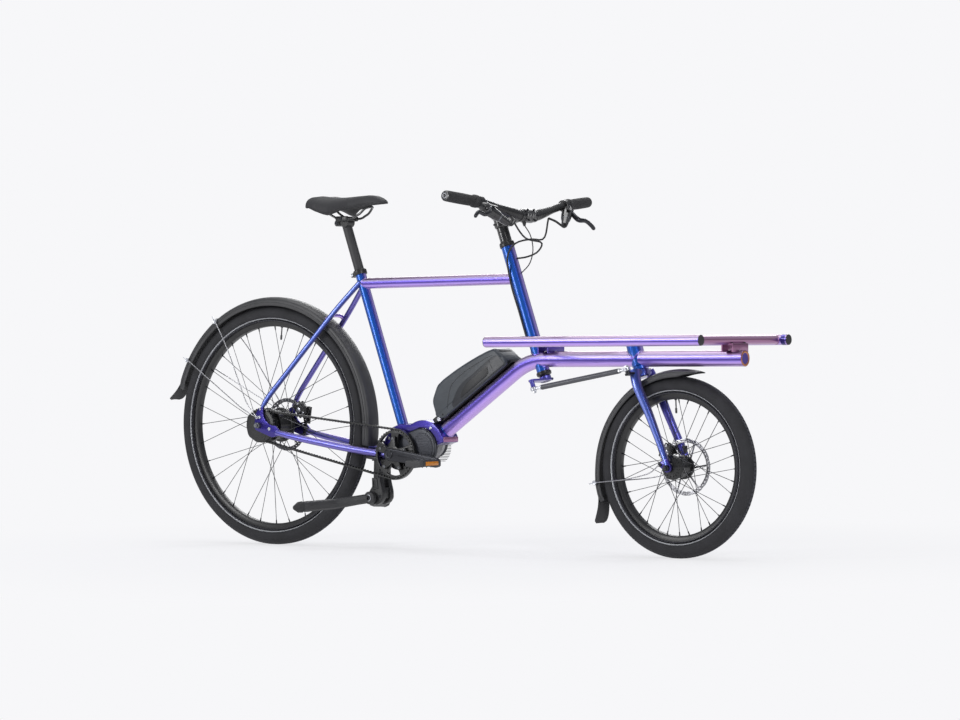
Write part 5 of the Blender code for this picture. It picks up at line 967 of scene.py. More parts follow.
def build_fender(name, axle, radius, start, turn, body, drop, lean, taper=0.0):
    """One fender shell: lean shifts its radius by angle, taper thins its sides towards the start."""
    work = bmesh.new()
    section = fender_ring(drop)
    steps = 84
    place = frame_at(axle, SIDE)
    rings = []
    for i in range(steps + 1):
        degrees = start + turn * i / steps
        t = math.radians(degrees)
        ease = min(1.0, i / 2.0, (steps - i) / 2.0)
        width = 0.86 + 0.14 * ease
        middle = radius + float(np.interp(degrees, *lean))
        deep = float(np.interp(degrees - start, [0.0, taper], [0.20, 1.0])) if taper else 1.0
        ring_points = []
        for r, y in section:
            r = middle + (r * deep if r < 0.0 else r)
            ring_points.append(place @ Vector((r * math.cos(t), r * math.sin(t), y * width)))
        rings.append(ring_points)
    skin(work, rings, caps=True)
    piece(name + "_fender_shell", work, "fender", body, [name + "_fender"], 50.0)
    work = bmesh.new()
    for side in (-1, 1):
        line = []
        for degrees in np.linspace(start + taper + 2.0, start + turn - 1.0, 90):
            t = math.radians(degrees)
            r = radius + float(np.interp(degrees, *lean)) - drop * 0.60
            line.append(place @ Vector((r * math.cos(t), r * math.sin(t), side * 0.0293)))
        sweep(work, line, 0.0006, 6)
    piece(name + "_fender_bead", work, "gloss", body)


def mirror_pair(points, side):
    """A route on one side of the bicycle, from one drawn on the left."""
    return [(x, side * y, z) for x, y, z in points]


# Rear triangle

CHAIN_STAY = (
    (0.0700, 0.0735, 0.3400), (0.1400, 0.0685, 0.3255), (0.2900, 0.0570, 0.3005),
    (0.3700, 0.0450, 0.2880), (0.4535, 0.0332, 0.2773)
)
SEAT_STAY = (
    (0.3450, 0.0130, 0.7860), (0.2700, 0.0350, 0.7060), (0.0500, 0.0660, 0.4660),
    (0.0330, 0.0695, 0.4460), (0.0200, 0.0725, 0.4270), (0.0130, 0.0738, 0.4165)
)


def eased(points, radius_steps=5):
    """A route through the same points with each corner rounded a little."""
    points = [Vector(p) for p in points]
    made = [points[0]]
    for a, b, c in zip(points, points[1:], points[2:]):
        reach = min((b - a).length, (c - b).length) * 0.42
        near, far = b + (a - b).normalized() * reach, b + (c - b).normalized() * reach
        for k in range(radius_steps + 1):
            t = k / radius_steps
            made.append(near * (1 - t) ** 2 + b * 2 * t * (1 - t) + far * t * t)
    return [*made, points[-1]]


def domed(points, radii, reach):
    """Adds a rounded start to a swept tube's points and radii."""
    points = [Vector(p) for p in points]
    first, along = points[0], (points[1] - points[0]).normalized()
    r = radii[0]
    extra = [(math.sin(t) * reach, math.cos(t)) for t in (1.45, 1.2, 0.9, 0.6, 0.3)]
    return [first - along * d for d, _ in extra] + points, [r * k for _, k in extra] + list(radii)


def dropout_shape():
    """The side view of a dropout plate round the rear axle, hollowed towards the hub's front."""
    x, z = REAR_AXLE.x, REAR_AXLE.z
    return [
        (0.0070, 0.4150), (x - 0.0010, z + 0.0500), (x - 0.0100, z + 0.0360), (x - 0.0136, z + 0.0250),
        *arc((x, z), 0.0172, 150.0, 262.0, 14), (x + 0.0129, z - 0.0227), (x + 0.0521, z - 0.0359),
        (x + 0.0651, z - 0.0334), (x + 0.0960, z - 0.0270), (x + 0.0960, z - 0.0190),
        (x + 0.0830, z - 0.0170), (x + 0.0655, z - 0.0007),
        *arc((x + 0.0610, z + 0.0440), 0.0440, 268.0, 190.0, 12), (0.0175, 0.4176),
    ]


def build_rear_triangle():
    """Stays, bridge, and dropout plates with their bolts."""
    for side, name in ((-1, "right"), (1, "left")):
        work = bmesh.new()
        route = eased(mirror_pair(SEAT_STAY, side))
        radii = [0.0080] * (len(route) - 6) + [0.0080, 0.0078, 0.0074, 0.0070, 0.0067, 0.0064]
        route, radii = domed(route, radii, 0.006)
        sweep(work, route, radii, 24)
        # The far stay takes the purple copy of the frame paint, set to how it shows darker than the near
        # stay: painted shade of the far side.
        piece(
            "seat_stay_" + name + "_tube", work, "steep" if side < 0 else "indigo", "frame",
            ["seat_stay_" + name]
        )
        work = bmesh.new()
        route = eased(mirror_pair(CHAIN_STAY, side))
        spread_x = [p.x for p in route]
        radii = list(np.interp(spread_x, [0.07, 0.14, 0.29, 0.45], [0.0085, 0.0104, 0.0110, 0.0110]))
        route, radii = domed(route, radii, 0.007)
        sweep(work, route, radii, 28)
        piece("chain_stay_" + name + "_tube", work, "indigo", "frame", ["chain_stay_" + name])
        work = bmesh.new()
        y = side * (DROPOUT_Y + 0.0030)
        plate(work, dropout_shape(), 0.0060, side_place(y), [ring(0.0062, 20, (0.0, 0.361))], 0.0011)
        piece("dropout_plate_" + name, work, "bracket", "frame")
        work = bmesh.new()
        for x, z, r in ((0.0050, 0.3860, 0.0046), (0.0430, 0.3510, 0.0050), (0.0082, 0.4100, 0.0034)):
            bolt(work, (x, side * 0.0775, z), (0, side, 0), r, 0.0028)
        piece("dropout_bolts_" + name, work, "silver", "frame")
    bridge_low = Vector((0.2387, 0.0393, 0.6787))
    rise = Vector((0.0020, 0.0, 0.0090))
    half = [bridge_low, Vector((bridge_low.x, bridge_low.y * 0.6, bridge_low.z)) + rise]
    route = [*half, *[Vector((p.x, -p.y, p.z)) for p in reversed(half)]]
    work = bmesh.new()
    sweep(work, smooth(route, 24), 0.0060, 20)
    piece("stay_bridge", work, "violet", "frame")


# Motor, its bracket and the drive

SEAT_TUBE_FOOT = SEAT_FOOT + SEAT_UP * ((0.3625 - SEAT_FOOT.z) / SEAT_UP.z)

MOTOR_REAR, MOTOR_FRONT, MOTOR_R = (BB.x, BB.z), (0.594, 0.299), 0.060
BRACKET_ARCH_R = 0.0808
BRACKET_BOLTS = ((0.6240, 0.3570), (0.4700, 0.3260))


def motor_shape(grow, count=72):
    """The side view of the motor housing, grown or shrunk."""
    return hull(
        [
            (MOTOR_REAR, 0.047 + grow),
            ((MOTOR_FRONT[0] - 0.0040, MOTOR_FRONT[1]), MOTOR_R - 0.0030 + grow)
        ],
        count
    )


def core_shape(grow):
    """The side view of the motor's core, slimmer below at the front than its shells."""
    return hull([(MOTOR_REAR, 0.044 + grow), ((0.584, 0.3120), 0.0490 + grow)], 72)


def build_motor():
    """The mid motor: ribbed side shells, a core of stacked cooling fins, cover plates and bearing noses."""
    work = bmesh.new()
    plate(work, motor_shape(0.0), 0.0150, side_place(-0.0365), round_r=0.0062, segments=4)
    plate(work, core_shape(-0.0040), 0.0180, side_place(0.0350), round_r=0.0062, segments=4)
    piece("motor_shells", work, "housing", "frame", ["motor"], 40.0)
    work = bmesh.new()
    plate(work, core_shape(-0.0050), 0.0560, side_place())
    for k in range(7):
        plate(work, core_shape(0.0), 0.0030, side_place(-0.0265 + k * 0.0062), round_r=0.0006)
    piece("motor_core", work, "fins", "frame")
    work = bmesh.new()
    for side in (-1, 1):
        plate(
            work, motor_shape(-0.0115) if side < 0 else core_shape(-0.0180), 0.0016,
            side_place(side * 0.0444), round_r=0.0006
        )
        for k in range(22):
            z = 0.2490 + k * 0.0046
            reach = math.sqrt(max(0.0, 0.0450 ** 2 - (z - 0.299) ** 2))
            if reach > 0.012:
                block(work, (0.5985, side * 0.0450, z), (reach * 1.66, 0.0026, 0.0019), round_r=0.0005)
        lathe(work, [(0.0128, 0.0), (0.0240, 0.0), (0.0240, 0.0022), (0.0205, 0.0036), (0.0128, 0.0036)],
              BB + sideways(side * 0.0444), (0, side, 0), 48)
    piece("motor_covers", work, "ribbed", "frame")
    work = bmesh.new()
    for turn in (-70.0, -25.0, 20.0, 66.0):
        t = math.radians(turn)
        spot = (MOTOR_FRONT[0] + 0.0535 * math.cos(t), -0.0436, MOTOR_FRONT[1] + 0.0535 * math.sin(t))
        bolt(work, spot, SIDE, 0.0030, 0.0022)
    piece("motor_bolts", work, "anodised", "frame")


def bracket_shape():
    """The side view of the arched bracket over the motor, with its blunt front end."""
    foot = SEAT_TUBE_FOOT
    across = Vector((math.sin(SEAT_ANGLE), 0.0, math.cos(SEAT_ANGLE))) * (SEAT_TUBE_R + 0.003)
    back, front = foot - across, foot + across
    (x, z), rear_x = MOTOR_FRONT, BB.x - 0.0535
    return [
        (rear_x, 0.2640), (rear_x, 0.3180), (rear_x + 0.0016, 0.3240), (back.x - 0.003, back.z - 0.010),
        (back.x, back.z), (front.x, front.z), *arc((x, z), BRACKET_ARCH_R, 124.0, 27.0, 40),
        (0.6696, 0.3300), (0.6696, 0.3170), (0.6680, 0.3145), (0.6540, 0.3105),
        *arc((x - 0.0050, z), MOTOR_R - 0.0020, 8.0, 97.0, 26), (BB.x, 0.3290), (BB.x, 0.2640),
    ]


def build_motor_bracket():
    """The arched bracket over the motor, its mauve front end, weld beads and mounting bolts."""
    work = bmesh.new()
    plate(work, bracket_shape(), 0.0740, side_place(), round_r=0.0030, segments=4)
    piece("bracket_shell", work, "bracket", "frame", ["motor_bracket"], 40.0)
    work = bmesh.new()
    block(work, (0.6694, 0.0, 0.3235), (0.0030, 0.0690, 0.0150), round_r=0.0010)
    piece("bracket_front", work, "mauve", "frame")
    work = bmesh.new()
    for side in (-1, 1):
        for x, z in BRACKET_BOLTS:
            bolt(work, (x, side * 0.0368, z), (0, side, 0), 0.0042, 0.0026)
    piece("bracket_bolts", work, "silver", "frame")
    work = bmesh.new()
    top = seat_at(SEAT_TUBE_TOP)
    weld(
        work, SEAT_TUBE_FOOT.lerp(top, 0.12), SEAT_TUBE_FOOT - top, 0.0160, SEAT_TUBE_FOOT,
        Vector((0, 1, 0)).cross(SEAT_UP), 0.0005, 0.0024
    )
    piece("weld_seat_foot", work, "bracket", "frame")
    work = bmesh.new()
    weld(
        work, DOWN_START - DOWN * 0.08, DOWN, BOOM_R, (MOTOR_FRONT[0], 0.0, MOTOR_FRONT[1]), (0, 1, 0),
        BRACKET_ARCH_R, 0.0026
    )
    piece("weld_down_tube", work, "blue", "frame")


def build_cradle_foot():
    """The battery cradle's foot and its lock."""
    work = bmesh.new()
    block(work, (0.6400, 0.0, 0.3830), (0.0300, 0.0560, 0.0170), DOWN * -1.0, TUBE_UP, 0.0030, 3)
    block(work, (0.6560, 0.0, 0.3930), (0.0180, 0.0400, 0.0150), DOWN * -1.0, TUBE_UP, 0.0030, 3)
    piece("cradle_foot", work, "satin", "frame")
    work = bmesh.new()
    lathe(
        work,
        [
            (0.0, 0.0030), (0.0030, 0.0030), (0.0036, 0.0044), (0.0056, 0.0044), (0.0062, 0.0030),
            (0.0062, -0.0020)
        ],
        (0.6500, -0.0280, 0.3830), SIDE, 24
    )
    piece("cradle_lock", work, "silver", "frame")


def pitch_radius(teeth):
    """The pitch radius of a sprocket for the belt."""
    return teeth * BELT_PITCH / (2 * math.pi)


def belt_wrap(centre, radius, start, end, count):
    """Points of the belt round a sprocket: x, z and the direction outwards."""
    ways = [(math.cos(t), math.sin(t)) for t in np.linspace(start, end, count)]
    return [(centre.x + radius * c, centre.z + radius * s, c, s) for c, s in ways]


def belt_run(a, b, turn, steps=300):
    """Points of the belt's straight run between two sprockets."""
    return [
        (a[0] + (b[0] - a[0]) * k / steps, a[1] + (b[1] - a[1]) * k / steps, math.cos(turn), math.sin(turn))
        for k in range(1, steps)
    ]


def belt_line():
    """Closely spaced points of the belt's pitch line, with their outward directions."""
    front_r, rear_r = pitch_radius(CHAINRING_TEETH), pitch_radius(REAR_TEETH)
    along = Vector((BB.x - REAR_AXLE.x, BB.z - REAR_AXLE.z))
    slope = math.atan2(along.y, along.x)
    open_turn = math.acos((rear_r - front_r) / along.length)
    upper, lower = slope + open_turn, slope - open_turn
    rear = belt_wrap(REAR_AXLE, rear_r, upper, lower + 2 * math.pi, 90)
    front = belt_wrap(BB, front_r, lower, upper, 120)
    return [*rear, *belt_run(rear[-1], front[0], lower), *front, *belt_run(front[-1], rear[0], upper)]


def tooth_wave(s):
    """The height of a belt tooth, 0 to 1, at a place along the belt in pitches."""
    d = abs(s % 1.0 - 0.5)
    return float(np.interp(d, [0.0, 0.17, 0.27, 0.5], [1.0, 0.92, 0.0, 0.0]))


def build_belt():
    """The toothed belt, with shallow teeth where it wraps a sprocket, and both sprockets."""
    route = belt_line()
    reach = [0.0]
    for a, b in zip(route, route[1:] + route[:1]):
        reach.append(reach[-1] + math.hypot(b[0] - a[0], b[1] - a[1]))
    whole = reach[-1]
    count = round(whole / BELT_PITCH)
    fine = np.linspace(0.0, whole, count * 8, endpoint=False)
    closed = np.array([*route, route[0]])
    hubs = ((REAR_AXLE, REAR_TEETH), (BB, CHAINRING_TEETH))
    rings = []
    for s in fine:
        x, z, nx, nz = (float(np.interp(s, reach, closed[:, k])) for k in range(4))
        size = math.hypot(nx, nz)
        nx, nz = nx / size, nz / size
        room = min(math.hypot(x - hub.x, z - hub.z) - pitch_radius(teeth) for hub, teeth in hubs)
        inner = -min(0.0010 + 0.0034 * tooth_wave(s / whole * count), room + 0.0016)
        rings.append([Vector((x + nx * d, y, z + nz * d)) for d, y in (
            (0.0022, -0.0595), (0.0022, -0.0485), (inner, -0.0485), (inner, -0.0595))])
    work = bmesh.new()
    skin(work, rings, wrap=True)
    piece("toothed_belt", work, "ring_black", "frame", ["belt"], 25.0)
    build_sprocket("chainring_teeth", CHAINRING_TEETH, BB, "crank", "chainring", 3.0)
    build_sprocket("rear_sprocket_teeth", REAR_TEETH, REAR_AXLE, "rear_driver", "rear_sprocket", 0.0)


def build_sprocket(name, teeth, centre, body, node_name, turn):
    """A belt sprocket: a toothed rim, arms with windows, and a guard ring."""
    tip = pitch_radius(teeth) - 0.0019
    root = tip - 0.0028
    shape = []
    step = 360.0 / teeth
    for i in range(teeth):
        middle = turn + step * i
        for d, r in (
            (-0.34, root), (-0.22, tip - 0.0006), (-0.17, tip), (0.17, tip), (0.22, tip - 0.0006),
            (0.34, root)
        ):
            shape += arc((0, 0), r, middle + step * d, middle + step * d, 1)
    large = teeth > 30
    bore = 0.0180 if large else 0.0064
    windows = [ring(bore, 40)]
    outer_r, inner_r = root - 0.0060, bore + (0.0065 if large else 0.0130)
    for i in range(5):
        start = 72.0 * i + 20.0
        windows.append(
            [
                *arc((0, 0), outer_r, start + 8.0, start + 54.0, 14),
                *arc((0, 0), inner_r, start + 46.0, start + 18.0, 8)
            ]
        )
    work = bmesh.new()
    place = frame_at(Vector(centre) + sideways(BELT_Y), SIDE)
    plate(work, shape, 0.0100, place, windows, 0.0006)
    piece(name, work, "ring_black", body, [node_name], 30.0)
    work = bmesh.new()
    lathe(
        work,
        [
            (tip + 0.0004, 0.0), (tip + 0.0004, 0.0012), (root - 0.004, 0.0012), (root - 0.004, 0.0),
            (tip + 0.0004, 0.0)
        ],
        Vector(centre) + sideways(-0.0482), (0, 1, 0), 72
    )
    piece(name + "_guard", work, "satin", body)


def crank_tip(side):
    """The middle of one crank's pedal eye."""
    turn = CRANK_PITCH + (0.0 if side < 0 else math.pi)
    return BB + facing(turn) * CRANK_LENGTH


def build_cranks():
    """Both crank arms with their caps, and the pedals."""
    for side, name in ((-1, "right"), (1, "left")):
        tip = crank_tip(side)
        work = bmesh.new()
        outline = hull([((BB.x, BB.z), 0.0190), ((tip.x, tip.z), 0.0145)], 40)
        plate(work, outline, 0.0140, side_place(side * 0.0770), round_r=0.0040, segments=4)
        groove = hull(
            [
                ((BB.lerp(tip, 0.24).x, BB.lerp(tip, 0.24).z), 0.0062),
                ((BB.lerp(tip, 0.82).x, BB.lerp(tip, 0.82).z), 0.0050)
            ],
            20
        )
        plate(work, groove, 0.0012, side_place(side * 0.0843), round_r=0.0005)
        piece("crank_arm_" + name, work, "anodised", "crank", ["crank_" + name], 40.0)
        work = bmesh.new()
        lathe(
            work,
            [
                (0.0, 0.0010), (0.0050, 0.0010), (0.0056, 0.0026), (0.0116, 0.0030), (0.0126, 0.0018),
                (0.0126, 0.0)
            ],
            BB + sideways(side * 0.0840), (0, side, 0), 32
        )
        rod(work, tip + sideways(side * 0.080), tip + sideways(side * 0.093), 0.0068, 24, round_end=0.001)
        rod(work, tip + sideways(side * 0.062 + side * 0.0068), tip + sideways(side * 0.071), 0.0052, 6)
        piece("crank_caps_" + name, work, "silver" if side > 0 else "anodised", "crank")
        build_pedal(side, name, tip)


def build_spider():
    """The spider that carries the chainring, with its bolts and the spindle."""
    work = bmesh.new()
    outline = []
    for i in range(5):
        start = 72.0 * i + 15.0
        outline += [
            *arc((0, 0), 0.0520, start - 7.0, start + 7.0, 5),
            *arc((0, 0), 0.0270, start + 24.0, start + 48.0, 5)
        ]
    plate(work, outline, 0.0090, frame_at(BB + sideways(-0.0652), SIDE), round_r=0.0016, segments=3)
    rod(work, BB + sideways(-0.071), BB + sideways(0.071), 0.0119, 32)
    piece("spider", work, "ring_black", "crank")
    work = bmesh.new()
    for i in range(5):
        t = math.radians(72.0 * i + 15.0)
        bolt(work, BB + Vector((0.0465 * math.cos(t), -0.0697, 0.0465 * math.sin(t))), SIDE, 0.0042, 0.0020)
    piece("chainring_bolts", work, "blade", "crank")


def pedal_outline(half, depth, corner):
    """The rounded outline of a pedal seen from above."""
    made = []
    for cx, cy, start in ((half, depth, 0), (-half, depth, 90), (-half, -depth, 180), (half, -depth, 270)):
        sx, sy = math.copysign(1, cx), math.copysign(1, cy)
        made += arc((cx - sx * corner, cy - sy * corner), corner, start, start + 90.0, 7)
    return made


def build_pedal(side, name, tip):
    """A platform pedal with ribbed treads, grip studs and amber reflectors."""
    centre = tip + sideways(side * (0.0900 + 0.0480))
    place = frame_at(centre, (0, 0, 1), Vector((0.0, 1.0, 0.0)))
    body = "pedal_" + name
    windows = []
    for sy in (-1, 1):
        for x0, x1 in ((-0.0390, -0.0215), (-0.0180, -0.0020), (0.0020, 0.0180), (0.0215, 0.0390)):
            windows.append([(x0, sy * 0.0125), (x1, sy * 0.0125), (x1, sy * 0.0245), (x0, sy * 0.0245)])
    work = bmesh.new()
    plate(work, pedal_outline(0.0480, 0.0330, 0.010), 0.0180, place, windows, 0.0022, 3)
    for sy in (-1, 1):
        for sz in (-1, 1):
            for k in range(5):
                stud = place @ Vector((-0.040 + k * 0.020, sy * 0.0285, sz * 0.0090))
                rod(work, stud, stud + Vector((0, 0, sz * 0.0022)), 0.0016, 8)
    rod(work, centre - sideways(0.044), centre + sideways(0.044), 0.0098, 28, round_end=0.002)
    piece("pedal_platform_" + name, work, "matte", body, [body], 35.0)
    work = bmesh.new()
    for sx in (-1, 1):
        block(work, centre + Vector((sx * 0.0326, 0, 0)), (0.0022, 0.060, 0.0115), round_r=0.0009)
    piece("pedal_reflectors_" + name, work, "amber", body)


# Load frame

def build_load_frame():
    """Rails with their plugs, and crossbars on folded saddle plates with clamps."""
    for side, name in ((-1, "right"), (1, "left")):
        work = bmesh.new()
        y = side * RAIL_Y
        lathe(
            work,
            [
                (0.0132, 0.9665), (0.0142, 0.9662), (0.0150, 0.9672), (0.0150, 1.6895), (0.0142, 1.6903),
                (0.0132, 1.6900)
            ],
            (0.0, y, RAIL_Z), (1, 0, 0), 40
        )
        piece("rail_" + name, work, "violet", "frame", ["rack_rail_" + name])
        work = bmesh.new()
        for at, sign in ((1.6896, 1.0), (0.9670, -1.0)):
            lathe(
                work,
                [
                    (0.0, 0.0044), (0.0060, 0.0043), (0.0118, 0.0036), (0.0144, 0.0020), (0.0149, 0.0006),
                    (0.0149, 0.0), (0.0132, 0.0)
                ],
                (at, y, RAIL_Z), (sign, 0, 0), 36
            )
        piece("rail_plugs_" + name, work, "rubber", "frame")
    work = bmesh.new()
    lathe(
        work, [(0.0150, 0.0), (0.01535, 0.0004), (0.01535, 0.0136), (0.0150, 0.0140)],
        (1.6720, RAIL_Y, RAIL_Z), (1, 0, 0), 40
    )
    piece("rail_collar_left", work, "bracket", "frame")
    for name, x, look in (("rear", 1.0320, "violet"), ("front", 1.655, "mauve")):
        work = bmesh.new()
        rod(work, (x, -0.2075, RAIL_Z), (x, 0.2075, RAIL_Z), 0.0127, 40)
        for side in (-1, 1):
            weld(
                work, (x, side * 0.12, RAIL_Z), (0, side, 0), 0.0127, (x, side * RAIL_Y, RAIL_Z),
                (1, 0, 0), RAIL_R, 0.0016
            )
        piece("crossbar_" + name, work, look, "frame", ["rack_crossbar_" + name])
        build_saddle_plate(name, x)


def build_saddle_plate(name, x):
    """The folded plate that carries a crossbar on the boom, with its bolts."""
    work = bmesh.new()
    height = 0.0235
    notch = [(0.0400, 0.0), (0.0400, height), (-0.0400, height), (-0.0400, 0.0),
             *[(px, py) for px, py in arc((0.0, -0.0175), 0.0230, 148.0, 32.0, 14) if py > 0.0]]
    for end in (-1, 1):
        plate(work, notch, 0.0036, Matrix.Translation(Vector((x + end * 0.0170, 0.0, 0.5730))) @ Matrix((
            (0, 0, 1, 0), (1, 0, 0, 0), (0, 1, 0, 0), (0, 0, 0, 1))), round_r=0.0009)
    block(work, (x, 0.0, 0.5950), (0.0376, 0.0800, 0.0040), round_r=0.0012)
    piece("saddle_plate_" + name, work, "violet" if name == "rear" else "mauve", "frame")
    work = bmesh.new()
    for sy in (-1, 1):
        for sx in (-1, 1):
            bolt(work, (x + sx * 0.0115, sy * 0.0320, 0.5968), (0, 0, 1), 0.0040, 0.0028)
    piece("saddle_plate_bolts_" + name, work, "anodised", "frame")


# Fork and steering linkage

def ball_at(cross, z):
    """The pivot of the tie rod beside a steering axis, at a height."""
    return cross + STEER_UP * ((z - cross.z) / STEER_UP.z) + sideways(-0.070)


REAR_BALL, FRONT_BALL = ball_at(STEER_CROSS, 0.472), ball_at(FORK_CROSS, 0.527)
CROWN = on_fork(-0.044)


def leg_route(side, count):
    """The middle line of one fork leg; the left one bends out round its brake disc."""
    wide = 0.0455 if side < 0 else 0.0470
    low = 0.0490 if side < 0 else 0.0545
    shoulder, knee = on_fork(-0.036), on_fork(-0.072)
    points = [
        (shoulder.x, side * (wide - 0.0120), shoulder.z), (knee.x + 0.0020, side * wide, knee.z),
        (1.4000, side * wide, 0.4000), (1.4285, side * (wide if side < 0 else 0.0525), 0.3350),
        (1.4530, side * low, 0.2830), (1.4650, side * 0.0530, 0.2600),
    ]
    return smooth(points, count)


def build_fork():
    """The fork's crown and its two legs."""
    work, far = bmesh.new(), bmesh.new()
    for side in (-1, 1):
        route = leg_route(side, 40)
        low_r = 0.0092 if side < 0 else 0.0118
        radii = list(
            np.interp([p[2] for p in route], [0.261, 0.300, 0.36, 0.52], [0.0086, low_r, 0.0112, 0.0150])
        )
        sweep(work if side < 0 else far, route, radii, 28)
    # The far leg takes the purple copy of the frame paint, while the near leg and crown take the blue one:
    # painted shade of the far side.
    piece("fork_left_leg", far, "indigo", "fork")
    route = [
        CROWN + sideways(y) + STEER_UP * h
        for y, h in (
            (-0.0470, -0.0030), (-0.0400, 0.0010), (-0.0220, 0.0036), (0.0, 0.0042), (0.0220, 0.0036),
            (0.0400, 0.0010), (0.0470, -0.0030)
        )
    ]
    sweep(work, route, [0.0100, 0.0128, 0.0128, 0.0130, 0.0128, 0.0128, 0.0100], 28, up=STEER_UP, flat=0.86)
    lathe(
        work,
        [
            (0.0, 0.0110), (0.0205, 0.0110), (0.0212, 0.0085), (0.0212, -0.0085), (0.0185, -0.0110),
            (0.0, -0.0110)
        ],
        CROWN, STEER_UP, 44
    )
    piece("fork_frame", work, "steep", "fork", ["fork"], 36.0)


def build_fork_arm():
    """The fork's steering arm and the stud for the tie rod."""
    work = bmesh.new()
    arm_eye = FRONT_BALL + STEER_UP * (-(0.527 - CROWN.z) / STEER_UP.z)
    along = arm_eye - CROWN
    block(work, (arm_eye + CROWN) / 2, (along.length + 0.012, 0.0180, 0.0070), along, STEER_UP, 0.0024, 3)
    rod(work, arm_eye - STEER_UP * 0.0036, FRONT_BALL - STEER_UP * 0.0055, 0.0068, 24, round_end=0.0008)
    piece("fork_arm", work, "anodised", "fork")
    work = bmesh.new()
    rod(work, FRONT_BALL - STEER_UP * 0.0050, FRONT_BALL + STEER_UP * 0.0095, 0.0038, 20, round_end=0.0006)
    bolt(work, FRONT_BALL + STEER_UP * 0.0060, STEER_UP, 0.0062, 0.0046, True)
    piece("fork_stud", work, "silver", "fork")


def build_fork_ends():
    """The fork's dropouts, and the front axle's nuts."""
    work = bmesh.new()
    for side in (-1, 1):
        shape = hull([((1.466, 0.253), 0.0125), ((1.462, 0.271), 0.0075), ((1.4435, 0.2620), 0.0060)], 24)
        plate(
            work, shape, 0.0090, side_place(side * FORK_DROPOUT_Y), [ring(0.0064, 16, (1.466, 0.253))],
            0.0012
        )
    piece("fork_dropouts", work, "bracket", "fork")
    work = bmesh.new()
    for side in (-1, 1):
        spot = Vector((1.466, side * 0.0605, 0.253))
        lathe(
            work, [(0.0, 0.0125), (0.0058, 0.0125), (0.0060, 0.0118), (0.0060, 0.0)], spot, (0, side, 0),
            24
        )
        bolt(work, spot, (0, side, 0), 0.0096, 0.0082, True)
        bolt(work, (1.4435, side * 0.0590, 0.2620), (0, side, 0), 0.0058, 0.0040)
    rod(work, (1.466, -0.052, 0.253), (1.466, 0.052, 0.253), 0.0058, 20)
    piece("front_axle_nuts", work, "anodised", "fork")


def build_fork_hose():
    """The stretch of brake hose on the left leg, in its two guides."""
    work = bmesh.new()
    line = [
        on_fork(-0.030) + Vector((0.0060, 0.0340, 0.0)), on_fork(-0.0500) + Vector((0.0020, 0.0520, 0.0)),
        (1.3760, 0.0620, 0.4300), (1.3930, 0.0640, 0.3900), (1.4080, 0.0640, 0.3560),
        (1.4160, 0.0600, 0.3300), (1.4180, 0.0520, 0.3140)
    ]
    route = smooth(line, 40)
    sweep(work, route, 0.0026, 12)
    for k in (16, 28):
        spot = Vector(route[k])
        block(work, spot - sideways(0.0060), (0.0080, 0.0200, 0.0060), round_r=0.0016)
    piece("fork_hose", work, "hose", "fork")


def build_fork_top_cap():
    """The cap and the seal on top of the fork's head tube."""
    work = bmesh.new()
    lathe(
        work,
        [
            (0.0144, 0.0530), (0.0176, 0.0530), (0.0188, 0.0545), (0.0190, 0.0565), (0.0190, 0.0600),
            (0.0176, 0.0618), (0.0090, 0.0620), (0.0086, 0.0610), (0.0, 0.0610)
        ],
        FORK_CROSS, STEER_UP, 44
    )
    lathe(
        work, [(0.0147, 0.0519), (0.0221, 0.0519), (0.0221, 0.0526), (0.0147, 0.0526), (0.0147, 0.0519)],
        FORK_CROSS, STEER_UP, 44
    )
    piece("fork_top_cap", work, "satin", "fork")


def build_tie_rod():
    """The tie rod: a sleeve, lock nuts and rod ends with their bores."""
    along = (FRONT_BALL - REAR_BALL).normalized()
    half = (FRONT_BALL - REAR_BALL).length / 2
    middle = (FRONT_BALL + REAR_BALL) / 2
    e = half - 0.0275
    work = bmesh.new()
    lathe(
        work,
        [
            (0.0040, -e), (0.0066, -e), (0.0075, -e + 0.0012), (0.0075, e - 0.0012), (0.0066, e),
            (0.0040, e)
        ],
        middle, along, 32
    )
    piece("tie_rod_sleeve", work, "rod", "tie_rod", ["tie_rod"])
    work = bmesh.new()
    for ball, sign in ((REAR_BALL, 1.0), (FRONT_BALL, -1.0)):
        start = ball + along * sign * 0.0075
        rod(work, start, ball + along * sign * 0.0285, 0.0042, 20)
        bolt(work, ball + along * sign * 0.0225, along * sign, 0.0066, 0.0050, True)
        lathe(
            work,
            [
                (0.0044, 0.0040), (0.0056, 0.0048), (0.0086, 0.0048), (0.0100, 0.0034), (0.0100, -0.0034),
                (0.0086, -0.0048), (0.0056, -0.0048), (0.0044, -0.0040), (0.0044, 0.0040)
            ],
            ball, STEER_UP, 36
        )
    piece("rod_ends", work, "silver", "tie_rod")


def build_column_spacers():
    """The spacers on the steering column below the stem."""
    work = bmesh.new()
    marks = np.linspace(0.3584, STEM_FOOT, 4)
    for low, high in zip(marks, marks[1:]):
        lathe(
            work,
            [
                (0.0144, low), (0.0164, low), (0.0170, low + 0.0006), (0.0170, high - 0.0008),
                (0.0164, high - 0.0002), (0.0144, high - 0.0002)
            ],
            STEER_CROSS, STEER_UP, 40
        )
    piece("column_spacers", work, "gloss", "steering", ["steering_column"], 36.0)


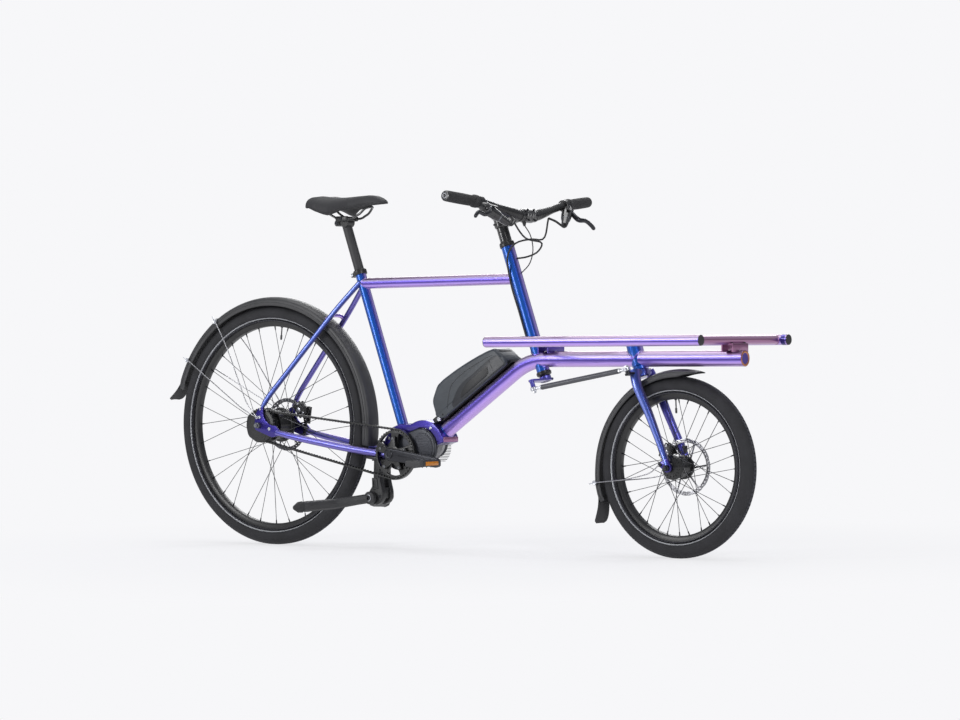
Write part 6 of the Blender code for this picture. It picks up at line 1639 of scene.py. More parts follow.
def build_steering_arm():
    """The steering arm clamped below the rear head tube, with its stud and bolts."""
    arm_top, arm_low = -0.0519, -0.0669
    work = bmesh.new()
    lathe(
        work,
        [
            (0.0, arm_low), (0.0160, arm_low), (0.0170, arm_low + 0.001), (0.0170, arm_top - 0.001),
            (0.0160, arm_top), (0.0, arm_top)
        ],
        STEER_CROSS, STEER_UP, 40
    )
    level = arm_low + 0.0025
    eye = on_steer(level) + sideways(-0.070)
    shape = hull([((0.0, 0.0), 0.0150), ((0.070, 0.0), 0.0092)], 30)
    plate(work, shape, 0.0062, frame_at(on_steer(level + 0.0006), STEER_UP, (0, -1, 0)), round_r=0.0016)
    rod(work, eye, REAR_BALL + STEER_UP * 0.0055, 0.0066, 24, round_end=0.0006)
    piece("steering_arm", work, "indigo", "steering", crease=36.0)
    work = bmesh.new()
    rod(work, eye, REAR_BALL - STEER_UP * 0.0125, 0.0038, 20, round_end=0.0006)
    bolt(work, REAR_BALL - STEER_UP * 0.0064, -STEER_UP, 0.0060, 0.0046, True)
    bolt(work, on_steer(arm_low + 0.0080) + Vector((0.0120, 0.0150, 0.0)), (0, 1, 0), 0.0042, 0.0034)
    piece("steering_arm_bolts", work, "silver", "steering")


# Cockpit

BAR = Vector((0.9500, 0.0, 0.9670))
GRIP_LENGTH = 0.128


def bar_route():
    """The handlebar's middle line from the right end to the left one."""
    start, end = Vector((0.937, 0.190, 1.000)), Vector((0.921, 0.345, 1.016))
    bend = [
        tuple(BAR), (BAR.x, 0.030, BAR.z), (0.9480, 0.075, 0.9750), (0.9430, 0.130, 0.9870), tuple(start),
        tuple(start.lerp(end, 0.08))
    ]
    half = [*smooth(bend, 26), tuple(end)]
    return [(x, -y, z) for x, y, z in half[:0:-1]] + half


def grip_ends(side):
    """The inner and the outer end of a grip's middle line, and its direction."""
    end = Vector((0.921, side * 0.345, 1.016))
    inner = Vector((0.937, side * 0.190, 1.000)).lerp(end, 0.08)
    along = (end - inner).normalized()
    return end - along * GRIP_LENGTH, end, along


def build_handlebar():
    """The handlebar from grip to grip."""
    work = bmesh.new()
    route = bar_route()
    radii = list(np.interp([abs(p[1]) for p in route], [0.060, 0.13], [0.0159, 0.0111]))
    sweep(work, route, radii, 28)
    piece("handlebar_tube", work, "satin", "steering", ["handlebar"])


def build_stem():
    """The stem with its ribbed collar round the bar, and its bolts."""
    work = bmesh.new()
    mid = on_steer(STEM_FOOT + 0.0213)
    lathe(
        work,
        [
            (0.0, 0.0215), (0.0150, 0.0215), (0.0178, 0.0205), (0.0188, 0.0180), (0.0188, -0.0190),
            (0.0180, -0.0207), (0.0144, -0.0207)
        ],
        mid, STEER_UP, 44
    )
    reach = BAR - mid
    block(work, mid + reach * 0.5, (reach.length, 0.0310, 0.0300), reach, STEER_UP, 0.0085, 4)
    collar = [(0.0161, -0.0230), (0.0190, -0.0230)]
    for h in (-0.0200, -0.0120, -0.0040, 0.0040, 0.0120):
        collar += [(0.0202, h), (0.0206, h + 0.0015), (0.0202, h + 0.0060), (0.0193, h + 0.0070)]
    lathe(work, [*collar, (0.0190, 0.0230), (0.0161, 0.0230), (0.0161, -0.0230)], BAR, SIDE, 44)
    for h in (-0.0195, 0.0195):
        lathe(
            work,
            [(0.0186, -0.0050), (0.0204, -0.0042), (0.0210, 0.0), (0.0204, 0.0042), (0.0186, 0.0050)],
            mid + STEER_UP * (h * 0.7), STEER_UP, 44
        )
    piece("stem_body", work, "gloss", "steering", ["stem"], 36.0)
    work = bmesh.new()
    forward = reach.normalized()
    for sy in (-1, 1):
        for up in (-1, 1):
            spot = BAR + forward * 0.0150 + sideways(sy * 0.0150) + forward.cross(SIDE) * (up * 0.0152)
            bolt(work, spot, forward, 0.0032, 0.0040)
    bolt(work, mid + STEER_UP * 0.0205, STEER_UP, 0.0052, 0.0024)
    for h in (-0.010, 0.010):
        bolt(work, mid + STEER_UP * h - forward * 0.0130 + sideways(-0.0120), SIDE, 0.0034, 0.0060)
    piece("stem_bolts", work, "anodised", "steering")


def build_bar_bands():
    """The rubber bands on the bar beside the stem."""
    work = bmesh.new()
    for y in (-0.0270, -0.0350, 0.0270, 0.0350):
        lathe(
            work,
            [(0.0158, -0.0030), (0.0176, -0.0024), (0.0180, 0.0), (0.0176, 0.0024), (0.0158, 0.0030)],
            (BAR.x, y, BAR.z), SIDE, 36
        )
    piece("bar_bands", work, "gloss", "steering")


def build_grip(side, name):
    """A ribbed grip with a flange and a ringed end plug."""
    inner, end, along = grip_ends(side)
    profile = [
        (0.0114, 0.0), (0.0176, 0.0), (0.0184, 0.0012), (0.0184, 0.0128), (0.0172, 0.0148),
        (0.0155, 0.0162)
    ]
    for k in range(22):
        h = 0.0180 + k * 0.0048
        swell = 0.0006 * math.sin((h - 0.018) / 0.106 * math.pi)
        profile += [
            (0.0155 + swell, h), (0.0155 + swell, h + 0.0031), (0.0148 + swell, h + 0.0036),
            (0.0148 + swell, h + 0.0043)
        ]
    profile += [(0.0155, 0.1245), (0.0152, 0.1272), (0.0140, 0.1284)]
    work = bmesh.new()
    lathe(work, profile, inner, along, 40)
    piece("grip_sleeve_" + name, work, "rubber", "steering", ["grip_" + name], 40.0)
    work = bmesh.new()
    lathe(
        work,
        [
            (0.0, 0.0030), (0.0062, 0.0034), (0.0070, 0.0026), (0.0082, 0.0034), (0.0130, 0.0030),
            (0.0142, 0.0012), (0.0142, -0.0010)
        ],
        end, along, 36
    )
    piece("grip_plug_" + name, work, "gloss", "steering")
    work = bmesh.new()
    lathe(work, [(0.0064, 0.0028), (0.0064, 0.0040), (0.0076, 0.0040), (0.0076, 0.0028)], end, along, 36)
    piece("grip_plug_ring_" + name, work, "silver", "steering")


def brake_spots(side):
    """Clamp, lever pivot and the cylinder's inner end of one brake."""
    inner, _, along = grip_ends(side)
    clamp = inner - along * 0.0120
    return along, clamp, clamp + Vector((0.0300, -side * 0.012, -0.0190)), clamp + Vector(
        (0.0230, -side * 0.1020, -0.0360)
    )


def build_brake(side, name):
    """A hydraulic brake: clamp band, hanging reservoir with its lid, hose elbow and collar."""
    along, clamp, _, tail = brake_spots(side)
    work = bmesh.new()
    lathe(
        work,
        [
            (0.0112, -0.0100), (0.0152, -0.0100), (0.0172, -0.0085), (0.0172, 0.0085), (0.0152, 0.0100),
            (0.0112, 0.0100), (0.0112, -0.0100)
        ],
        clamp, along, 36
    )
    block(
        work, clamp + Vector((0.0150, 0, -0.0130)), (0.026, 0.0170, 0.0170), (1, 0, -0.7), (0.7, 0, 1),
        0.003
    )
    piece("brake_clamp_" + name, work, "satin", "steering", ["brake_cylinder_" + name], 36.0)
    head, foot = clamp + Vector((0.0120, 0.0, -0.0120)), clamp + Vector((0.0500, -side * 0.0700, -0.0600))
    work = bmesh.new()
    route = [head.lerp(foot, t) for t in (-0.10, -0.02, 0.08, 0.34, 0.58, 0.66, 0.92, 1.0)]
    sweep(work, route, [0.0080, 0.0130, 0.0160, 0.0158, 0.0142, 0.0112, 0.0098, 0.0080], 26, flat=1.06)
    piece("brake_reservoir_" + name, work, "gloss", "steering", crease=40.0)
    work = bmesh.new()
    inner = tail + Vector((0.0020, -side * 0.0120, -0.0035))
    elbow = [
        foot - (foot - head).normalized() * 0.006, foot + (foot - head).normalized() * 0.010,
        foot.lerp(inner, 0.55) + Vector((0.0080, -side * 0.0120, 0.0)), inner
    ]
    sweep(work, smooth(elbow, 22), 0.0034, 12)
    lid = head.lerp(foot, 0.24) + Vector((0.0070, 0.0, 0.0145))
    block(work, lid, (0.042, 0.0150, 0.0030), foot - head, (0.45, 0, 1), 0.0010)
    piece("brake_elbow_" + name, work, "satin", "steering")
    work = bmesh.new()
    for t in (0.10, 0.38):
        bolt(work, head.lerp(foot, t) + Vector((0.0076, 0, 0.0160)), (0.45, 0, 1), 0.0024, 0.0012)
    lathe(
        work, [(0.0090, -0.0030), (0.0122, -0.0030), (0.0126, 0.0), (0.0122, 0.0030), (0.0090, 0.0030)],
        head.lerp(foot, 0.64), foot - head, 28
    )
    piece("brake_ring_" + name, work, "blade", "steering")


def build_brake_lever(side, name):
    """The lever blade, bent outwards to a finger rest, and its pin."""
    pin = brake_spots(side)[2] + Vector((0.0020, 0.0, 0.0))
    if side > 0:
        bends = [
            (0.0240, 0.0040, -0.0235), (0.0300, 0.0306, -0.0265), (0.0310, 0.0560, -0.0380),
            (0.0300, 0.0750, -0.0500)
        ]
    else:
        bends = [
            (0.0140, -0.0300, -0.0130), (0.0170, -0.0525, -0.0177), (0.0200, -0.0850, -0.0130),
            (0.0200, -0.1020, -0.0265)
        ]
    route = smooth([tuple(pin + Vector((-0.0020, 0, 0))), *[tuple(pin + Vector(b)) for b in bends]], 34)
    radii = list(
        np.interp(range(34), [0, 8, 20, 30, 32, 33], [0.0056, 0.0064, 0.0050, 0.0050, 0.0046, 0.0030])
    )
    work = bmesh.new()
    sweep(work, route, radii, 22, flat=1.2)
    lathe(
        work,
        [
            (0.0, 0.0040), (0.0062, 0.0040), (0.0072, 0.0030), (0.0072, -0.0030), (0.0062, -0.0040),
            (0.0, -0.0040)
        ],
        pin, UP, 28
    )
    piece("lever_blade_" + name, work, "anodised", "lever_" + name, ["brake_lever_" + name], 40.0)
    work = bmesh.new()
    rod(work, pin - UP * 0.0068, pin + UP * 0.0068, 0.0026, 16, round_end=0.0005)
    piece("lever_pin_" + name, work, "silver", "steering")


# Saddle and post

def saddle_ring(t, count=40):
    """One closed section of the saddle's padded cover, rear to nose."""
    half = float(np.interp(t, [0.0, 0.02, 0.06, 0.20, 0.36, 0.55, 0.75, 0.93, 0.985, 1.0],
                           [0.044, 0.056, 0.069, 0.0772, 0.066, 0.0362, 0.0225, 0.0190, 0.0145, 0.0085]))
    crown = float(
        np.interp(
            t, [0.0, 0.03, 0.08, 0.20, 0.35, 0.50, 0.62, 0.80, 0.88, 0.94, 0.98, 1.0],
            [
                1.0330, 1.0400, 1.0440, 1.0455, 1.0395, 1.0395, 1.0415, 1.0440, 1.0415, 1.0350, 1.0290,
                1.0230
            ]
        )
    )
    edge = float(
        np.interp(
            t, [0.0, 0.10, 0.20, 0.30, 0.35, 0.40, 0.50, 0.60, 0.75, 1.0],
            [1.0100, 1.0090, 0.9990, 0.9890, 0.9860, 0.9900, 1.0020, 1.0070, 1.0150, 1.0180]
        )
    )
    under = float(np.interp(t, [0.0, 0.25, 0.5, 0.8, 1.0], [1.0130, 1.0080, 1.0120, 1.0200, 1.0195]))
    drop = crown - edge
    dip = 0.0016 * math.exp(-((t - 0.3) / 0.26) ** 2)
    shape = [
        (0.0, crown - dip), (0.24 * half, crown - 0.3 * dip), (0.46 * half, crown - 0.01 * drop),
        (0.74 * half, crown - 0.13 * drop), (0.93 * half, crown - 0.42 * drop),
        (half, edge + 0.26 * drop), (0.975 * half, edge + 0.04 * drop), (0.90 * half, edge),
        (0.80 * half, edge + 0.0022), (0.45 * half, under), (0.0, under)
    ]
    right = smooth(shape, count)
    return [*right, *[(-y, z) for y, z in right[-2:0:-1]]]


def build_saddle():
    """The padded cover with its seam."""
    work = bmesh.new()
    rings = []
    for t in [*np.linspace(0.0, 0.08, 8), *np.linspace(0.10, 0.92, 34), *np.linspace(0.94, 1.0, 9)]:
        x = SADDLE_REAR + t * SADDLE_LENGTH
        rings.append([Vector((x, y, z)) for y, z in saddle_ring(float(t))])
    skin(work, rings, caps=True)
    cover = piece("saddle_cover", work, "saddle", "seat", ["saddle"], 60.0)
    work = bmesh.new()
    for side in (-1, 1):
        route = []
        for t in np.linspace(0.03, 0.97, 40):
            row = saddle_ring(float(t))[:40]
            y, z = row[22]
            route.append((SADDLE_REAR + float(t) * SADDLE_LENGTH, side * (y + 0.0003), z))
        sweep(work, route, 0.0009, 8)
    piece("saddle_seam", work, "rubber", "seat")


def build_seat_post():
    """The seat post, its clamp head and the clamp's bolts."""
    work = bmesh.new()
    top, length = seat_at(0.9620), 0.270
    lathe(
        work, [(0.0125, 0.0), (0.0143, 0.0006), (0.0143, length), (0.0, length + 0.0006)],
        top - SEAT_UP * length, SEAT_UP, 40
    )
    piece("seat_post_tube", work, "matte", "seat", ["seat_post"])
    work = bmesh.new()
    centre = seat_at(0.974)
    rod(
        work, seat_at(0.965) + Vector((0.006, -0.0170, 0)), seat_at(0.965) + Vector((0.006, 0.0170, 0)),
        0.0145, 36, round_end=0.0015
    )
    for sy in (-1, 1):
        block(
            work, (centre.x + 0.006, sy * 0.0225, 0.9765), (0.0440, 0.0130, 0.0150), round_r=0.0035,
            segments=3
        )
    block(work, (centre.x + 0.006, 0.0, 0.9740), (0.0400, 0.0340, 0.0100), round_r=0.003)
    rod(
        work, (centre.x - 0.021, -0.0150, 0.9640), (centre.x - 0.021, 0.0150, 0.9640), 0.0095, 32,
        round_end=0.0012
    )
    block(work, (centre.x - 0.010, 0.0, 0.9670), (0.030, 0.024, 0.0125), round_r=0.003)
    piece("post_clamp", work, "satin", "seat", crease=36.0)
    work = bmesh.new()
    for sy in (-1, 1):
        bolt(work, (centre.x - 0.021, sy * 0.0150, 0.9640), (0, sy, 0), 0.0060, 0.0020)
        bolt(work, (centre.x + 0.006, sy * 0.0290, 0.9765), (0, sy, 0), 0.0048, 0.0026)
    piece("post_bolts", work, "anodised", "seat")
    build_saddle_rails(centre.x + 0.006)


def build_seat_collar():
    """The collar that clamps the seat post, with its lug and bolt."""
    work = bmesh.new()
    collar = seat_at(SEAT_TUBE_TOP - 0.0065)
    lathe(
        work,
        [
            (0.0161, -0.0075), (0.0196, -0.0075), (0.0203, -0.0062), (0.0203, 0.0055), (0.0188, 0.0075),
            (0.0161, 0.0075), (0.0161, -0.0075)
        ],
        collar, SEAT_UP, 40
    )
    back = -SEAT_UP.cross(Vector((0.0, 1.0, 0.0)))
    back = back if back.x < 0 else -back
    lug = collar + back * 0.0234
    for sy in (-1, 1):
        block(work, lug + sideways(sy * 0.0056), (0.0130, 0.0080, 0.0120), back, SEAT_UP, 0.0018)
    piece("seat_collar", work, "satin", "frame", ["seat_clamp"], 36.0)
    work = bmesh.new()
    rod(work, lug - sideways(0.0125), lug + sideways(0.0125), 0.0026, 16)
    for sy in (-1, 1):
        bolt(work, lug + sideways(sy * 0.0098), (0, sy, 0), 0.0046, 0.0028)
    piece("seat_collar_bolt", work, "silver", "frame")


def build_saddle_rails(middle_x):
    """The bent wire that carries the saddle, in one piece."""
    half = [
        (0.2160, 0.0300, 1.0080), (0.2400, 0.0260, 0.9920), (0.2620, 0.0230, 0.9800),
        (middle_x - 0.0200, 0.0220, 0.9770), (0.3250, 0.0220, 0.9775), (0.3400, 0.0210, 0.9840),
        (0.3528, 0.0200, 0.9900), (0.3700, 0.0160, 1.0050), (0.3800, 0.0060, 1.0090),
    ]
    route = smooth([*half, *[(x, -yy, zz) for x, yy, zz in reversed(half)]], 140)
    work = bmesh.new()
    sweep(work, route, 0.0035, 18)
    piece("saddle_wire", work, "gloss", "seat", ["saddle_rails"])


# Battery

def tube_place(y=0.0, s=0.0, t=0.0):
    """The placement of outlines drawn along the down tube."""
    return frame_at(DOWN_START - DOWN * s + TUBE_UP * t + sideways(y), SIDE, -DOWN)


def battery_shape():
    """The side view of the battery along the down tube."""
    return rounded(
        [
            (0.0300, 0.0400), (0.0430, 0.0860), (0.0850, 0.1130), (0.1133, 0.1150), (0.1644, 0.1119),
            (0.2136, 0.1061), (0.2609, 0.0980), (0.2916, 0.0915), (0.3180, 0.0830), (0.3290, 0.0500),
            (0.3320, 0.0303), (0.0400, 0.0303),
        ],
        6, 0.30
    )


def build_battery():
    """The battery with its stepped sides, skirts and seams."""
    work = bmesh.new()
    plate(work, battery_shape(), 0.0880, tube_place(), round_r=0.0105, segments=6)
    for side in (-1, 1):
        skirt = [
            (0.0310, 0.0400), (0.0480, 0.0200), (0.3290, 0.0200), (0.3310, 0.0370), (0.3270, 0.0480),
            (0.0400, 0.0560)
        ]
        plate(work, rounded(skirt, 5), 0.0120, tube_place(side * 0.0378), round_r=0.0030, segments=4)
    piece("battery_case", work, "shell", "battery", ["battery"], 45.0)
    work = bmesh.new()
    # The side panels take a darker black: painted shade of the recess that they stand for.
    for side in (-1, 1):
        panel = [
            (0.1000, 0.0230), (0.1019, 0.0353), (0.1179, 0.0454), (0.1434, 0.0596), (0.1747, 0.0655),
            (0.2128, 0.0640), (0.2578, 0.0655), (0.2823, 0.0655), (0.3040, 0.0640), (0.3200, 0.0560),
            (0.3260, 0.0240), (0.3200, 0.0215),
        ]
        plate(work, rounded(panel, 5), 0.0016, tube_place(side * 0.0443), round_r=0.0007, segments=2)
    piece("battery_side_panels", work, "side_panel_painted_shade", "battery")
    work = bmesh.new()
    # The inner panels take a still darker black, which is painted deeper shade; the seam line in the same
    # black is a dark joint.
    for side in (-1, 1):
        panel = [
            (0.1340, 0.0310), (0.1600, 0.0500), (0.1850, 0.0557), (0.2720, 0.0555), (0.2630, 0.0340),
            (0.2500, 0.0300)
        ]
        plate(work, rounded(panel, 6), 0.0014, tube_place(side * 0.0453), round_r=0.0006, segments=2)
        seam = [(0.2770, 0.0225), (0.2778, 0.0225), (0.2860, 0.0650), (0.2852, 0.0650)]
        plate(work, seam, 0.0006, tube_place(side * 0.0452))
    piece("battery_inner_panels", work, "inner_panel_painted_shade_and_seams", "battery")
    work = bmesh.new()
    for side in (-1, 1):
        place = tube_place(side * 0.0440)
        line = [
            (0.0800, 0.0340), (0.0960, 0.0520), (0.1300, 0.0800), (0.1800, 0.0860), (0.2500, 0.0790),
            (0.3000, 0.0700)
        ]
        route = smooth([tuple(place @ Vector((x, y, 0.0))) for x, y in line], 60)
        sweep(work, route, 0.0007, 6)
    piece("battery_seams", work, "gloss", "battery")
    work = bmesh.new()
    for side in (-1, 1):
        spot = tube_place(side * 0.0430, 0.0560, 0.0290).translation
        bolt(work, spot, (0, side, 0), 0.0024, 0.0020)
    plate(
        work, rounded([(0.3255, 0.0340), (0.3275, 0.0340), (0.3230, 0.0720), (0.3210, 0.0720)], 4),
        0.0620, tube_place(), round_r=0.0006
    )
    piece("battery_end_cap", work, "inner_panel_painted_shade_and_seams", "battery")


def build_cradle():
    """The rail that the battery stands on."""
    work = bmesh.new()
    base = [(0.0300, 0.0228), (0.3350, 0.0228), (0.3350, 0.0300), (0.0300, 0.0300)]
    plate(work, base, 0.0440, tube_place(), round_r=0.0014)
    piece("cradle", work, "satin", "frame", ["battery_cradle"])


def rounded(corners, steps, share=0.36):
    """An outline with its corners rounded."""
    made = []
    count = len(corners)
    for i in range(count):
        a, b, c = Vector(corners[i - 1]), Vector(corners[i]), Vector(corners[(i + 1) % count])
        reach = min((a - b).length, (c - b).length) * share
        near, far = b + (a - b).normalized() * reach, b + (c - b).normalized() * reach
        for k in range(steps):
            t = k / (steps - 1)
            made.append(tuple(near * (1 - t) ** 2 + b * 2 * t * (1 - t) + far * t * t))
    return made


# Fender stays and flaps

def clip_route(axle, radius, turn, route):
    """A wire stay up to its fender, over it in a clip, and down the other side."""
    out = facing(turn)
    edge = Vector(axle) + out * (radius - 0.0130)
    over = Vector(axle) + out * (radius + 0.0020 + STAY_WIRE_R + GAP)
    half = 0.0285 + 0.0020 + STAY_WIRE_R + 0.0008
    right = [Vector(p) for p in route]
    right += [edge + sideways(-half) - out * 0.004, edge + sideways(-half) + out * 0.0075,
              over + sideways(-half * 0.72) - out * 0.0026]
    left = [Vector((p.x, -p.y, p.z)) for p in reversed(right)]
    return [*right, over, *left]


def build_rear_stays():
    """The rear fender's two wire stays, with their clamps and screws."""
    wire = bmesh.new()
    fittings = bmesh.new()
    eye_y = DROPOUT_Y + 0.0060 + STAY_WIRE_R + GAP
    eyelet = Vector((-0.0030, -eye_y, 0.3845))
    upper = [eyelet, eyelet + Vector((-0.0420, 0, 0.0420)), Vector((-0.1410, -0.0520, 0.5890))]
    lower = [eyelet, eyelet + Vector((-0.0550, 0, 0.0240))]
    for turn, route in ((123.5, upper), (148.5, lower)):
        sweep(wire, eased(clip_route(REAR_AXLE, REAR_FENDER_R, math.radians(turn), route)), STAY_WIRE_R, 12)
        clamp_at(fittings, REAR_AXLE, REAR_FENDER_R, math.radians(turn))
    for side in (-1, 1):
        bolt(fittings, (eyelet.x, side * (eye_y - 0.001), eyelet.z), (0, side, 0), 0.0052, 0.0048)
    piece("rear_stay_wires", wire, "stay_wire", "frame", ["rear_fender_stays"])
    piece("rear_stay_fittings", fittings, "silver", "frame")


def build_front_stay():
    """The front fender's wire stay, with its clamps."""
    wire, fittings = bmesh.new(), bmesh.new()
    front_y = 0.0605 + STAY_WIRE_R + GAP
    eye = Vector((1.4435, -front_y, 0.2620))
    route = [eye, eye + Vector((-0.0300, 0, -0.0240)), Vector((1.3400, -front_y, 0.2200))]
    sweep(wire, eased(clip_route(FRONT_AXLE, FRONT_FENDER_R, math.radians(190.0), route)), STAY_WIRE_R, 12)
    clamp_at(fittings, FRONT_AXLE, FRONT_FENDER_R, math.radians(190.0))
    piece("front_stay_wire", wire, "stay_wire", "fork", ["front_fender_stay"])
    piece("front_stay_fittings", fittings, "silver", "fork")


def clamp_at(work, axle, radius, turn):
    """The round clamps that hold a stay at each side of a fender, with its ends sticking out."""
    out = facing(turn)
    for side in (-1, 1):
        spot = Vector(axle) + out * (radius - 0.0080) + sideways(side * 0.0312)
        lathe(
            work,
            [
                (0.0, 0.0052), (0.0018, 0.0052), (0.0022, 0.0064), (0.0050, 0.0068), (0.0066, 0.0056),
                (0.0068, 0.0010), (0.0060, 0.0)
            ],
            spot, (0, side, 0), 24
        )
        rod(
            work, spot + sideways(side * 0.0030), spot + out * 0.0190 + sideways(side * 0.0030),
            STAY_WIRE_R, 10
        )


def build_flap(name, axle, radius, turn, length, flare, half, body):
    """A rubber flap below a fender's end, with its two rivets."""
    out = facing(turn)
    on = Vector((-math.sin(turn), 0.0, math.cos(turn)))
    start = Vector(axle) + out * (radius + 0.0005) - on * 0.016
    rows = []
    steps = 14
    for i in range(steps + 1):
        s = i / steps
        bend = flare * (0.35 + 0.65 * s)
        direction = (on + out * bend).normalized()
        middle = start + direction * (length * s)
        wide = half * (0.80 + 0.20 * min(1.0, s * 1.4))
        if s > 0.82:
            wide -= 0.012 * (1.0 - math.sqrt(max(0.0, 1.0 - ((s - 0.82) / 0.18) ** 2)))
        crown = 0.0050 * (1.0 - s * 0.6)
        normal = direction.cross(Vector((0, 1, 0)))
        normal = normal if normal.dot(out) > 0 else -normal
        row = []
        for k in range(13):
            v = -1.0 + k / 6.0
            row.append(middle + sideways(v * wide) - normal * (crown * v * v))
        under = [p - normal * 0.0024 for p in reversed(row)]
        rows.append([*row, *under])
    work = bmesh.new()
    skin(work, rows, caps=True)
    piece(name + "_flap", work, "rubber", body, crease=50.0)
    work = bmesh.new()
    for side in (-1, 1):
        spot = start + on * 0.009 + out * 0.0012 + sideways(side * 0.0110)
        lathe(work, [(0.0, 0.0016), (0.0018, 0.0014), (0.0034, 0.0004), (0.0036, -0.0006)], spot, out, 16)
    piece(name + "_flap_rivets", work, "silver", body)


# Hubs, discs, calipers and the rear axle

def build_disc(name, axle, y, body):
    """A brake disc: a narrow ring of slanted slots, curved arms and a small carrier."""
    windows = [ring(0.0150, 40)]
    for i in range(6):
        start = 60.0 * i
        windows.append(
            [
                *arc((0, 0), 0.0684, start + 7.0, start + 63.5, 14),
                *arc((0, 0), 0.0270, start + 51.0, start + 2.0, 10)
            ]
        )
    for k in range(40):
        t = 9.0 * k
        windows.append(
            [*arc((0, 0), 0.0766, t + 3.4, t + 4.8, 3), *arc((0, 0), 0.0716, t + 2.8, t + 1.4, 3)]
        )
    shape = []
    for k in range(120):
        r = 0.0800 - (0.0010 if k % 10 in (4, 5, 6) else 0.0)
        shape += arc((0, 0), r, 3.0 * k, 3.0 * k, 1)
    work = bmesh.new()
    plate(work, shape, 0.0020, frame_at(axle + sideways(y), SIDE), windows, 0.0002, 1)
    # The rear disc takes the darker copy of the disc steel: painted shade.
    piece(name + "_disc", work, "disc" if name == "front" else "disc_in_painted_shade", body, [name + "_rotor"], 25.0)
    work = bmesh.new()
    lathe(
        work, [(0.0150, 0.0), (0.0200, 0.0), (0.0200, 0.0016), (0.0180, 0.0030), (0.0150, 0.0030)],
        axle + sideways(y + 0.001), (0, 1, 0), 36
    )
    piece(name + "_disc_lockring", work, "anodised", body)


def build_rear_hub():
    """The geared rear hub, with ribs and bolts on its right face."""
    profile = [
        (0.0064, 0.0480), (0.0236, 0.0480), (0.0250, 0.0470), (0.0262, 0.0430), (0.0390, 0.0372),
        (0.0402, 0.0360), (0.0462, 0.0342), (0.0505, 0.0338), (0.0520, 0.0330), (0.0520, 0.0268),
        (0.0505, 0.0260), (0.0470, 0.0258), (0.0452, 0.0230), (0.0448, 0.0), (0.0452, -0.0230),
        (0.0470, -0.0258), (0.0505, -0.0260), (0.0520, -0.0268), (0.0520, -0.0330), (0.0505, -0.0338),
        (0.0462, -0.0342), (0.0320, -0.0400), (0.0224, -0.0446), (0.0220, -0.0546), (0.0150, -0.0546),
        (0.0150, -0.0612), (0.0064, -0.0612),
    ]
    work = bmesh.new()
    lathe(work, profile, REAR_AXLE, SIDE, 72)
    for out in round_ways(18):
        block(
            work, REAR_AXLE + out * 0.0300 + sideways(-0.0400), (0.0150, 0.0022, 0.0060), out, SIDE,
            0.0006, 1
        )
        bolt(work, REAR_AXLE + out * 0.0425 + sideways(-0.0345), SIDE, 0.0020, 0.0016)
    piece("rear_hub_shell", work, "ring_black", "rear_wheel", ["rear_hub"], 30.0)


def build_front_hub():
    """The front dynamo hub, with ribbed ends."""
    profile = [
        (0.0064, 0.0446), (0.0120, 0.0446), (0.0128, 0.0430), (0.0140, 0.0400), (0.0236, 0.0364),
        (0.0290, 0.0312), (0.0310, 0.0306), (0.0340, 0.0298), (0.0340, 0.0234), (0.0310, 0.0226),
        (0.0290, 0.0222), (0.0285, 0.0), (0.0290, -0.0222), (0.0310, -0.0226), (0.0340, -0.0234),
        (0.0340, -0.0298), (0.0310, -0.0306), (0.0220, -0.0322), (0.0220, -0.0370), (0.0150, -0.0372),
        (0.0150, -0.0446), (0.0064, -0.0446),
    ]
    work = bmesh.new()
    lathe(work, profile, FRONT_AXLE, SIDE, 72)
    for side in (-1, 1):
        for out in round_ways(16, 0.5):
            block(
                work, FRONT_AXLE + out * 0.0215 + sideways(side * 0.0345), (0.0120, 0.0020, 0.0070), out,
                SIDE, 0.0006, 1
            )
    for out in round_ways(12):
        block(work, FRONT_AXLE + out * 0.0288, (0.0018, 0.0030, 0.0400), out, SIDE, 0.0006, 1)
    piece("front_hub_shell", work, "ring_black", "front_wheel", ["front_hub"], 30.0)


def build_shift_unit():
    """The shift unit outside the right dropout, with its knurled edge."""
    work = bmesh.new()
    inner, outer = 0.0610, 0.0705
    lathe(
        work,
        [
            (0.0063, outer), (0.0380, outer), (0.0402, outer - 0.0018), (0.0420, outer - 0.0020),
            (0.0500, outer - 0.0032), (0.0500, inner), (0.0063, inner), (0.0063, outer)
        ],
        REAR_AXLE, SIDE, 60
    )
    housing = [
        (-0.0560, 0.3600), (-0.0480, 0.3280), (-0.0100, 0.3070), (0.0200, 0.3180), (0.0300, 0.3560),
        (0.0100, 0.4040), (-0.0220, 0.4080), (-0.0500, 0.3900)
    ]
    plate(
        work, rounded(housing, 6), 0.0080, side_place(-0.0660), [ring(0.0064, 20, (0.0, 0.361))], 0.0026,
        3
    )
    for out in round_ways(36):
        block(
            work, REAR_AXLE + out * 0.0508 + sideways(-0.0645), (0.0032, 0.0034, 0.0062), out, SIDE,
            0.0008, 1
        )
    piece("shift_unit", work, "satin", "frame", ["shift_actuator"], 30.0)


def build_rear_axle():
    """The rear axle with its nuts."""
    work = bmesh.new()
    for side in (-1, 1):
        spot = REAR_AXLE + sideways(side * 0.0778)
        lathe(
            work, [(0.0, 0.0147), (0.0056, 0.0147), (0.0060, 0.0138), (0.0060, 0.0)], spot, (0, side, 0),
            24
        )
        bolt(work, spot, (0, side, 0), 0.0098, 0.0092, True)
    rod(work, REAR_AXLE - sideways(0.078), REAR_AXLE + sideways(0.078), 0.0058, 20)
    piece("rear_axle_nuts", work, "blade", "frame", ["rear_axle"])


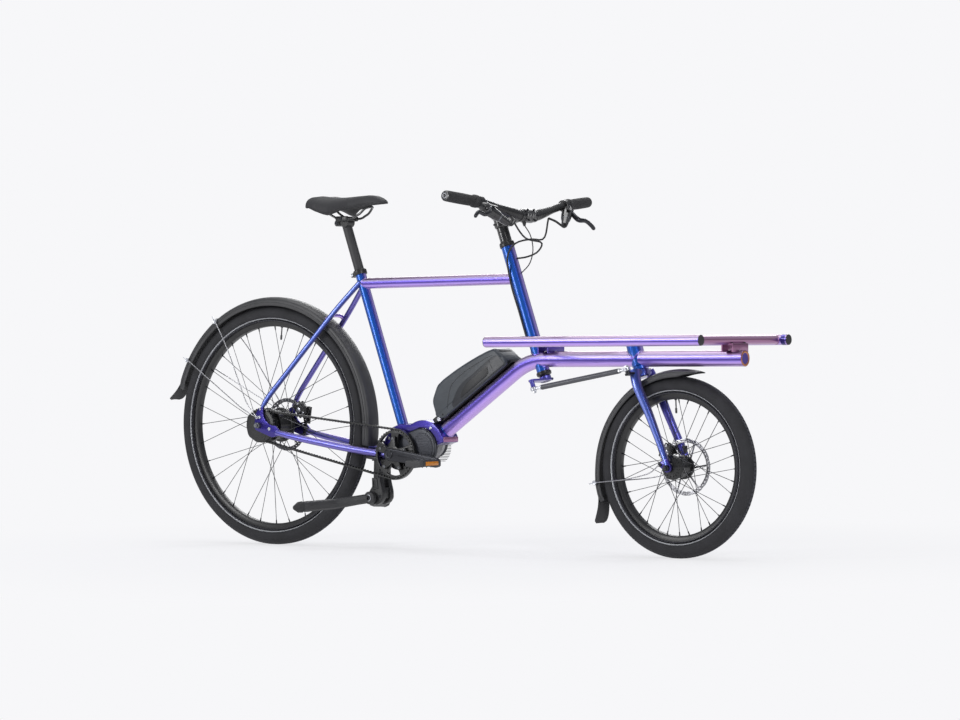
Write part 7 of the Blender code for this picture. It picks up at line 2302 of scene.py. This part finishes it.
def build_calipers():
    """Both brake calipers, each with its mounting tab, a piston cap and two bolts."""
    for name, axle, y, degrees, body, tab in (
        (
            "rear", REAR_AXLE, REAR_DISC_Y, 38.0, "frame",
            ((0.0765, 0.0682, 0.3900), (0.0160, 0.0060, 0.0520), (0.15, 0, 1))
        ),
        (
            "front", FRONT_AXLE, FRONT_DISC_Y, 146.0, "fork",
            ((1.4376, 0.0510, 0.3004), (0.0440, 0.0120, 0.0240), (0, 0, 1))
        ),
    ):
        turn = math.radians(degrees)
        out = facing(turn)
        centre = axle + out * 0.0740 + sideways(y)
        work = bmesh.new()
        for side in (-1, 1):
            block(
                work, centre + sideways(side * 0.0082), (0.0082, 0.0450, 0.0310), (0, 1, 0), out, 0.0028,
                3
            )
        block(work, centre + out * 0.0130, (0.0200, 0.0300, 0.0050), (0, 1, 0), out, 0.0016)
        block(work, tab[0], tab[1], (1, 0, 0.1), tab[2], 0.0016)
        along = out.cross(SIDE)
        piece(name + "_caliper_body", work, "satin", body, [name + "_brake_caliper"], 36.0)
        work = bmesh.new()
        for k in (-1, 1):
            bolt(
                work, centre + along * (k * 0.0165) + sideways(-0.0122) + out * 0.0070, SIDE, 0.0036,
                0.0024
            )
        lathe(
            work, [(0.0, 0.0016), (0.0060, 0.0016), (0.0082, 0.0004), (0.0082, 0.0)],
            centre + sideways(-0.0122) - out * 0.003, SIDE, 24
        )
        piece(name + "_caliper_bolts", work, "silver", body)


# Centre stand

PIVOT = Vector((0.3960, 0.0, 0.1490))
STAND_HALF = 0.0360


def build_stand_bracket():
    """The stand's ribbed bracket below the chain stays, with its bolts."""
    front, rear = Vector((0.4560, 0.0, 0.2770)), Vector((0.3700, 0.0, 0.2880))
    along = front - rear
    under = rear.lerp(front, 0.55) - Vector((0.0, 0.0, 0.0107))
    up = Vector((-along.z, 0.0, along.x)).normalized()
    top_z = under.z - 0.0050
    px, pz = PIVOT.x, PIVOT.z
    outline = rounded(
        [
            (px + 0.0070, top_z), (px + 0.0290, top_z), (px + 0.0300, pz + 0.0560),
            (px + 0.0400, pz + 0.0180), (px + 0.0400, pz - 0.0020), (px + 0.0300, pz - 0.0150),
            (px + 0.0160, pz - 0.0210), *arc((px, pz), 0.0215, -70.0, -200.0, 14),
            (px + 0.0040, pz + 0.0400),
        ],
        4, 0.30
    )
    work = bmesh.new()
    for side in (-1, 1):
        plate(work, outline, 0.0175, side_place(side * 0.0187), round_r=0.0030, segments=3)
    block(work, (px + 0.0180, 0.0, pz + 0.0140), (0.034, 0.030, 0.034), round_r=0.004)
    for side in (-1, 1):
        rib = [
            (px + 0.0020, pz + 0.0240), (px + 0.0230, pz + 0.0260), (px + 0.0200, pz + 0.0560),
            (px + 0.0010, pz + 0.0600)
        ]
        plate(
            work, rounded(rib, 5, 0.2), 0.0030, side_place(side * 0.0280),
            [
                rounded(
                    [(px + 0.0050, pz + 0.0290), (px + 0.0190, pz + 0.0300), (px + 0.0060, pz + 0.0540)],
                    4, 0.2
                )
            ],
            0.0008
        )
    block(work, under - up * 0.0050, (0.0560, 0.0900, 0.0094), along, up, 0.0018)
    piece("stand_bracket", work, "satin", "frame", ["kickstand_bracket"], 36.0)
    work = bmesh.new()
    for side in (-1, 1):
        for dx in (-0.016, 0.016):
            bolt(work, under + Vector((dx, side * 0.0260, -0.0100)), (0, 0, -1), 0.0048, 0.0030)
        for x, z in ((px + 0.0270, pz + 0.0640), (px + 0.0300, pz + 0.0040)):
            bolt(work, (x, side * 0.0272, z), (0, side, 0), 0.0044, 0.0024)
    piece("stand_bolts", work, "anodised", "frame")


def build_stand_legs():
    """The stand's two legs with their hubs, rubber feet, rings and caps."""
    work, feet, caps = bmesh.new(), bmesh.new(), bmesh.new()
    rod(work, PIVOT - sideways(STAND_HALF), PIVOT + sideways(STAND_HALF), 0.0059, 24)
    for side in (-1, 1):
        hub = PIVOT + sideways(side * (STAND_HALF + 0.0010))
        lathe(
            work,
            [
                (0.0, 0.0085), (0.0100, 0.0085), (0.0112, 0.0076), (0.0168, 0.0072), (0.0186, 0.0056),
                (0.0190, 0.0), (0.0186, -0.0072), (0.0172, -0.0085), (0.0, -0.0085)
            ],
            hub, (0, side, 0), 44
        )
        foot = Vector((0.2600, side * 0.2130, 0.1250))
        root = PIVOT + Vector((-0.006, side * (STAND_HALF + 0.0036), -0.002))
        inner = Vector((PIVOT.x - 0.0540, side * 0.0570, PIVOT.z - 0.0100))
        knee = Vector((PIVOT.x - 0.0880, side * 0.0800, PIVOT.z - 0.0170))
        route = eased([root, inner, knee, knee.lerp(foot, 0.75), foot], 8)
        share = np.linspace(0.0, 1.0, len(route))
        radii = list(
            np.interp(
                share, [0.0, 0.3, 0.5, 0.82, 0.95, 1.0], [0.0120, 0.0126, 0.0130, 0.0140, 0.0130, 0.0095]
            )
        )
        sweep(work, route, radii, 8, flat=1.16)
        sweep(
            feet,
            [
                foot.lerp(knee, 0.16), foot.lerp(knee, 0.14), foot.lerp(knee, 0.03),
                foot + (foot - knee).normalized() * 0.010
            ],
            [0.0128, 0.0146, 0.0136, 0.0050], 8, flat=1.16
        )
        bolt(caps, hub + sideways(side * 0.0080), (0, side, 0), 0.0068, 0.0030)
    piece("stand_legs", work, "matte", "kickstand", ["kickstand_legs"], 24.0)
    piece("stand_feet", feet, "rubber", "kickstand", crease=24.0)
    work = bmesh.new()
    for side in (-1, 1):
        lathe(work, [(0.0080, 0.0), (0.0080, 0.0016), (0.0088, 0.0022), (0.0100, 0.0016), (0.0100, 0.0)],
              PIVOT + sideways(side * (STAND_HALF + 0.0092)), (0, side, 0), 36)
    piece("stand_rings", work, "silver", "kickstand")
    piece("stand_caps", caps, "anodised", "kickstand")


# Hoses

HOSE_R, CABLE_R = 0.0026, 0.0016


def hose(name, points, count, radius, node_name):
    """A hose or cable that goes back into the frame, bent between the bars and the frame."""
    route = smooth(points, count)
    work = bmesh.new()
    sweep(work, route, radius, 14)
    part = piece(name, work, "hose", None, [node_name], 60.0)
    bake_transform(part)


def build_hoses():
    """Both brake hoses and the display cable, along the CAD model's own points."""
    forwards = Vector((math.sin(STEER_ANGLE), 0.0, math.cos(STEER_ANGLE)))
    head_front = on_steer(0.300) + Vector(
        (0.0190 * math.sin(STEER_ANGLE), 0.0, 0.0190 * math.cos(STEER_ANGLE))
    )
    tail_right, tail_left = brake_spots(-1)[3], brake_spots(1)[3]
    rear = [
        tail_right + Vector((0.002, 0.0120, -0.0035)), (0.968, -0.0300, 0.9020), (0.992, 0.0150, 0.8880),
        (0.975, 0.0180, 0.8640), (0.945, 0.0080, 0.8500), head_front + forwards * 0.0010
    ]
    hose("rear_brake_hose", rear, 23, HOSE_R, "hose_rear_brake")
    beside = (HEAD_TUBE_R + HOSE_R + GAP) * (sideways(-0.87) - forwards * 0.5)
    down = [on_steer(s) + beside for s in (0.24, 0.15, 0.09, 0.045)]
    front = [
        tail_left + Vector((0.002, -0.0120, -0.0035)), (0.975, 0.0450, 0.9010), (0.960, 0.0050, 0.9000),
        (0.932, -0.0310, 0.8880), (0.906, -0.0330, 0.8550), *down
    ]
    hose("front_brake_hose", front, 34, HOSE_R, "hose_front_brake")
    entry = on_steer(0.255) + forwards * 0.0200
    cable = [
        (0.953, -0.0160, 0.9400), (0.975, -0.0180, 0.9120), (0.983, -0.0160, 0.8700),
        (0.965, -0.0080, 0.8300), entry
    ]
    hose("bar_cable", cable, 15, CABLE_R, "display_cable")
    work = bmesh.new()
    sweep(
        work, [(BAR.x + 0.002, -0.0160, 0.9520), (0.9530, -0.0160, 0.9440), (0.9540, -0.0161, 0.9370)],
        [0.0060, 0.0052, 0.0030], 18
    )
    piece("bar_cable_boot", work, "rubber", "steering")


# Build

def main():
    """Builds everything in turn."""
    build_camera()
    bpy.context.scene.view_settings.view_transform = "Standard"
    build_hoses()
    build_stage()
    build_lights()
    build_boom()
    build_head_tubes()
    build_seat_and_top_tube()
    build_head_welds()
    build_rear_triangle()
    build_motor_bracket()
    build_cradle_foot()
    build_motor()
    build_belt()
    build_cranks()
    build_spider()
    build_load_frame()
    build_wheel("rear", REAR_AXLE, REAR_BEAD, 190)
    build_wheel("front", FRONT_AXLE, FRONT_BEAD, 132)
    build_rear_hub()
    build_front_hub()
    build_disc("rear", REAR_AXLE, REAR_DISC_Y, "rear_wheel")
    build_disc("front", FRONT_AXLE, FRONT_DISC_Y, "front_wheel")
    build_shift_unit()
    build_rear_axle()
    build_calipers()
    build_fork()
    build_fork_arm()
    build_fork_ends()
    build_fork_hose()
    build_fork_top_cap()
    build_tie_rod()
    build_column_spacers()
    build_steering_arm()
    build_handlebar()
    build_stem()
    build_bar_bands()
    for side, name in ((-1, "right"), (1, "left")):
        build_grip(side, name)
        build_brake(side, name)
        build_brake_lever(side, name)
    build_saddle()
    build_seat_post()
    build_seat_collar()
    build_battery()
    build_cradle()
    build_fender(
        "rear", REAR_AXLE, REAR_FENDER_R, -9.0, 172.0, "frame", 0.0235, ((-9.0, 163.0), (0.0, 0.0))
    )
    build_flap("rear", REAR_AXLE, REAR_FENDER_R, math.radians(163.0), 0.066, 0.42, 0.030, "frame")
    build_fender("front", FRONT_AXLE, FRONT_FENDER_R, 74.0, 128.0, "fork", 0.0195, (
        (71.0, 80.0, 90.0, 105.0, 120.0, 137.0, 150.0, 165.0, 180.0, 192.0),
        (0.0030, 0.0006, -0.0026, -0.0066, -0.0100, -0.0112, -0.0104, -0.0086, -0.0052, 0.0)), 13.0)
    build_flap("front", FRONT_AXLE, FRONT_FENDER_R, math.radians(201.0), 0.078, 0.52, 0.030, "fork")
    build_rear_stays()
    build_front_stay()
    build_stand_bracket()
    build_stand_legs()


main()
